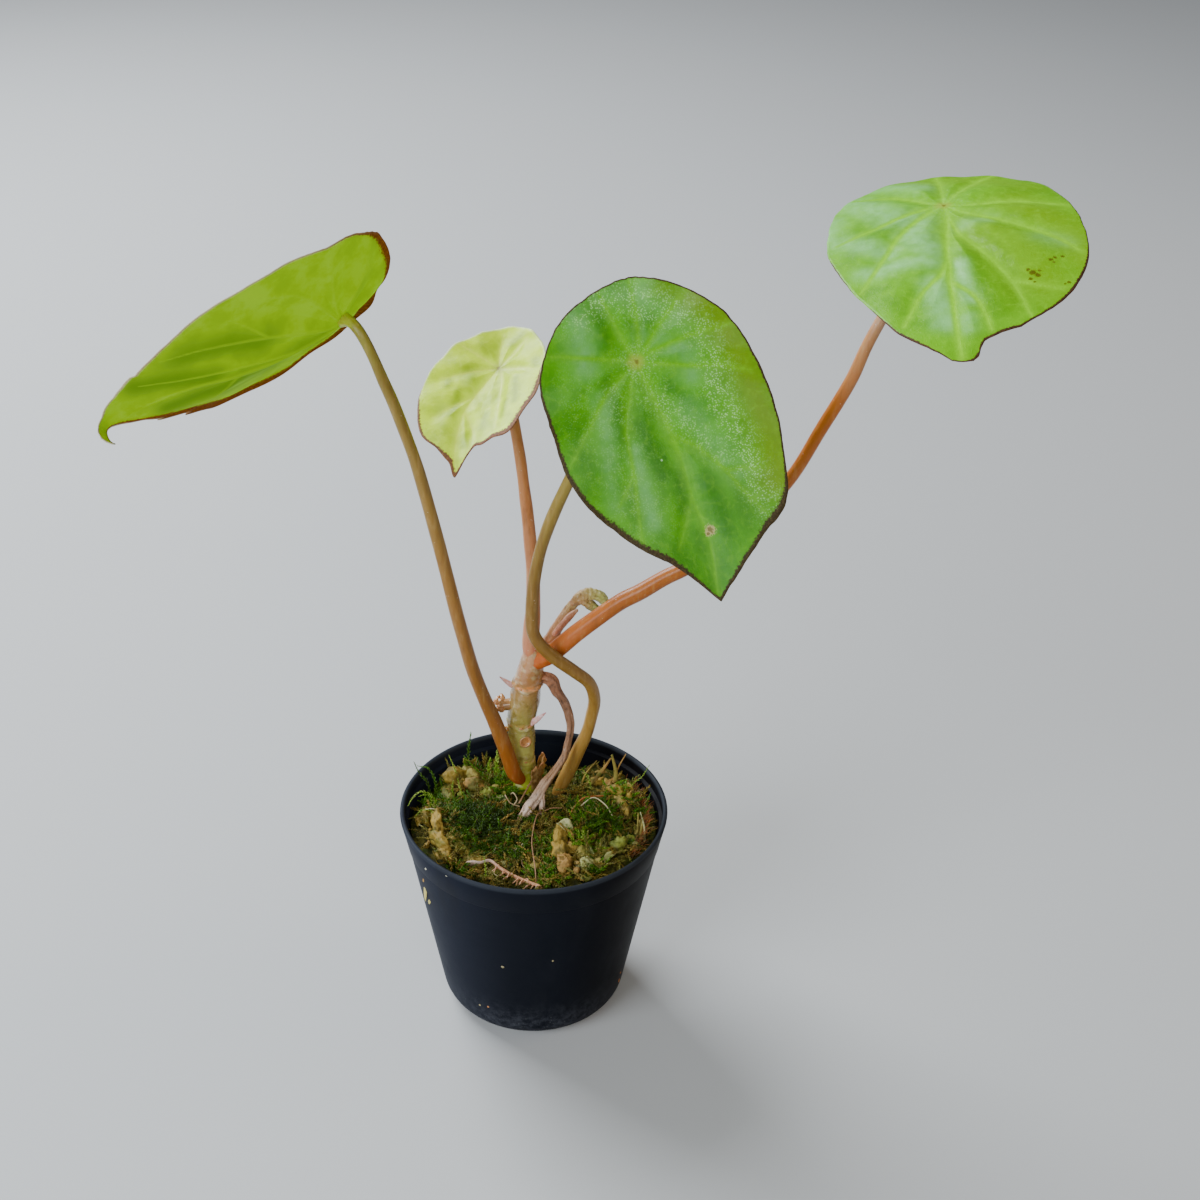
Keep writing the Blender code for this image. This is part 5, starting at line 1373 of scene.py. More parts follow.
class Look:
    """A material, with short ways to add its nodes. Sizes are in metres unless a vector in mm is given."""

    def __init__(self, name):
        self.material = bpy.data.materials.new(name)
        self.material.use_nodes = True
        self.tree = self.material.node_tree
        self.tree.nodes.clear()
        self.coordinates = self.add("ShaderNodeTexCoord").outputs["Object"]

    def add(self, kind, **settings):
        node = self.tree.nodes.new(kind)
        for name, value in settings.items():
            setattr(node, name, value)
        return node

    def put(self, socket, value):
        if isinstance(value, bpy.types.NodeSocket):
            self.tree.links.new(value, socket)
        elif isinstance(value, tuple) and len(value) == 3 and socket.type == "RGBA":
            socket.default_value = (*value, 1.0)
        else:
            socket.default_value = value

    def mark(self, name):
        """A number kept for each point of the mesh."""
        return self.add("ShaderNodeAttribute", attribute_name=name).outputs["Fac"]

    def combined(self, x, y, z):
        node = self.add("ShaderNodeCombineXYZ")
        for socket, value in zip(node.inputs, (x, y, z)):
            self.put(socket, value)
        return node.outputs[0]

    def axis(self, name):
        """The X, Y or Z coordinate."""
        node = self.add("ShaderNodeSeparateXYZ")
        self.put(node.inputs[0], self.coordinates)
        return node.outputs[name]

    def distance_to(self, place, at=None):
        """How far each place is from this one."""
        node = self.add("ShaderNodeVectorMath", operation="DISTANCE")
        self.put(node.inputs[0], at or self.coordinates)
        node.inputs[1].default_value = place
        return node.outputs["Value"]

    def noise(self, size, detail=3.0, roughness=0.55, at=None):
        """Smooth noise from 0 to 1, with this size of its blotches."""
        node = self.add("ShaderNodeTexNoise")
        self.put(node.inputs["Vector"], at or self.coordinates)
        node.inputs["Scale"].default_value = 1.0 / size
        node.inputs["Detail"].default_value = detail
        node.inputs["Roughness"].default_value = roughness
        return node.outputs[0]

    def cells(self, size, at=None, feature="F1"):
        """Distance to the middle of the nearest cell, or to its edge."""
        node = self.add("ShaderNodeTexVoronoi", feature=feature)
        self.put(node.inputs["Vector"], at or self.coordinates)
        node.inputs["Scale"].default_value = 1.0 / size
        return node.outputs["Distance"]

    def stretched(self, x, y, z, at=None):
        """The coordinates with each axis multiplied."""
        node = self.add("ShaderNodeMapping")
        self.put(node.inputs["Vector"], at or self.coordinates)
        node.inputs["Scale"].default_value = (x, y, z)
        return node.outputs[0]

    def maths(self, operation, first, second=0.0, clamp=False):
        node = self.add("ShaderNodeMath", operation=operation, use_clamp=clamp)
        self.put(node.inputs[0], first)
        self.put(node.inputs[1], second)
        return node.outputs[0]

    def times(self, first, second, clamp=False):
        return self.maths("MULTIPLY", first, second, clamp)

    def plus(self, first, second):
        return self.maths("ADD", first, second)

    def step(self, value, low, high, top=1.0):
        """0 below low and top above high, smooth between; low may be the larger."""
        node = self.add("ShaderNodeMapRange", interpolation_type="SMOOTHSTEP")
        if low > high:
            low, high, start, end = high, low, top, 0.0
        else:
            start, end = 0.0, top
        for name, number in (("From Min", low), ("From Max", high), ("To Min", start), ("To Max", end)):
            node.inputs[name].default_value = number
        self.put(node.inputs["Value"], value)
        return node.outputs["Result"]

    def span(self, value, low, high):
        """Takes 0 to 1 evenly to low to high."""
        node = self.add("ShaderNodeMapRange")
        self.put(node.inputs["Value"], value)
        node.inputs["To Min"].default_value = low
        node.inputs["To Max"].default_value = high
        return node.outputs["Result"]

    def ramp(self, value, stops):
        node = self.add("ShaderNodeValToRGB")
        self.put(node.inputs[0], value)
        elements = node.color_ramp.elements
        while len(elements) < len(stops):
            elements.new(1.0)
        for element, (position, colour) in zip(elements, stops):
            element.position = position
            element.color = (*colour, 1.0)
        return node.outputs["Color"]

    def mix(self, share, first, second, blend="MIX"):
        node = self.add("ShaderNodeMix", data_type="RGBA", blend_type=blend)
        sockets = [socket for socket in node.inputs if socket.type == "RGBA"]
        self.put(node.inputs["Factor"], share)
        self.put(sockets[0], first)
        self.put(sockets[1], second)
        return next(socket for socket in node.outputs if socket.type == "RGBA")

    def bump(self, height, distance, strength=1.0, over=None):
        node = self.add("ShaderNodeBump")
        self.put(node.inputs["Height"], height)
        node.inputs["Distance"].default_value = distance
        node.inputs["Strength"].default_value = strength
        if over is not None:
            self.put(node.inputs["Normal"], over)
        return node.outputs[0]

    def surface(self, colour, roughness, normal=None, glow=None, glow_share=0.0, **constants):
        """The finished surface. glow is the colour of light that comes through it."""
        shader = self.add("ShaderNodeBsdfPrincipled")
        self.put(shader.inputs["Base Color"], colour)
        self.put(shader.inputs["Roughness"], roughness)
        if normal is not None:
            self.put(shader.inputs["Normal"], normal)
        for name, value in constants.items():
            self.put(shader.inputs[name.replace("_", " ")], value)
        result = shader.outputs[0]
        if glow is not None:
            through = self.add("ShaderNodeBsdfTranslucent")
            self.put(through.inputs["Color"], glow)
            both = self.add("ShaderNodeMixShader")
            both.inputs[0].default_value = glow_share
            self.put(both.inputs[1], result)
            self.put(both.inputs[2], through.outputs[0])
            result = both.outputs[0]
        output = self.add("ShaderNodeOutputMaterial")
        self.put(output.inputs["Surface"], result)
        return self.material


def profile_arc(centre, radius, start, end, steps):
    """Points of a round corner; angles in degrees from +X."""
    angles = [math.radians(start + (end - start) * step / steps) for step in range(steps + 1)]
    return [(centre[0] + radius * math.cos(a), centre[1] + radius * math.sin(a)) for a in angles]


def wall_lean():
    """How far the pot's side leans out, in radians."""
    rise = POT_HEIGHT - COLLAR_HEIGHT - TAPER_FOOT_HEIGHT
    return math.atan2(COLLAR_RADIUS - COLLAR_STEP - TAPER_FOOT_RADIUS, rise)


def corner(inset, bottom, steps):
    """The round corner between the pot's floor and its side, this far inside the outer one."""
    lean = wall_lean()
    radius = CORNER_RADIUS - inset
    centre_height = bottom + radius
    side = TAPER_FOOT_RADIUS - inset / math.cos(lean)
    side += (centre_height - radius * math.sin(lean) - TAPER_FOOT_HEIGHT) * math.tan(lean)
    centre = (side - radius * math.cos(lean), centre_height)
    return profile_arc(centre, radius, -90, -math.degrees(lean), steps)


def inner_radius(height):
    """The pot's inside radius."""
    collar_foot = POT_HEIGHT - COLLAR_HEIGHT
    lean = wall_lean()
    below = TAPER_FOOT_RADIUS + (collar_foot - TAPER_FOOT_HEIGHT) * math.tan(lean) - WALL
    if height <= collar_foot:
        return below - (collar_foot - height) * math.tan(lean)
    share = (height - collar_foot) / (LEDGE_HEIGHT - collar_foot)
    return below + (LEDGE_RADIUS - below) * min(share, 1.0)


def outer_radius(height):
    """The pot's outside radius."""
    collar_foot = POT_HEIGHT - COLLAR_HEIGHT
    if height > collar_foot:
        return COLLAR_RADIUS + (RIM_RADIUS - COLLAR_RADIUS) * (height - collar_foot) / COLLAR_HEIGHT
    return TAPER_FOOT_RADIUS + (height - TAPER_FOOT_HEIGHT) * math.tan(wall_lean())


def pot_profile():
    """Radius and height of the pot's section, from the middle of its foot round to that of its floor."""
    collar_foot = POT_HEIGHT - COLLAR_HEIGHT
    lip = LIP / 2
    lip_centre = (RIM_RADIUS - lip, POT_HEIGHT - lip)
    soft = COLLAR_STEP / 3
    profile = [(0.0, 0.0), (PAD_RADIUS, 0.0), (PAD_RADIUS + RECESS / 2, RECESS)]
    profile += [(FOOT_RING_INNER, RECESS), (FOOT_RING_INNER + RECESS / 2, 0.0)]
    profile += corner(0.0, 0.0, 10)
    side_foot = profile[-1]
    side_top = (COLLAR_RADIUS - COLLAR_STEP, collar_foot)
    for share in (0.25, 0.5, 0.75):
        profile.append(tuple(a + (b - a) * share for a, b in zip(side_foot, side_top)))
    profile += [side_top, (COLLAR_RADIUS - soft, collar_foot + soft)]
    profile.append((COLLAR_RADIUS, collar_foot + COLLAR_STEP))
    profile.append(((COLLAR_RADIUS + RIM_RADIUS) / 2, collar_foot + COLLAR_HEIGHT / 2))
    profile += profile_arc(lip_centre, lip, 0, 180, 10)
    profile += [(RIM_RADIUS - LIP, LEDGE_HEIGHT + LEDGE_SLOPE), (LEDGE_RADIUS, LEDGE_HEIGHT)]
    profile += [(inner_radius(collar_foot), collar_foot)]
    profile += reversed(corner(WALL, FLOOR_HEIGHT, 8))
    profile += [(0.0, FLOOR_HEIGHT)]
    return profile


def drain_cutter(number):
    """A short rod where one drain hole goes."""
    angle = 2 * math.pi * number / DRAIN_HOLES
    place = (DRAIN_CIRCLE * math.cos(angle), DRAIN_CIRCLE * math.sin(angle), FLOOR_HEIGHT)
    mesh = bpy.data.meshes.new("drain")
    bm = bmesh.new()
    bmesh.ops.create_cone(
        bm,
        cap_ends=True,
        segments=DRAIN_SEGMENTS,
        radius1=DRAIN_RADIUS,
        radius2=DRAIN_RADIUS,
        depth=3 * FLOOR_HEIGHT,
        matrix=Matrix.Translation(place),
    )
    bm.to_mesh(mesh)
    bm.free()
    cutter = bpy.data.objects.new("drain", mesh)
    bpy.context.scene.collection.objects.link(cutter)
    return cutter


def pot():
    """The pot, turned from its profile and pierced by its drain holes."""
    bm = bmesh.new()
    points = [bm.verts.new((radius, 0.0, height)) for radius, height in pot_profile()]
    edges = [bm.edges.new(pair) for pair in zip(points, points[1:])]
    bmesh.ops.spin(
        bm,
        geom=points + edges,
        cent=(0, 0, 0),
        axis=(0, 0, 1),
        angle=2 * math.pi,
        steps=POT_SEGMENTS,
        use_merge=True,
    )
    bmesh.ops.remove_doubles(bm, verts=bm.verts, dist=0.000001)
    bmesh.ops.recalc_face_normals(bm, faces=bm.faces)
    mesh = bpy.data.meshes.new("nursery_pot")
    bm.to_mesh(mesh)
    bm.free()
    mesh.materials.append(pot_look())
    body = bpy.data.objects.new("nursery_pot", mesh)
    bpy.context.scene.collection.objects.link(body)
    for number in range(DRAIN_HOLES):
        cutter = drain_cutter(number)
        boolean = body.modifiers.new("Drain", "BOOLEAN")
        boolean.operation = "DIFFERENCE"
        boolean.solver = "EXACT"
        boolean.object = cutter
        bpy.context.view_layer.update()
        graph = bpy.context.evaluated_depsgraph_get()
        body.data = bpy.data.meshes.new_from_object(body.evaluated_get(graph))
        body.modifiers.clear()
        bpy.data.objects.remove(cutter)
    body.data.shade_smooth()
    body.data.set_sharp_from_angle(angle=math.radians(SHARP_ANGLE))
    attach(body, "root")
    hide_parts("pot")


def pot_look():
    """Dark blue-black plastic, finely grained, with a pale dusty bloom near its foot and faint rub marks. Its
    left side is made lighter and bluer as painted light, its right side darker and browner as painted shade,
    and the lip's top lighter, partly wear and partly painted highlight.
    """
    look = Look("pot_plastic")
    base = look.mix(look.noise(0.012, 4), (0.0046, 0.0056, 0.0086), (0.0070, 0.0084, 0.0126))
    # Painted light: the left side is made lighter and bluer, standing in for the cool light from the left.
    base = look.mix(look.step(look.axis("X"), -0.004, -0.042, 0.8), base, (0.0165, 0.0200, 0.0340))
    # Painted shade: the right side is made darker and browner.
    base = look.mix(look.step(look.axis("X"), 0.006, 0.040, 0.8), base, (0.0036, 0.0024, 0.0019))
    # The lip's top is lighter: partly wear, and partly a painted highlight where the rim catches the light.
    rim_wear_and_highlight = look.step(look.axis("Z"), 0.0752, 0.0764, 0.6)
    base = look.mix(rim_wear_and_highlight, base, (0.034, 0.039, 0.048))
    rub = look.step(look.noise(0.02, 6, 0.7, at=look.stretched(1.0, 1.0, 0.25)), 0.52, 0.72, 0.5)
    base = look.mix(rub, base, (0.011, 0.012, 0.015))
    low = look.step(look.axis("Z"), 0.022, 0.001)
    # A pale dust film near the foot, which is also rougher.
    dust_and_painted_sheen = look.times(low, look.step(look.noise(0.003, 8, 0.8), 0.38, 0.66))
    base = look.mix(look.times(dust_and_painted_sheen, 0.60), base, (0.075, 0.078, 0.092))
    grain = look.cells(0.0011)
    speck = look.times(look.step(grain, 0.22, 0.10), look.step(look.noise(0.004, 2), 0.50, 0.62))
    speck = look.times(speck, look.span(low, 0.03, 0.8))
    base = look.mix(speck, base, (0.10, 0.10, 0.098))
    roughness = look.span(look.noise(0.009, 6, 0.65), 0.36, 0.50)
    roughness = look.plus(roughness, look.times(dust_and_painted_sheen, 0.25))
    fine = look.bump(look.noise(0.0005, 2), 0.00002, 0.35)
    normal = look.bump(look.noise(0.010, 3), 0.00025, 0.35, over=fine)
    return look.surface(base, roughness, normal, Specular_IOR_Level=0.025)


def lump(length, width, height, seed, sides=12, rows=8):
    """Points and faces of a small uneven lump, centred on the origin."""
    angles = np.linspace(0.0, 2 * math.pi, sides, endpoint=False)
    points = [leaning(angle, math.pi * row / rows) for row in range(1, rows) for angle in angles]
    points = np.array([*points, (0.0, 0.0, 1.0), (0.0, 0.0, -1.0)])
    points *= (1.0 + LUMPINESS * rough(points, 0.9, 2, seed))[:, None]
    faces = [[a, d, c, b] for a, b, c, d in grid_faces(rows - 1, sides)]
    faces += [face[::-1] for face in end_fans(rows - 1, sides)]
    return points * np.array([length, width, height]) / 2, faces


def on_wall(points, azimuth, height, turn):
    """Lays points made flat on XY onto the pot's wall: X runs round it, or up it when turned by 90."""
    around = math.radians(azimuth)
    out = np.array([math.cos(around), math.sin(around), 0.0])
    level = np.array([-math.sin(around), math.cos(around), 0.0])
    rise = np.array([0.0, 0.0, 1.0])
    spin = math.radians(turn)
    along = level * math.cos(spin) + rise * math.sin(spin)
    across = rise * math.cos(spin) - level * math.sin(spin)
    foot = out * outer_radius(height) + rise * height
    return foot + points[:, :1] * along + points[:, 1:2] * across + points[:, 2:] * out


def pot_crumbs():
    """Bits of moss and dirt stuck to the pot's side."""
    shape = Shape()
    for number, (azimuth, height, length, width, depth, turn, kind) in enumerate(POT_CRUMBS):
        points, faces = lump(length / 1000, width / 1000, depth / 1000, number * 2.3)
        shape.add(on_wall(points, azimuth, height, turn), faces, tint=CRUMB_TINTS[kind])
    shape.piece("pot_crumbs", crumb_look(), "sphagnum")


def crumb_look():
    """Dry golden, pale or orange crumbs."""
    look = Look("crumbs")
    tinted = look.ramp(look.mark("tint"), RAMPS["crumbs"])
    dirty = look.mix(look.noise(0.0006, 3), tinted, (0.10, 0.07, 0.02), "MULTIPLY")
    colour = look.mix(0.7, dirty, tinted)
    return look.surface(colour, 0.6, look.bump(look.noise(0.0004, 2), 0.0001))


def outline_share(angles):
    """The margin's distance from the stalk as a share of the length, at angles in degrees from the tip."""
    outline = np.array(OUTLINE, float)
    return smooth_through(outline[:, 0], outline[:, 1:], angles % 360)[..., 0]


def bumps_round(angles, stretches):
    """The sum of soft changes, each an angle, its spread and its height."""
    total = np.zeros(np.shape(angles))
    for centre, spread, change in stretches:
        away = (angles - centre + 180) % 360 - 180
        total += change * np.exp(-((away / spread) ** 2))
    return total


def line_distance(u, v, line):
    """How far each place is from a line of (u, v), and how far along the line its nearest point lies."""
    if len(line) > 2:
        line = smooth_route([(*point, 0.0, 0.0) for point in line], 24)[:, :2]
    line = np.array(line, float)
    lengths = np.linalg.norm(np.diff(line, axis=0), axis=1)
    starts = np.concatenate([[0.0], np.cumsum(lengths)])
    best = np.full(u.shape, FAR_AWAY)
    along = np.zeros(u.shape)
    for index, (start, end) in enumerate(zip(line, line[1:])):
        way = end - start
        t = np.clip(((u - start[0]) * way[0] + (v - start[1]) * way[1]) / way.dot(way), 0.0, 1.0)
        apart = np.hypot(u - start[0] - t * way[0], v - start[1] - t * way[1])
        nearer = apart < best
        best = np.where(nearer, apart, best)
        along = np.where(nearer, (starts[index] + t * lengths[index]) / starts[-1], along)
    return best, along


def vein_marks(shape, u, v):
    """For each place: distance to the nearest vein in vein widths, the vein's ridge, and plain distance."""
    ratio = np.full(u.shape, FAR_AWAY)
    ridge = np.zeros(u.shape)
    near = np.full(u.shape, FAR_AWAY)
    for number, line in enumerate(shape["veins"]):
        apart, along = line_distance(u, v, line)
        from_stalk = math.hypot(*line[0]) < 0.001
        if number == 0:
            width, strength = MIDRIB_WIDTH, 1.0
        else:
            width, strength = (VEIN_WIDTH, 0.8) if from_stalk else (BRANCH_WIDTH, 0.5)
        width = width * (1 - 0.55 * along)
        strength = strength * (1 - 0.8 * along)
        ratio = np.minimum(ratio, apart / width)
        ridge = np.maximum(ridge, strength * np.exp(-((apart / (0.7 * width)) ** 2)))
        near = np.minimum(near, apart)
    return ratio, ridge, near


def stroke_mark(strokes, u, v):
    """The strongest of soft strokes at each place, each a line of (u, v), its reach and its strength."""
    most = np.zeros(u.shape)
    for line, reach, strength in strokes:
        apart = line_distance(u, v, line)[0]
        most = np.maximum(most, strength * np.exp(-((apart / reach) ** 2)))
    return most


def leaf_axes(shape):
    """Unit ways to the tip, to the wide side and up from the blade's top."""
    up = unit(np.array(shape["top_way"]))
    ahead = np.array(shape["tip_way"])
    ahead = unit(ahead - up * ahead.dot(up))
    return ahead, np.cross(up, ahead) * shape["wide_side"], up


def blade_angles(shape):
    """Angles round the blade in degrees, closer together near the tip."""
    turns = np.arange(BLADE_SECTORS) / BLADE_SECTORS
    return shape.get("tip_angle", 0.0) + 360 * turns - np.degrees(TIP_CROWDING * np.sin(2 * math.pi * turns))


def flat_noise(u, v, size, seed):
    """Smooth noise over the flat blade."""
    points = np.stack([u.ravel(), v.ravel(), np.zeros(u.size)], axis=-1)
    return wobble(points, size, seed).reshape(u.shape)


def blade_margin(angle, shape, seed):
    """The margin's distance from the stalk, uneven, with the tip on its own outline where it has one."""
    radians = np.radians(angle)
    around, across = np.cos(radians), np.sin(radians)
    margin = outline_share(angle) + bumps_round(angle, shape["margin_changes"])
    if "tip_outline" in shape:
        places, shares = zip(*shape["tip_outline"])
        away = (angle + 180) % 360 - 180
        own = np.interp(away, places, shares)
        margin = np.where((away > places[0]) & (away < places[-1]), own, margin)
    for size, height, shift in MARGIN_UNEVENNESS:
        margin = margin + height * flat_noise(around, across, size, seed + shift)
    return margin


def turned(u, v, turn):
    """Places turned round the stalk's end."""
    return u * math.cos(turn) - v * math.sin(turn), u * math.sin(turn) + v * math.cos(turn)


def curled_tip(u, v, shape):
    """Rolls the tip down along an arc and turns its face aside: new places, flat places and rise."""
    start, radius, steep, twist = shape["tip_curl"]
    turn = math.radians(shape["tip_angle"])
    out, aside = turned(u, v, -turn)
    beyond = np.maximum(out - start, 0.0)
    first = math.radians(steep)
    bend = first + beyond / radius
    t = np.minimum(1.0, beyond / (1.2 * radius))
    lean = math.radians(twist) * t * t * (3 - 2 * t)
    lifted = aside * np.sin(lean)
    new_out = np.minimum(out, start) + radius * (np.sin(bend) - math.sin(first)) + lifted * np.sin(bend)
    new_aside = aside * np.cos(lean)
    rise = lifted * np.cos(bend) - radius * (math.cos(first) - np.cos(bend))
    return turned(new_out, new_aside, turn), turned(np.minimum(out, start), new_aside, turn), rise


def swelling(share):
    """0 at the stalk and at the margin, and 1 between them."""
    return np.sin(math.pi * share**0.8)


def blade_height(shape, angle, share, u, v, seed):
    """How far each place of the blade's top lies above the flat plane through the stalk's end."""
    radians = np.radians(angle)
    side, fold, tip, base = shape["bends"]
    height = fold * (np.sqrt(v * v + FOLD_SOFTNESS**2) - FOLD_SOFTNESS) - side * v * v
    height -= tip * np.maximum(u, 0.0) ** 2 + base * np.minimum(u, 0.0) ** 2
    height -= shape["tip_hook"] * (np.maximum(u - HOOK_START, 0.0) / (1 - HOOK_START)) ** 2
    height += shape["wave"] * share**4 * np.sin(MARGIN_RIPPLES * radians)
    lips = bumps_round(angle, shape.get("lips", []))
    height -= lips * np.clip((share - LIP_START) / (1 - LIP_START), 0.0, 1.0) ** LIP_BEND
    swell = swelling(share)
    height += UNEVENNESS * swell * (flat_noise(u, v, 0.16, seed + 5) + 0.5 * flat_noise(u, v, 0.07, seed + 9))
    return height + shape.get("crinkle", CRINKLE) * swell * flat_noise(u, v, 0.035, seed + 12)


def blade_grid(shape, seed):
    """Shares of the blade's rings, their points on its top, the ridges of its veins and the marks there."""
    angle, share = np.meshgrid(blade_angles(shape), np.linspace(0.0, 1.0, BLADE_RINGS + 1)[1:])
    radians = np.radians(angle)
    margin = blade_margin(angle, shape, seed)
    weave = np.sin(MARGIN_WAVES * radians + shape["length"] * WAVE_SHIFT)
    reach = margin * share * (1 + shape["wave"] * weave * share**2)
    u, v = reach * np.cos(radians), reach * np.sin(radians)
    ratio, ridge, near = vein_marks(shape, u, v)
    if "tip_curl" in shape:
        placed, flattened, rise = curled_tip(u, v, shape)
    else:
        placed, flattened, rise = (u, v), (u, v), 0.0
    height = blade_height(shape, angle, share, *flattened, seed) + rise
    height += shape["quilting"] * (1 - np.exp(-((near / QUILT_REACH) ** 2))) * swelling(share)
    height -= GROOVE * ridge * np.minimum(1.0, 8 * (1 - share))
    ahead, aside, up = leaf_axes(shape)
    flat = placed[0][..., None] * ahead + placed[1][..., None] * aside + height[..., None] * up
    points = np.array(shape["place"]) + shape["length"] * flat
    band = shape["brown"] + bumps_round(angle, shape["brown_stretches"])
    inside = (1 - share) * margin * shape["length"] * 1000
    edge = (inside + 0.10) / np.maximum(band, 0.04)
    rim_highlights = np.clip(bumps_round(angle, shape["rim_highlights"]), 0.0, 1.0)
    marks = {
        "u_mm": u * shape["length"] * 1000,
        "v_mm": v * shape["length"] * 1000,
        "vein": np.minimum(ratio, FAR_VEIN),
        "edge": np.minimum(edge, FAR_EDGE),
        # Painted highlight: how strongly the pale rim colour is painted along the margin.
        "rim": rim_highlights * np.exp(-((inside / RIM_HIGHLIGHT_WIDTH) ** 2)),
    }
    for name in ("deep", "sheen", "olive", "painted_glint_dots"):
        marks[name] = stroke_mark(shape[name], u, v)
    return share, points, ridge, marks


def grid_normals(points, upward):
    """Unit normals of a grid of rings, on the side of the upward way."""
    outward = np.gradient(points, axis=0)
    around = np.roll(points, -1, axis=1) - np.roll(points, 1, axis=1)
    normals = unit(np.cross(outward, around))
    return normals * np.sign((normals @ upward).sum())


def blade(shape, seed):
    """One leaf as a closed sheet: top, rounded margin, and an underside with raised ribs."""
    share, top, ridge, marks = blade_grid(shape, seed)
    up = leaf_axes(shape)[2]
    normals = grid_normals(top, up)
    centre = np.array(shape["place"])
    thickness = BLADE_THICKNESS * (1 - 0.45 * share**3)
    thickness += RIB_HEIGHT * ridge * np.minimum(1.0, 6 * (1 - share))
    bottom = top - normals * thickness[..., None]
    outward = unit(top[-1] - top[-3])
    rim = top[-1] + thickness[-1][:, None] * (0.5 * outward - 0.5 * normals[-1])
    rows, sectors = share.shape
    middles = [centre, centre - up * thickness[0].mean()]
    points = np.concatenate([top.reshape(-1, 3), rim, bottom[::-1].reshape(-1, 3), middles])
    faces = grid_faces(2 * rows + 1, sectors) + end_fans(2 * rows + 1, sectors)
    if shape["wide_side"] > 0:
        faces = [face[::-1] for face in faces]
    full = {}
    for mark, values in marks.items():
        inner = FAR_EDGE if mark == "edge" else 0.0
        full[mark] = np.concatenate([values.ravel(), values[-1], values[::-1].ravel(), [inner, inner]])
    side = np.zeros(rows * sectors)
    full["under"] = np.concatenate([side, np.full(sectors, 0.5), side + 1.0, [0.0, 1.0]])
    leaf = Shape()
    leaf.add(points, faces, **full)
    return leaf


def spot(look, colour, flat, place, size, kind):
    """Paints one uneven spot: its middle colour, and a ring of the second colour round it."""
    uneven = look.span(look.noise(0.55, 5, 0.7, at=flat), -1.3, 1.3)
    ratio = look.plus(look.maths("DIVIDE", look.distance_to((*place, 0.0), at=flat), size), uneven)
    inner, ring, strength = SPOT_COLOURS[kind]
    colour = look.mix(look.step(ratio, 1.2, 0.8, strength), colour, ring)
    return look.mix(look.step(ratio, 0.70, 0.50, strength), colour, inner) if "ring" in kind else colour


def leaf_top(look, flat, tone, cloud, fine, dot):
    """The top's colour: deeper panels, partly painted shade, pale veins, a bluish painted sheen, painted
    glints on the raised dots and the stalk's hub.
    """
    vein = look.mark("vein")
    base = look.mix(look.step(cloud, 0.35, 0.68, 0.55), tone["base"], tone["deep"])
    # Deeper green panels, partly the leaf's own colour and partly painted shade below veins and in folds.
    base = look.mix(look.times(look.mark("deep"), look.span(fine, 0.5, 1.5), clamp=True), base, tone["deep"])
    olive = look.times(look.mark("olive"), look.span(fine, 0.6, 1.2), clamp=True)
    base = look.mix(olive, base, tone["olive"])
    base = look.mix(look.step(fine, 0.48, 0.80, 0.30), base, tone["vein"])
    net = look.step(look.cells(3.0, at=flat, feature="DISTANCE_TO_EDGE"), 0.14, 0.0, 0.22)
    base = look.mix(look.times(net, look.step(fine, 0.35, 0.65)), base, tone["vein"])
    band = look.times(look.step(vein, 4.0, 0.4, tone["veining"]), look.span(fine, 0.1, 1.3), clamp=True)
    base = look.mix(band, base, tone["vein"])
    line = look.times(look.step(vein, 1.2, 0.1, tone["veining"]), look.span(fine, 0.0, 1.3), clamp=True)
    base = look.mix(line, base, tuple(min(1.0, 1.2 * part) for part in tone["vein"]))
    # Painted sheen: a bluish reflection painted in where the sheen strokes lie, kept off the veins.
    dust_and_painted_sheen = look.times(look.mark("sheen"), look.span(look.noise(3.0, 6, 0.62, at=flat), 0.0, 1.8), clamp=True)
    dust_and_painted_sheen = look.times(dust_and_painted_sheen, look.step(vein, 0.2, 2.2))
    base = look.mix(look.times(dust_and_painted_sheen, 0.85), base, tone["dust_and_painted_sheen"])
    # Painted glints: the peaks of the raised dots are painted in the sparkle colour where the dot strokes lie,
    # with a faint wash of it between them.
    peak = look.step(dot, 0.50, 0.22)
    painted_glints = look.times(look.mark("painted_glint_dots"), look.step(look.noise(4.0, 4, 0.6, at=flat), 0.28, 0.58))
    sparkle = tone.get("sparkle", tone["dust_and_painted_sheen"])
    base = look.mix(look.times(painted_glints, 0.10), base, sparkle)
    base = look.mix(look.times(peak, painted_glints, clamp=True), base, sparkle)
    hub = look.plus(look.distance_to((0.0, 0.0, 0.0), at=flat), look.span(fine, -1.6, 1.6))
    base = look.mix(look.step(hub, 3.4, 0.8, 0.75), base, HUB_COLOUR)
    return look.mix(look.step(hub, 0.9, 0.3, 0.8), base, HUB_CENTRE)


def leaf_underside(look, tone, cloud):
    """The underside's colour, with deeper panels that are partly painted shade under the folds, and pale ribs.
    """
    below = look.mix(look.step(cloud, 0.40, 0.62, 0.35), tone["under"], tone["under_deep"])
    below = look.mix(look.mark("deep"), below, tone["under_deep"])
    return look.mix(look.step(look.mark("vein"), 1.0, 0.2, 0.6), below, tone["under_vein"])


def brown_share(look, flat):
    """How brown each place is, from its ragged distance to the margin."""
    ragged = look.span(look.noise(0.9, 6, 0.8, at=flat), -1.4, 1.4)
    return look.step(look.plus(look.mark("edge"), ragged), 1.20, 0.80)


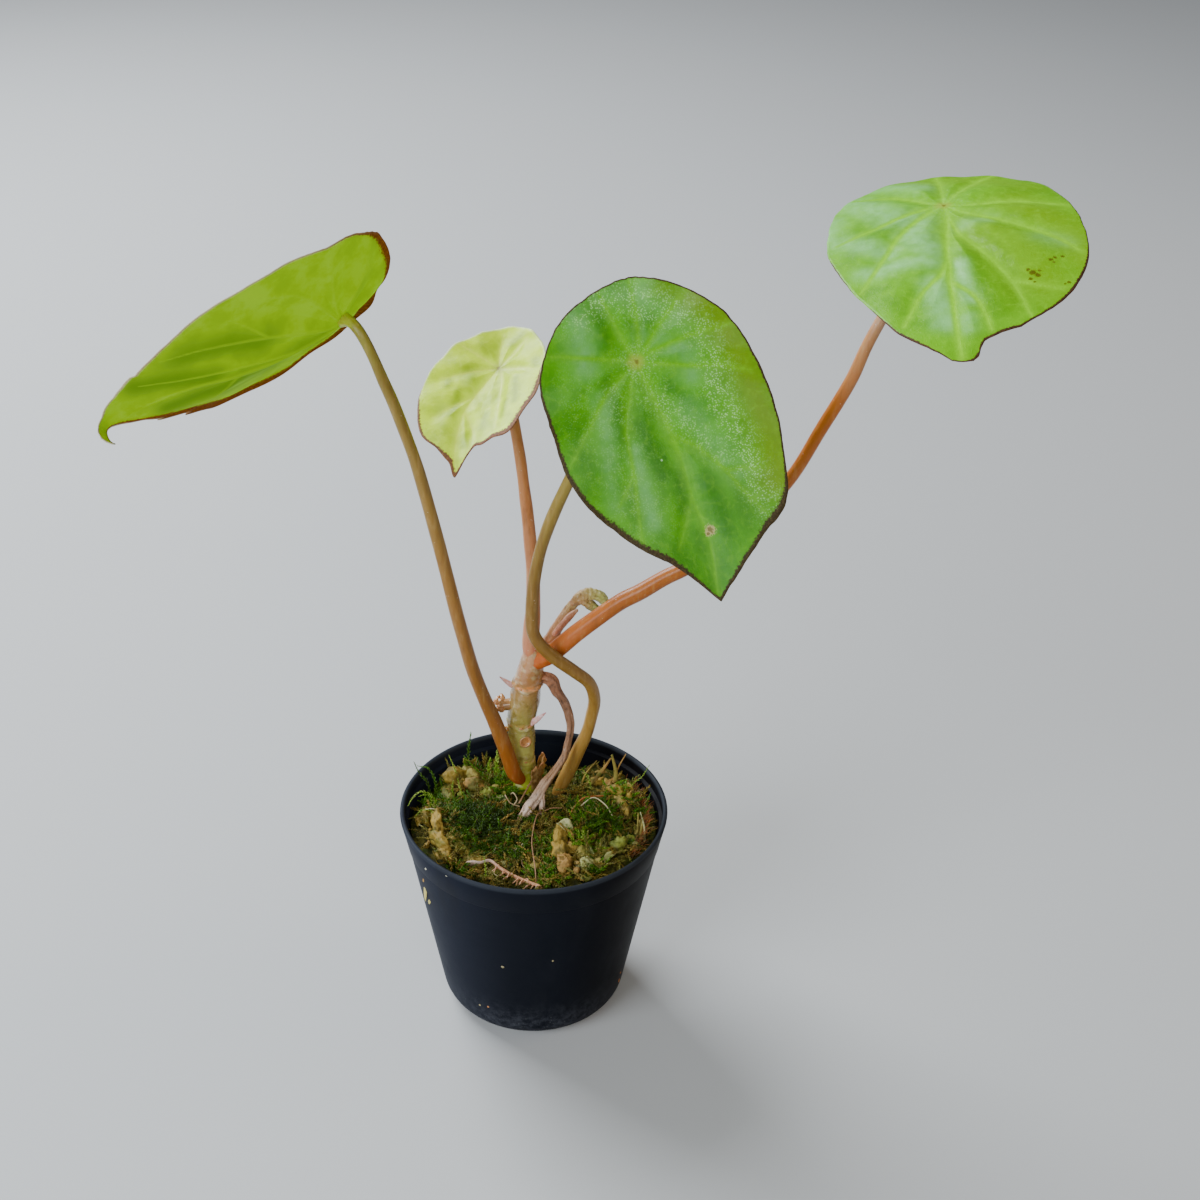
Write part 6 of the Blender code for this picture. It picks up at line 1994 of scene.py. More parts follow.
def leaf_look(name, shape):
    """Waxy leaf skin with fine raised dots, spots and a brown margin, which lets light through."""
    tone = LEAF_TONES[name]
    look = Look(name)
    flat = look.combined(look.mark("u_mm"), look.mark("v_mm"), 0.0)
    under = look.mark("under")
    cloud = look.noise(9.0, 4, 0.6, at=flat)
    fine = look.noise(2.0, 5, 0.65, at=flat)
    dot = look.cells(0.56, at=flat)
    top = leaf_top(look, flat, tone, cloud, fine, dot)
    base = look.mix(under, top, leaf_underside(look, tone, cloud))
    for u, v, size, kind in shape["spots"]:
        place = (u * shape["length"] * 1000, v * shape["length"] * 1000)
        base = spot(look, base, flat, place, size, kind)
    brown = brown_share(look, flat)
    mottle = look.step(look.noise(0.6, 4, 0.7, at=flat), 0.42, 0.66)
    tint = look.mix(mottle, tone["brown"], tuple(2.6 * part for part in tone["brown"]))
    base = look.mix(brown, base, tint)
    # Painted highlight along the margin, where the rim highlights lie.
    base = look.mix(look.mark("rim"), base, tone["rim"])
    glow = look.mix(brown, look.mix(0.5, tone["glow"], base), (0.16, 0.045, 0.008))
    roughness = look.span(look.noise(1.6, 5, 0.7, at=flat), 0.24, 0.44)
    roughness = look.plus(roughness, look.times(brown, 0.25))
    roughness = look.plus(roughness, look.times(under, 0.35))
    skin = look.bump(look.step(dot, 0.45, 0.05), 0.00006, 0.55)
    skin = look.bump(look.noise(1.1, 4, at=flat), 0.00014, 0.5, over=skin)
    share = tone["glow_share"]
    return look.surface(base, roughness, skin, glow=glow, glow_share=share, Specular_IOR_Level=0.20)


def leaves():
    """The four leaf blades."""
    for number, (name, shape) in enumerate(LEAVES.items()):
        leaf = blade(shape, 4.0 * number)
        leaf.piece(name + "_blade", leaf_look(name, shape), LEAF_TONES[name]["slot"], [name])


def stalk_route(points, leaf):
    """The stalk's places up to the underside of its blade, flaring out just below it."""
    shape = LEAVES[leaf]
    up = leaf_axes(shape)[2]
    route = smooth_route(points, STALK_PLACES)
    depth = (route[:, :3] - np.array(shape["place"])) @ up + BLADE_THICKNESS / 2
    beyond = np.nonzero(depth > 0)[0]
    beyond = beyond[beyond > STALK_PLACES // 2]
    if len(beyond):
        last = beyond[0]
        share = depth[last - 1] / (depth[last - 1] - depth[last])
        end = route[last - 1] + share * (route[last] - route[last - 1])
        route = np.concatenate([route[:last], [end]])
    to_end = np.linalg.norm(route[:, :3] - route[-1, :3], axis=1)
    route[:, 3] *= 1 + STALK_FLARE * np.exp(-((to_end / STALK_FLARE_LENGTH) ** 2))
    return route, up


def stalk_relief(seed):
    """Faint ribs along a stalk, and slow swellings."""

    def relief(along, angle):
        ribs = 0.018 * np.sin(9 * angle + 3 * np.sin(5 * along + seed))
        ribs = ribs + 0.012 * np.sin(5 * angle + 7 * along)
        slow = 0.03 * np.sin(21 * along + seed) * np.sin(2 * angle + seed) + 0.02 * np.sin(47 * along + seed)
        return 1 + ribs + slow

    return relief


def stalks():
    """The four leaf stalks."""
    for number, (name, stalk) in enumerate(STALKS.items()):
        route, up = stalk_route(stalk["route"], stalk["leaf"])
        points, faces = tube(route, STALK_SIDES, stalk_relief(number), last_way=up)
        shape = Shape()
        shape.add(points, faces, along=tube_along(route, STALK_SIDES))
        shape.piece(name + "_stalk", stalk_look(name, stalk), stalk["slot"], [name])


def stalk_look(name, stalk):
    """A juicy stalk: colour that changes along it, faint streaks, pale specks and a soft gloss."""
    look = Look(name)
    along = look.mark("along")
    streak = look.noise(0.0016, 4, 0.6, at=look.stretched(1.0, 1.0, 0.16))
    blotch = look.noise(0.007, 3)
    colour = look.ramp(look.plus(along, look.span(blotch, -0.05, 0.05)), stalk["stops"])
    colour = look.mix(look.step(streak, 0.50, 0.75, 0.22), colour, (0.55, 0.36, 0.14))
    colour = look.mix(look.step(streak, 0.48, 0.25, 0.45), colour, (0.14, 0.055, 0.012))
    speck = look.step(look.cells(0.0013), 0.16, 0.06)
    speck = look.times(speck, look.step(look.noise(0.003, 2), 0.52, 0.62))
    colour = look.mix(look.times(speck, 0.55), colour, (0.72, 0.68, 0.55))
    roughness = look.span(look.noise(0.002, 4), 0.28, 0.48)
    normal = look.bump(look.noise(0.0009, 4, at=look.stretched(1.0, 1.0, 0.4)), 0.00012, 0.5)
    return look.surface(
        colour,
        roughness,
        normal,
        Subsurface_Weight=0.25,
        Subsurface_Radius=(0.9, 0.4, 0.15),
        Subsurface_Scale=0.002,
        Specular_IOR_Level=0.30,
    )


STEM_MIDDLE = smooth_route(STEM_ROUTE, STEM_PLACES)


def stem_middle(height):
    """The stem's middle and radius at this height."""
    return STEM_MIDDLE[np.argmin(np.abs(STEM_MIDDLE[:, 2] - height))]


def stem_relief(heights):
    """Swollen, cracked rings where leaves stood, with a knobbly skin between."""

    def relief(along, angle):
        z = heights[:, None]
        total = np.ones((len(heights), angle.shape[1]))
        for number, (height, rise, _) in enumerate(NODE_RINGS):
            tilt = 0.0009 * np.sin(angle + 1.3 * number) + 0.0003 * np.sin(3 * angle + number)
            away = z - height - tilt
            total = total + rise / STEM_RADIUS * np.exp(-((away / RING_WIDTH) ** 2))
            for place, width, depth in RING_CRACKS:
                total = total - depth * np.exp(-(((away - place) / width) ** 2))
        knobs = 0.035 * np.sin(2 * angle + 300 * z) * np.sin(160 * z)
        return total + knobs + 0.02 * np.sin(3 * angle - 410 * z)

    return relief


def disc_on(foot, tip, radius, rim, dip, seed):
    """A short knob from foot to tip, with a raised rim and a sunken crumbly middle at its end."""
    foot, tip = np.array(foot), np.array(tip)
    way = unit(tip - foot)
    length = np.linalg.norm(tip - foot)
    profile = [(0.0, 1.05), (0.55, 1.02), (0.82, 0.98), (0.95, 1.0 + rim * 0.5), (1.0, 0.98 + rim)]
    profile += [(1.0 + dip * 0.15, 0.82), (1.0 - dip * 0.5, 0.62), (1.0 - dip, 0.38), (1.0 - dip * 0.8, 0.15)]
    side = unit(np.cross(way, [0.0, 0.3, 1.0]))
    other = np.cross(way, side)
    angle = np.linspace(0.0, 2 * math.pi, KNOB_SIDES, endpoint=False)
    ring = np.cos(angle)[:, None] * side + np.sin(angle)[:, None] * other
    points = []
    middle = []
    for out, size in profile:
        at = foot + way * (length + (out - 1.0) * radius if out > 0.9 else length * out)
        points.append(at + radius * size * ring)
        middle.append(at)
    points = np.concatenate([*points, [middle[0]], [middle[-1]]])
    points += way * 0.00018 * rough(points, 0.0008, 3, seed)[:, None]
    points += side * 0.00012 * rough(points, 0.0009, 2, seed + 4)[:, None]
    faces = grid_faces(len(profile), KNOB_SIDES) + end_fans(len(profile), KNOB_SIDES)
    crumbly = np.repeat([max(0.0, 1.15 - size) for out, size in profile], KNOB_SIDES)
    return points, faces, np.concatenate([crumbly, [0.0, 1.0]])


def stem():
    """The upright stem with its cut stub, scars and node rings."""
    route = domed(smooth_route(STEM_ROUTE, STEM_PLACES))
    points, faces = tube(route, STEM_SIDES, stem_relief(route[:, 2]))
    outward = unit(points - np.array([stem_middle(point[2])[:3] for point in points]))
    points = points + outward * (0.00012 * rough(points, 0.0022, 3, 2.0))[:, None]
    shape = Shape()
    shape.add(points, faces, crust=0.0)
    for number, (foot, tip, radius) in enumerate([STUB, *SCARS]):
        points, faces, crust = disc_on(foot, tip, radius * 0.92, 0.10, 0.35, 3.0 * number)
        shape.add(points, faces, crust=0.35 + 0.65 * crust)
    stub_crumbs(shape)
    for number, (height, _, strength) in enumerate(NODE_RINGS):
        skin_flakes(shape, height, number, int(FLAKE_COUNT * strength))
    shape.piece("rhizome_stem", stem_look(), "stem", ["stem"])


def stub_crumbs(shape):
    """Crumbly tissue round the end of the broken stub."""
    draws = random.Random(STUB_SEED)
    tip, radius = np.array(STUB[1]), STUB[2]
    for _ in range(STUB_CRUMBS):
        size = radius * draws.uniform(0.7, 1.1)
        points, faces = lump(size * 1.6, size, size * 0.8, draws.uniform(0.0, 50.0))
        spread = [draws.uniform(-0.3, 0.5), draws.uniform(-0.8, 0.8), draws.uniform(-0.5, 0.8)]
        place = tip + radius * np.array(spread)
        crumb = laid(points, place, draws.uniform(0.0, 360.0), draws.uniform(-50.0, 50.0))
        shape.add(crumb, faces, crust=draws.uniform(0.5, 1.0))


def skin_flakes(shape, height, number, count):
    """Curled flakes of old skin along a node ring."""
    draws = random.Random(FLAKE_SEED + number)
    middle = stem_middle(height)
    for _ in range(count):
        angle = draws.uniform(-2.9, 0.6)
        out = np.array([math.cos(angle), math.sin(angle), 0.0])
        level = np.array([-math.sin(angle), math.cos(angle), 0.0])
        at = middle[:3] + out * (middle[3] + 0.00030) + np.array([0.0, 0.0, draws.uniform(-0.0006, 0.0006)])
        length, width = draws.uniform(0.0012, 0.0026), draws.uniform(0.0004, 0.0008)
        points, faces = lump(length, width, 0.00055, draws.uniform(0, 50))
        tilt = draws.uniform(-0.35, 0.35)
        along = level * math.cos(tilt) + np.array([0.0, 0.0, math.sin(tilt)])
        across = np.cross(out, along)
        flake = at + points[:, :1] * along + points[:, 1:2] * across + points[:, 2:] * out
        shape.add(flake, faces, crust=0.75)


def stem_look():
    """Glossy olive-green stem that turns orange at its rings and scars and reddish at its top."""
    look = Look("stem")
    height = look.axis("Z")
    uneven = look.plus(height, look.span(look.noise(0.004, 3), -0.004, 0.004))
    above = look.maths("SUBTRACT", uneven, STEM_COLOUR_FOOT)
    rise = look.maths("DIVIDE", above, STEM_COLOUR_TOP - STEM_COLOUR_FOOT)
    colour = look.ramp(rise, RAMPS["stem"])
    colour = look.mix(look.step(look.noise(0.0030, 4), 0.52, 0.70, 0.6), colour, (0.60, 0.52, 0.30))
    colour = look.mix(look.step(look.noise(0.004, 3), 0.50, 0.30, 0.65), colour, (0.17, 0.10, 0.012))
    shaded = look.step(look.axis("X"), -0.0030, 0.0030)
    shaded = look.times(shaded, look.step(look.noise(0.003, 3), 0.25, 0.6))
    shaded = look.times(shaded, look.step(rise, 0.10, 0.35, 0.75))
    colour = look.mix(shaded, colour, (0.25, 0.12, 0.030))
    orange = look.mix(look.noise(0.0014, 4), (0.52, 0.13, 0.02), (0.60, 0.28, 0.08))
    scar = look.mix(look.noise(0.0009, 4), (0.42, 0.14, 0.03), (0.58, 0.30, 0.11))
    for foot, tip, radius in SCARS:
        apart = look.distance_to(tip)
        colour = look.mix(look.step(apart, 1.1 * radius, 0.8 * radius), colour, scar)
    for place, _, strength in NODE_RINGS:
        away = look.maths("ABSOLUTE", look.maths("SUBTRACT", height, place))
        away = look.plus(away, look.span(look.noise(0.0016, 4, 0.65), -0.0018, 0.0014))
        broken = look.step(look.noise(0.0028, 3), 0.44, 0.54)
        ring = look.times(look.step(away, 0.0011, 0.0003, strength), broken)
        colour = look.mix(ring, colour, orange)
    crust = look.mark("crust")
    crumbly = look.mix(look.noise(0.0007, 4, 0.7), (0.20, 0.07, 0.018), (0.66, 0.30, 0.09))
    colour = look.mix(look.step(crust, 0.10, 0.60), colour, crumbly)
    speck = look.step(look.cells(0.0010), 0.17, 0.07, 0.7)
    speck = look.times(speck, look.step(look.noise(0.004, 2), 0.54, 0.62))
    colour = look.mix(speck, colour, (0.70, 0.62, 0.42))
    roughness = look.plus(look.span(look.noise(0.0016, 4), 0.16, 0.34), look.times(crust, 0.4))
    skin = look.bump(look.noise(0.0010, 5, 0.6), 0.00022, 0.6)
    return look.surface(
        colour,
        roughness,
        skin,
        Subsurface_Weight=0.2,
        Subsurface_Radius=(0.9, 0.5, 0.15),
        Subsurface_Scale=0.002,
        Coat_Weight=0.8,
    )


def ribbed(count, depth, twist, seed):
    """Lengthwise folds for a dry root or stalk."""

    def relief(along, angle):
        folds = depth * np.sin(count * angle + twist * along + seed)
        folds = folds + 0.6 * depth * np.sin((count + 2) * angle - 1.6 * twist * along + 2 * seed)
        pinches = 0.5 * depth * np.sin(60 * along + seed + np.sin(2 * angle)) * np.sin(23 * along)
        return 1 + folds + pinches

    return relief


def dry_root():
    """The forked root in the air, with its toe in the moss."""
    shape = Shape()
    for number, (points, count) in enumerate(((DRY_ROOT, 150), (DRY_ROOT_TOE, 40))):
        route = domed(smooth_route(points, count))
        route[:, 3] *= ROOT_SLIMMING
        wrinkled, faces = tube(route, ROOT_SIDES, ribbed(5, 0.13, 11.0, number))
        shape.add(wrinkled, faces, along=tube_along(route, ROOT_SIDES) if number == 0 else 0.9)
    shape.piece("dry_root_wrinkled", dry_root_look(), "root", ["dry_root"])


def surface_root():
    """The root on the moss, with its comb of teeth."""
    shape = Shape()
    route = domed(smooth_route(SURFACE_ROOT, 90))
    route[:, 3] *= SURFACE_ROOT_SLIMMING
    knobbly, faces = tube(route, SURFACE_ROOT_SIDES, ribbed(3, 0.14, 12.0, 1.0))
    shape.add(knobbly, faces, along=tube_along(route, SURFACE_ROOT_SIDES))
    comb_teeth(shape)
    shape.piece("surface_root_comb", surface_root_look(), "root", ["surface_root"])


def comb_teeth(shape):
    """Thin teeth along the root on the moss, most of them on one side."""
    comb = smooth_route(SURFACE_ROOT, COMB_PLACES)
    draws = random.Random(COMB_SEED)
    for number in range(COMB_FIRST, COMB_PLACES):
        foot = comb[number, :3]
        side = -1 if number % 5 == 2 else 1
        lean = draws.uniform(-0.4, 0.4)
        length = COMB_LENGTH * draws.uniform(0.45, 1.25)
        way = unit(np.array([-0.35 + lean, -0.75 * side, draws.uniform(-0.05, 0.35)]))
        bend = foot + way * length * 0.55 + np.array([0.0, 0.0, 0.0002])
        end = foot + way * length + np.array([-0.0003, 0.0, -0.0004])
        tooth = smooth_route([(*foot, 0.00030), (*bend, 0.00025), (*end, 0.00010)], 8)
        points, faces = tube(domed(tooth, 3), 8)
        shape.add(points, faces, along=0.3 + draws.uniform(0.0, 0.5))


def dry_root_look():
    """Grey-pink papery root, pale on its wrinkle ridges as painted highlight and dark brown in its folds as
    painted shade.
    """
    look = Look("dry_root")
    along = look.mark("along")
    colour = look.ramp(look.plus(along, look.span(look.noise(0.004, 3), -0.1, 0.1)), RAMPS["dry_root"])
    wrinkle = look.noise(0.0011, 5, 0.65, at=look.stretched(1.0, 1.0, 0.45))
    # Painted highlight on the wrinkle ridges.
    colour = look.mix(look.step(wrinkle, 0.55, 0.76, 0.50), colour, (0.50, 0.37, 0.28))
    # Painted shade in the folds.
    colour = look.mix(look.step(wrinkle, 0.48, 0.30, 0.8), colour, (0.055, 0.024, 0.012))
    return look.surface(colour, look.span(wrinkle, 0.35, 0.75), look.bump(wrinkle, 0.0006, 0.8))


def surface_root_look():
    """Pinkish root, greyer at its thick end."""
    look = Look("surface_root")
    colour = look.ramp(look.mark("along"), RAMPS["surface_root"])
    grain = look.noise(0.0008, 4, 0.6)
    colour = look.mix(look.step(grain, 0.45, 0.75, 0.6), colour, (0.66, 0.42, 0.26))
    return look.surface(colour, 0.55, look.bump(grain, 0.0002, 0.6))


def leaflet(length, width, cup, curl, seed):
    """Points and faces of a thin crumpled leaflet, closed all round: its foot at the origin, along +X."""
    along = np.linspace(0.0, 1.0, LEAFLET_ROWS)[:, None] * np.ones((1, LEAFLET_COLUMNS))
    across = np.ones((LEAFLET_ROWS, 1)) * np.linspace(-1.0, 1.0, LEAFLET_COLUMNS)[None, :]
    half = width / 2 * (0.25 + 0.75 * np.sin(math.pi * np.clip(along * 0.94 + 0.04, 0, 1)) ** 0.7)
    half *= 1 - 0.75 * np.clip((along - 0.75) / 0.25, 0, 1) ** 2
    bend = curl * along
    x = length * np.sin(bend) / curl
    z = length * (1 - np.cos(bend)) / curl + cup * half * across**2
    points = np.stack([x, half * across, z], axis=-1).reshape(-1, 3)
    for axis, shift in enumerate((0.0, 7.0, 13.0)):
        points[:, axis] += LEAFLET_CRUMPLE * width * rough(points, width * 0.8, 2, seed + shift)
    return closed_sheet(points.reshape(LEAFLET_ROWS, LEAFLET_COLUMNS, 3), LEAFLET_THICKNESS)


def laid(points, place, heading, pitch):
    """Turns points made along +X to a heading round Z and a pitch upwards, in degrees, and moves them."""
    turn = Matrix.Rotation(math.radians(heading), 3, "Z") @ Matrix.Rotation(math.radians(-pitch), 3, "Y")
    return points @ np.array(turn).T + np.array(place)


def scales():
    """The two pink pointed scales on the stem."""
    for name, (foot, tip, radius, shift) in SCALES.items():
        foot, tip = np.array(foot), np.array(tip)
        middle = (foot + tip) / 2 + np.array([0.0, 0.0, -0.0006])
        route = domed(smooth_route([(*foot, radius), (*middle, radius * 0.72), (*tip, 0.0002)], 30))
        points, faces = tube(route, SCALE_SIDES, ribbed(3, 0.12, 2.0, shift))
        way = unit(tip - foot)
        level = unit(np.cross(way, [0.0, -1.0, 0.25]))
        thin = np.cross(way, level)
        points = points - SCALE_FLATNESS * ((points - foot) @ thin)[:, None] * thin
        shape = Shape()
        shape.add(points, faces, along=tube_along(route, SCALE_SIDES))
        shape.piece(name + "_scale", scale_look(name), "scale", [name])


def scale_look(name):
    """Pink waxy scale with paler streaks."""
    look = Look(name)
    colour = look.ramp(look.mark("along"), RAMPS["scale"])
    colour = look.mix(look.step(look.noise(0.001, 4), 0.45, 0.7, 0.6), colour, (0.80, 0.62, 0.58))
    return look.surface(colour, 0.42, look.bump(look.noise(0.0006, 3), 0.00015, 0.6), Subsurface_Weight=0.1)


def sheath_place(share, across):
    """One place on the sheath: its share of the height, and how far round it lies, from 0 to 1."""
    torn = 0.0010 * math.sin(17 * across) + 0.0007 * math.sin(41 * across + 1.0)
    height = BRACT_FOOT + (BRACT_HEIGHT + torn) * share - 0.004 * share * (2 * across - 1) ** 2
    middle = stem_middle(height)
    angle = math.radians(BRACT_FROM + (BRACT_TO - BRACT_FROM) * across)
    flare = 0.4 + 0.6 * math.sin(math.pi * across)
    radius = BRACT_RADIUS + 0.0004 + BRACT_FLARE * share * flare
    radius += 0.00028 * share * math.sin(34 * across + 2 * share) + 0.0002 * math.sin(22 * share + 9 * across)
    return middle[0] + radius * math.cos(angle), middle[1] + radius * math.sin(angle), height


def sheath():
    """The papery sheath round the stem's foot, wrinkled and torn at its top."""
    shares = np.linspace(0.0, 1.0, SHEATH_ROWS)
    grid = np.array([[sheath_place(s, a) for a in np.linspace(1.0, 0.0, SHEATH_COLUMNS)] for s in shares])
    points, faces = closed_sheet(grid, SHEATH_THICKNESS)
    shape = Shape()
    shape.add(points, faces, along=np.tile(np.repeat(shares, SHEATH_COLUMNS), 2))
    shape.piece("papery_sheath", sheath_look(), "dry_sheath", ["dry_bract"])


def sheath_look():
    """Brown papery fibres that let light through, orange at the torn edge."""
    look = Look("dry_sheath")
    fibre = look.noise(0.0012, 5, 0.65, at=look.stretched(1.0, 1.0, 0.35))
    colour = look.mix(look.step(fibre, 0.35, 0.65), (0.22, 0.13, 0.035), (0.38, 0.25, 0.085))
    # The palest streaks, on the raised fibres, are painted highlight.
    colour = look.mix(look.step(fibre, 0.60, 0.78, 0.8), colour, (0.56, 0.41, 0.22))
    rim = look.times(look.step(look.mark("along"), 0.88, 1.0), look.step(look.noise(0.0015, 3), 0.35, 0.6))
    colour = look.mix(rim, colour, (0.66, 0.30, 0.12))
    normal = look.bump(fibre, 0.0004, 0.7)
    return look.surface(colour, 0.45, normal, glow=(0.60, 0.34, 0.10), glow_share=0.45)


def young_shoot():
    """The bent young shoot: its stalk, its rolled leaf and its thin scale."""
    for node, (name, slot, tubes, sides, folds, crumpling) in SHOOT_PIECES.items():
        shape = Shape()
        for points, count, seed in tubes:
            route = domed(smooth_route(points, count))
            skin, faces = tube(route, sides, ribbed(*folds, seed))
            if crumpling:
                skin += crumpling * rough(skin, 0.0022, 3, seed)[:, None] * np.array([0.4, 0.4, 1.0])
            shape.add(skin, faces, along=tube_along(route, sides))
        shape.piece(name, shoot_look(node), slot, [node])


def shoot_look(name):
    """Soft downy young growth, striped along."""
    look = Look(name)
    streak = look.noise(0.0008, 5, 0.65, at=look.stretched(1.0, 1.0, 0.5))
    colour = look.ramp(look.mark("along"), RAMPS[name])
    colour = look.mix(look.step(streak, 0.54, 0.76, 0.6), colour, (0.66, 0.60, 0.46))
    colour = look.mix(look.step(streak, 0.48, 0.30, 0.75), colour, (0.10, 0.035, 0.012))
    return look.surface(colour, 0.5, look.bump(streak, 0.0004, 0.7), Sheen_Weight=0.15)


def ground_height(x, y):
    """Height of the medium's top over a place, without its fine roughness."""
    height = MEDIUM_HEIGHT
    for mound_x, mound_y, radius, rise in MOUNDS:
        height += rise * math.exp(-((x - mound_x) ** 2 + (y - mound_y) ** 2) / (2 * radius**2))
    return height


def ground_ring(radius, height):
    """Places of one level ring round the pot's axis."""
    angles = np.linspace(0.0, 2 * math.pi, MEDIUM_SECTORS, endpoint=False)
    level = np.full(MEDIUM_SECTORS, height)
    return np.stack([radius * np.cos(angles), radius * np.sin(angles), level], axis=-1)


def ground():
    """The dark peaty ground under the moss: a rough top in the pot, and a plain body below it."""
    rim = inner_radius(MEDIUM_HEIGHT) - GAP
    rings = [ground_ring(rim * number / MEDIUM_RINGS, 0.0) for number in range(1, MEDIUM_RINGS + 1)]
    flat = np.concatenate(rings)
    top = flat.copy()
    top[:, 2] = [ground_height(x, y) for x, y, _ in flat]
    top[:, 2] += 0.0014 * rough(flat, 0.006, 4, 1.0) + 0.0009 * np.abs(rough(flat, 0.0018, 3, 8.0))
    top[-MEDIUM_SECTORS:, 2] = np.minimum(top[-MEDIUM_SECTORS:, 2], LEDGE_HEIGHT - 0.0006)
    below = [(inner_radius(BODY_TOP) - GAP, BODY_TOP)]
    below += reversed([(radius - GAP, height + GAP) for radius, height in corner(WALL, FLOOR_HEIGHT, 4)])
    middles = [[0.0, 0.0, ground_height(0.0, 0.0)], [0.0, 0.0, FLOOR_HEIGHT + GAP]]
    points = np.concatenate([top, *[ground_ring(*ring) for ring in below], middles])
    rows = MEDIUM_RINGS + len(below)
    faces = grid_faces(rows, MEDIUM_SECTORS) + end_fans(rows, MEDIUM_SECTORS)
    shape = Shape()
    shape.add(points, [face[::-1] for face in faces])
    shape.piece("sphagnum_ground", ground_look(), "sphagnum", ["sphagnum_medium"])


def ground_look():
    """Dark peat with lighter crumbs and a green film."""
    look = Look("peat")
    grain = look.noise(0.0024, 6, 0.68)
    colour = look.ramp(grain, RAMPS["peat"])
    green = look.step(look.noise(0.007, 3), 0.48, 0.62, 0.6)
    colour = look.mix(green, colour, (0.026, 0.050, 0.001))
    normal = look.bump(look.noise(0.0012, 5, 0.7), 0.0010, 0.9)
    return look.surface(colour, 0.75, normal, Specular_IOR_Level=0.1)


def chunk(length, width, height, seed):
    """A crumpled lump of dead moss, with soft folds, centred on the origin."""
    points, faces = lump(length, width, height, seed, 30, 20)
    folds = rough(points, width * 0.45, 3, seed + 2.0)
    creases = np.abs(rough(points, width * 0.26, 3, seed + 9.0))
    return points * (1.0 + 0.24 * folds - 0.28 * creases)[:, None], faces


def dry_moss():
    """Lumps, tatters, crumbs and straws of dead moss."""
    shape = Shape()
    dry_lumps(shape)
    tatters(shape)
    dry_crumbs(shape)
    straws(shape)
    shape.piece("dry_sphagnum", dry_moss_look("dry_sphagnum"), "sphagnum")


def dry_lumps(shape):
    """Crumpled lumps, placed one by one."""
    for number, (x, y, lift, length, width, height, heading, tint) in enumerate(CHUNKS):
        points, faces = chunk(length / 1000, width / 1000, height / 1000, number * 1.7)
        place = over_ground(x / 1000, y / 1000, (lift + CHUNK_STANDING * height) / 1000)
        shape.add(within_pot(laid(points, place, heading, 0.0)), faces, tint=tint)


def tatters(shape):
    """Single curled leaves, placed one by one."""
    for number, (x, y, lift, length, width, heading, pitch, cup, curl, tint) in enumerate(TATTERS):
        points, faces = leaflet(length / 1000, width / 1000, cup, -curl, number * 1.7)
        place = over_ground(x / 1000, y / 1000, lift / 1000)
        shape.add(within_pot(laid(points, place, heading, pitch)), faces, tint=tint)


def dry_crumbs(shape):
    """Small crumbs strewn round the lumps by a seeded rule, in their tints."""
    draws = random.Random(CRUMB_SEED)
    for _ in range(CRUMB_COUNT):
        centre = draws.choice(CHUNKS)
        x = centre[0] / 1000 + draws.gauss(0.0, 0.0040)
        y = centre[1] / 1000 + draws.gauss(0.0, 0.0040)
        tint = min(max(centre[7] + draws.gauss(0.0, 0.05), 0.0), 1.0)
        length = draws.uniform(0.0014, 0.0034)
        width = length * draws.uniform(0.5, 0.9)
        seed, heading, pitch = draws.uniform(0.0, 90.0), draws.uniform(0.0, 360.0), draws.uniform(-30.0, 40.0)
        if math.hypot(x, y) > MOSS_LIMIT or near_stalk(x, y):
            continue
        points, faces = lump(length, width, 0.7 * width, seed, 14, 10)
        place = over_ground(x, y, draws.uniform(0.0, 0.0020))
        shape.add(within_pot(laid(points, place, heading, pitch)), faces, tint=tint)


def straws(shape):
    """Slightly bowed straws, placed one by one."""
    for number, (*ends, radius, tint) in enumerate(STRAWS):
        foot, tip = np.array(ends[:3]) / 1000, np.array(ends[3:]) / 1000
        middle = (foot + tip) / 2 + np.array([0.0006 * (-1) ** number, 0.0, 0.0004])
        line = [(*foot, radius / 1000), (*middle, radius / 1100), (*tip, radius / 2200)]
        points, faces = tube(domed(smooth_route(line, 16), 3), 10, ribbed(3, 0.16, 4.0, number))
        shape.add(points, faces, tint=tint)


def over_ground(x, y, lift):
    """The place this far over the ground."""
    return x, y, ground_height(x, y) + lift


def strewn(draws, reach, x=0.0, y=0.0):
    """A random place within this reach of (x, y)."""
    out = reach * math.sqrt(draws.random())
    turn = draws.uniform(0.0, 2 * math.pi)
    return x + out * math.cos(turn), y + out * math.sin(turn)


def leaning_route(foot, heading, lean, tall, arch):
    """Three places of a strand that leans from its foot in a soft arch, kept inside the pot."""
    foot = np.array(foot)
    way = leaning(heading, lean)
    middle = foot + way * tall * 0.5 + np.array([0.0, 0.0, tall * arch])
    return within_pot(np.array([foot, middle, foot + way * tall]))


def strands():
    """Sphagnum strands with their small leaves, lying all over the ground."""
    draws = random.Random(STRAND_SEED)
    shape = Shape()
    for _ in range(STRAND_COUNT):
        x, y = strewn(draws, STRAND_REACH)
        tint = draws.choice(STRAND_TINTS)
        lean, heading = draws.uniform(0.9, 1.5), draws.uniform(0.0, 2 * math.pi)
        tall, leaf_length = draws.uniform(0.0040, 0.0080), draws.uniform(*MOSS_LEAF_LENGTH)
        if near_stalk(x, y):
            continue
        route = leaning_route(over_ground(x, y, 0.0002), heading, lean, tall, 0.10)
        moss_sprig(shape, route, leaf_length, tint, draws)
    shape.piece("sphagnum_strands", dry_moss_look("sphagnum_strands"), "sphagnum")


def near_stalk(x, y):
    """Whether a place lies where a stalk, the stem or the dry root stands."""
    return any(math.hypot(x - spot_x, y - spot_y) < reach for spot_x, spot_y, reach in KEEP_CLEAR)


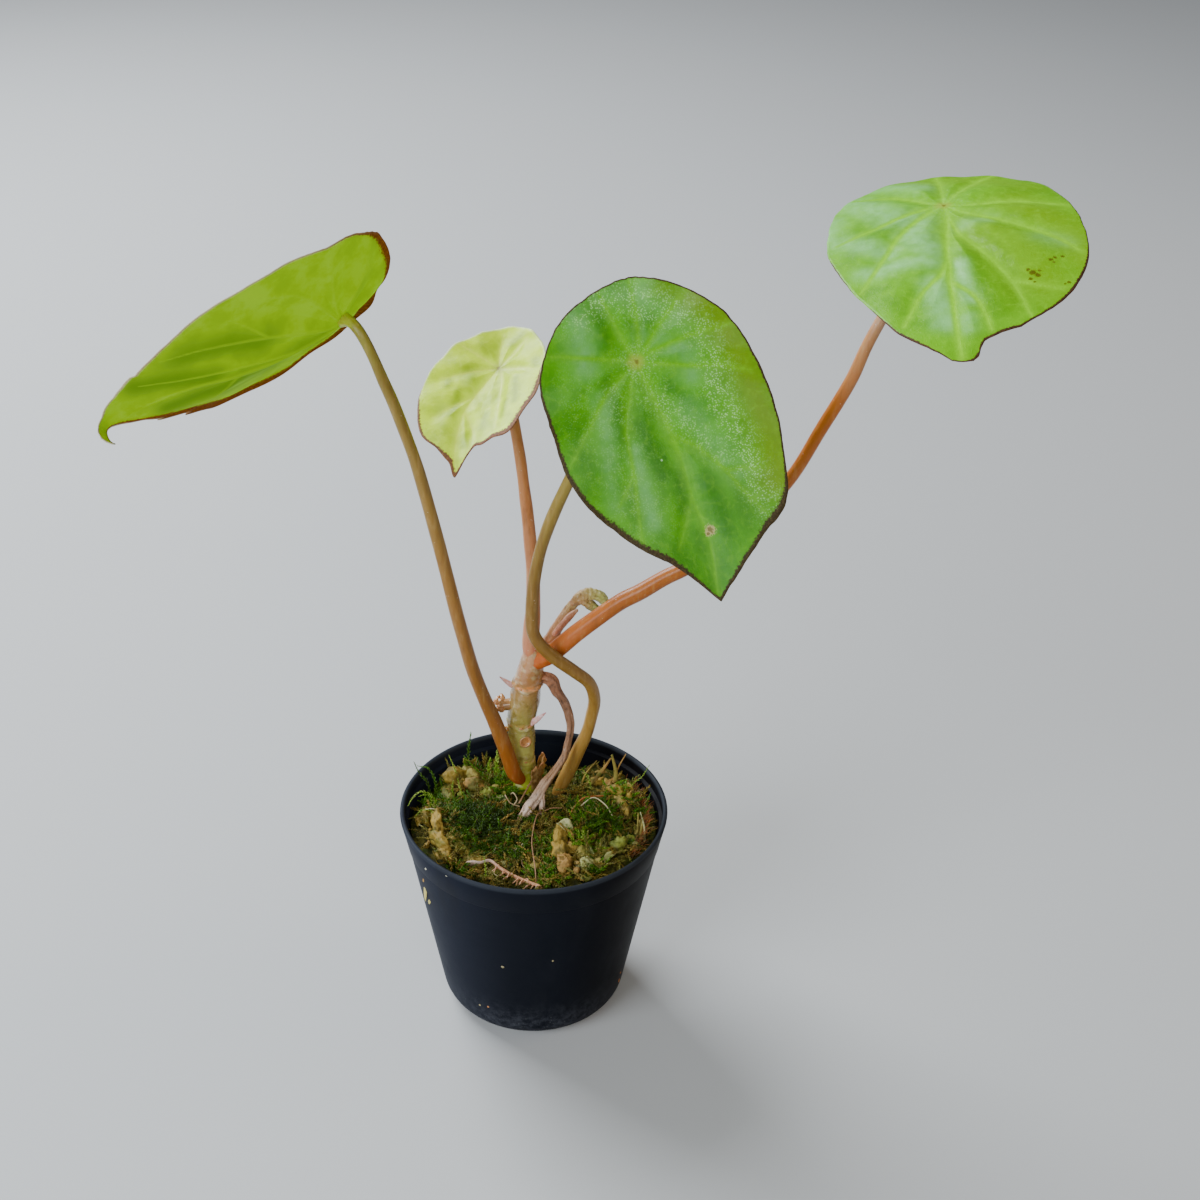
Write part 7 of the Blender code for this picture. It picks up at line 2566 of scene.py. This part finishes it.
def within_pot(points):
    """Points that would go through the pot's wall are drawn back inside it."""
    limits = []
    for z in points[:, 2]:
        limits.append(inner_radius(min(z, LEDGE_HEIGHT)) if z < LEDGE_HEIGHT + 0.0004 else RIM_RADIUS - LIP)
    out = np.hypot(points[:, 0], points[:, 1])
    share = np.minimum(1.0, (np.array(limits) - GAP) / np.maximum(out, 1e-6))
    return points * np.stack([share, share, np.ones_like(share)], axis=-1)


def dry_moss_look(name):
    """Dead sphagnum: golden, tan, pinkish, straw, olive or whitish, with fine fibres, partly see-through."""
    look = Look(name)
    grain = look.noise(0.0014, 5, 0.65)
    colour = look.ramp(look.plus(look.mark("tint"), look.span(grain, -0.08, 0.08)), RAMPS["dry_moss"])
    fibre = look.noise(0.0006, 4, 0.6, at=look.stretched(1.0, 0.3, 1.0))
    colour = look.mix(look.step(fibre, 0.45, 0.28, 0.65), colour, (0.070, 0.042, 0.004))
    colour = look.mix(look.step(fibre, 0.58, 0.80, 0.4), colour, (0.60, 0.48, 0.15))
    dark = look.step(look.noise(0.0040, 4), 0.50, 0.34, 0.7)
    colour = look.mix(dark, colour, (0.055, 0.046, 0.004))
    green = look.step(look.noise(0.0060, 4), 0.54, 0.66, 0.55)
    colour = look.mix(green, colour, (0.060, 0.095, 0.004))
    normal = look.bump(look.noise(0.0007, 4, 0.6), 0.0003, 0.8)
    glow = look.mix(0.3, colour, (0.5, 0.34, 0.02))
    roughness = look.span(grain, 0.35, 0.7)
    return look.surface(colour, roughness, normal, glow=glow, glow_share=0.25, Specular_IOR_Level=0.22)


def moss_leaf():
    """A pointed leaf of unit length along +X, as a closed sliver with a keel."""
    half = MOSS_LEAF_WIDTH / 2
    thin = MOSS_LEAF_WIDTH * 0.22
    points = [(0.0, 0.0, 0.0), (0.45, half, thin), (0.45, -half, thin), (0.45, 0.0, -thin)]
    points.append((1.0, 0.0, thin * 3))
    faces = [[0, 2, 1], [1, 2, 4], [0, 1, 3], [3, 1, 4], [0, 3, 2], [3, 4, 2]]
    return np.array(points), faces


def moss_sprig(shape, route, leaf_length, tint, draws):
    """A thin stem with leaves set round it, longer in its middle and bunched at its tip."""
    places = smooth_route([(*point, 0.00012) for point in route], 7 if len(route) < 4 else 12)
    points, faces = tube(places, 3)
    shape.add(points, faces, tint=tint * 0.7)
    length = np.linalg.norm(np.diff(places[:, :3], axis=0), axis=1).sum()
    count = max(8, int(length / LEAF_SPACING))
    fine = smooth_route([(*point, 0.0) for point in route], count)
    tangent, side, other = crossways(fine[:, :3])
    turn = draws.uniform(0.0, 6.0)
    sliver, sliver_faces = moss_leaf()
    for index in range(1, count + 1):
        share = index / count
        turn += 2.4
        fullness = 0.55 + 0.6 * math.sin(math.pi * min(share * 0.9 + 0.1, 1.0))
        size = leaf_length * fullness * draws.uniform(0.8, 1.15)
        lean = draws.uniform(0.75, 1.15) * (1 - 0.45 * share)
        out = math.cos(turn) * side[index] + math.sin(turn) * other[index]
        way = unit(tangent[index] * math.cos(lean) + out * math.sin(lean))
        level = unit(np.cross(tangent[index], out))
        above = np.cross(way, level)
        leaf = fine[index, :3] + (sliver * size) @ np.stack([way, level, above])
        leaf_tint = tint + 0.25 * (share - 0.5) + draws.uniform(-0.08, 0.08)
        shape.add(leaf, sliver_faces, tint=leaf_tint)


def moss():
    """Green moss: sprigs placed one by one, and patches filled by a seeded rule."""
    draws = random.Random(MOSS_SEED)
    shape = Shape()
    for points, leaf_length, tint in MOSS_SPRIGS:
        moss_sprig(shape, np.array(points) / 1000, leaf_length / 1000, tint, draws)
    shape.piece("moss_sprigs", moss_look("moss_sprigs"), "sphagnum")
    shape = Shape()
    for patch in MOSS_PATCHES:
        moss_patch(shape, patch, draws)
    shape.piece("moss_carpet", moss_look("moss_carpet"), "sphagnum")


def moss_patch(shape, patch, draws):
    """One patch of short leaning sprigs."""
    x, y, reach, count, length, tint = patch
    for _ in range(int(PATCH_FULLNESS * count)):
        foot_x, foot_y = strewn(draws, reach / 1000, x / 1000, y / 1000)
        if math.hypot(foot_x, foot_y) > MOSS_LIMIT or near_stalk(foot_x, foot_y):
            continue
        lean, heading = draws.uniform(0.5, 1.25), draws.uniform(0.0, 2 * math.pi)
        tall = length / 1000 * draws.uniform(0.8, 1.45)
        route = leaning_route(over_ground(foot_x, foot_y, -0.0004), heading, lean, tall, 0.12)
        leaf_tint = min(max(tint + draws.uniform(-0.08, 0.18), 0.0), 1.0)
        moss_sprig(shape, route, draws.uniform(*MOSS_LEAF_LENGTH), leaf_tint, draws)


def moss_look(name):
    """Moss leaves from dark blue-green to lime, glossy and partly see-through."""
    look = Look(name)
    tint = look.plus(look.mark("tint"), look.span(look.noise(0.004, 3), -0.16, 0.16))
    colour = look.ramp(tint, RAMPS["moss"])
    glow = look.mix(0.5, colour, (0.16, 0.42, 0.0))
    return look.surface(colour, 0.42, glow=glow, glow_share=0.25, Specular_IOR_Level=0.22)


def fibres():
    """Fine roots and hairs: the reddish fringe, loose fibres and the thin root over the moss."""
    draws = random.Random(FIBRE_SEED)
    shape = Shape()
    fringe(shape, draws)
    stray_fibres(shape, draws)
    for line, radius, tint in FIBRE_LINES:
        route = smooth_route([(x / 1000, y / 1000, z / 1000, radius / 1000) for x, y, z in line], 60)
        points, faces = tube(domed(route, 3), 8, ribbed(2, 0.12, 9.0, radius))
        shape.add(points, faces, tint=tint)
    shape.piece("root_fibres", fibre_look(), "root")


def fringe(shape, draws):
    """Short hairs that stand up inside the rim on the right."""
    for _ in range(FRINGE_HAIRS):
        turn = math.radians(draws.uniform(*FRINGE_ANGLES))
        out = draws.uniform(*FRINGE_RADII)
        foot = np.array([out * math.cos(turn), out * math.sin(turn), FRINGE_HEIGHT])
        reach = draws.uniform(0.0025, 0.0058)
        heading = turn + draws.uniform(-1.3, 1.3)
        way = [0.6 * math.cos(heading), 0.6 * math.sin(heading), draws.uniform(0.4, 1.0)]
        tip = foot + reach * np.array(way)
        middle = (foot + tip) / 2 + np.array([0.0, 0.0, reach * 0.15])
        points, faces = tube(smooth_route([(*foot, 0.00007), (*middle, 0.00006), (*tip, 0.00003)], 6), 5)
        shape.add(within_pot(points), faces, tint=draws.uniform(0.0, 0.35))


def stray_fibres(shape, draws):
    """Loose fibres that wander over the moss."""
    for _ in range(STRAY_FIBRES):
        x, y = strewn(draws, STRAY_REACH)
        heading, length = draws.uniform(0.0, 2 * math.pi), draws.uniform(0.004, 0.010)
        line = []
        for step in range(STRAY_STEPS + 1):
            at_x = x + math.cos(heading) * length * step / STRAY_STEPS
            at_y = y + math.sin(heading) * length * step / STRAY_STEPS
            heading += draws.uniform(-0.5, 0.5)
            line.append((*over_ground(at_x, at_y, 0.0012 + draws.uniform(0.0, 0.0022)), 0.00011))
        if near_stalk(x, y):
            continue
        points, faces = tube(smooth_route(line, 18), 6)
        shape.add(within_pot(points), faces, tint=draws.uniform(0.2, 1.0))


def fibre_look():
    """Thin roots from reddish to straw."""
    look = Look("fibres")
    colour = look.ramp(look.mark("tint"), RAMPS["fibres"])
    colour = look.mix(look.step(look.noise(0.0008, 3), 0.45, 0.65, 0.3), colour, (0.45, 0.30, 0.16))
    return look.surface(colour, 0.5, look.bump(look.noise(0.0004, 2), 0.0001), Specular_IOR_Level=0.2)


def camera():
    """The photo's point of view."""
    pitch, pan, roll = (math.radians(angle) for angle in (CAMERA_PITCH, CAMERA_PAN, CAMERA_ROLL))
    ahead = Vector((math.sin(pan) * math.cos(pitch), math.cos(pan) * math.cos(pitch), -math.sin(pitch)))
    right = Vector((math.cos(pan), -math.sin(pan), 0.0))
    up = right.cross(ahead)
    turned_right = math.cos(roll) * right + math.sin(roll) * up
    turned_up = -math.sin(roll) * right + math.cos(roll) * up
    data = bpy.data.cameras.new("camera")
    data.angle = math.radians(CAMERA_ANGLE)
    data.clip_start = 0.01
    thing = bpy.data.objects.new("camera", data)
    placed = Matrix((turned_right, turned_up, -ahead)).transposed().to_4x4()
    placed.translation = CAMERA_PLACE
    thing.matrix_world = placed
    bpy.context.scene.collection.objects.link(thing)
    bpy.context.scene.camera = thing


def lights():
    """The soft lights and the light from all round."""
    for name, (place, target, width, height, power, colour) in LIGHTS.items():
        data = bpy.data.lights.new(name, "AREA")
        data.shape = "RECTANGLE"
        data.size = width
        data.size_y = height
        data.energy = power
        data.color = colour
        lamp = bpy.data.objects.new(name, data)
        way = Vector(target) - Vector(place)
        lamp.rotation_euler = way.to_track_quat("-Z", "Y").to_euler()
        lamp.location = place
        bpy.context.scene.collection.objects.link(lamp)
    world = bpy.data.worlds.new("studio")
    world.use_nodes = True
    background = world.node_tree.nodes["Background"]
    background.inputs["Color"].default_value = (*WORLD_COLOUR, 1.0)
    background.inputs["Strength"].default_value = WORLD_STRENGTH
    bpy.context.scene.world = world


def studio_floor():
    """The pale floor under the pot, which is no part of the model."""
    half = FLOOR_SIZE / 2
    mesh = bpy.data.meshes.new("floor")
    corners = [(-half, -half, 0), (half, -half, 0), (half, half, 0), (-half, half, 0)]
    mesh.from_pydata(corners, [], [(0, 1, 2, 3)])
    look = Look("floor")
    colour = look.mix(look.noise(0.5, 3), FLOOR_COLOUR, tuple(0.97 * part for part in FLOOR_COLOUR))
    mesh.materials.append(look.surface(colour, 0.7))
    floor = bpy.data.objects.new("floor", mesh)
    bpy.context.scene.collection.objects.link(floor)


camera()
lights()
studio_floor()
pot()
pot_crumbs()
ground()
dry_moss()
strands()
moss()
fibres()
stem()
stalks()
leaves()
young_shoot()
dry_root()
surface_root()
scales()
sheath()
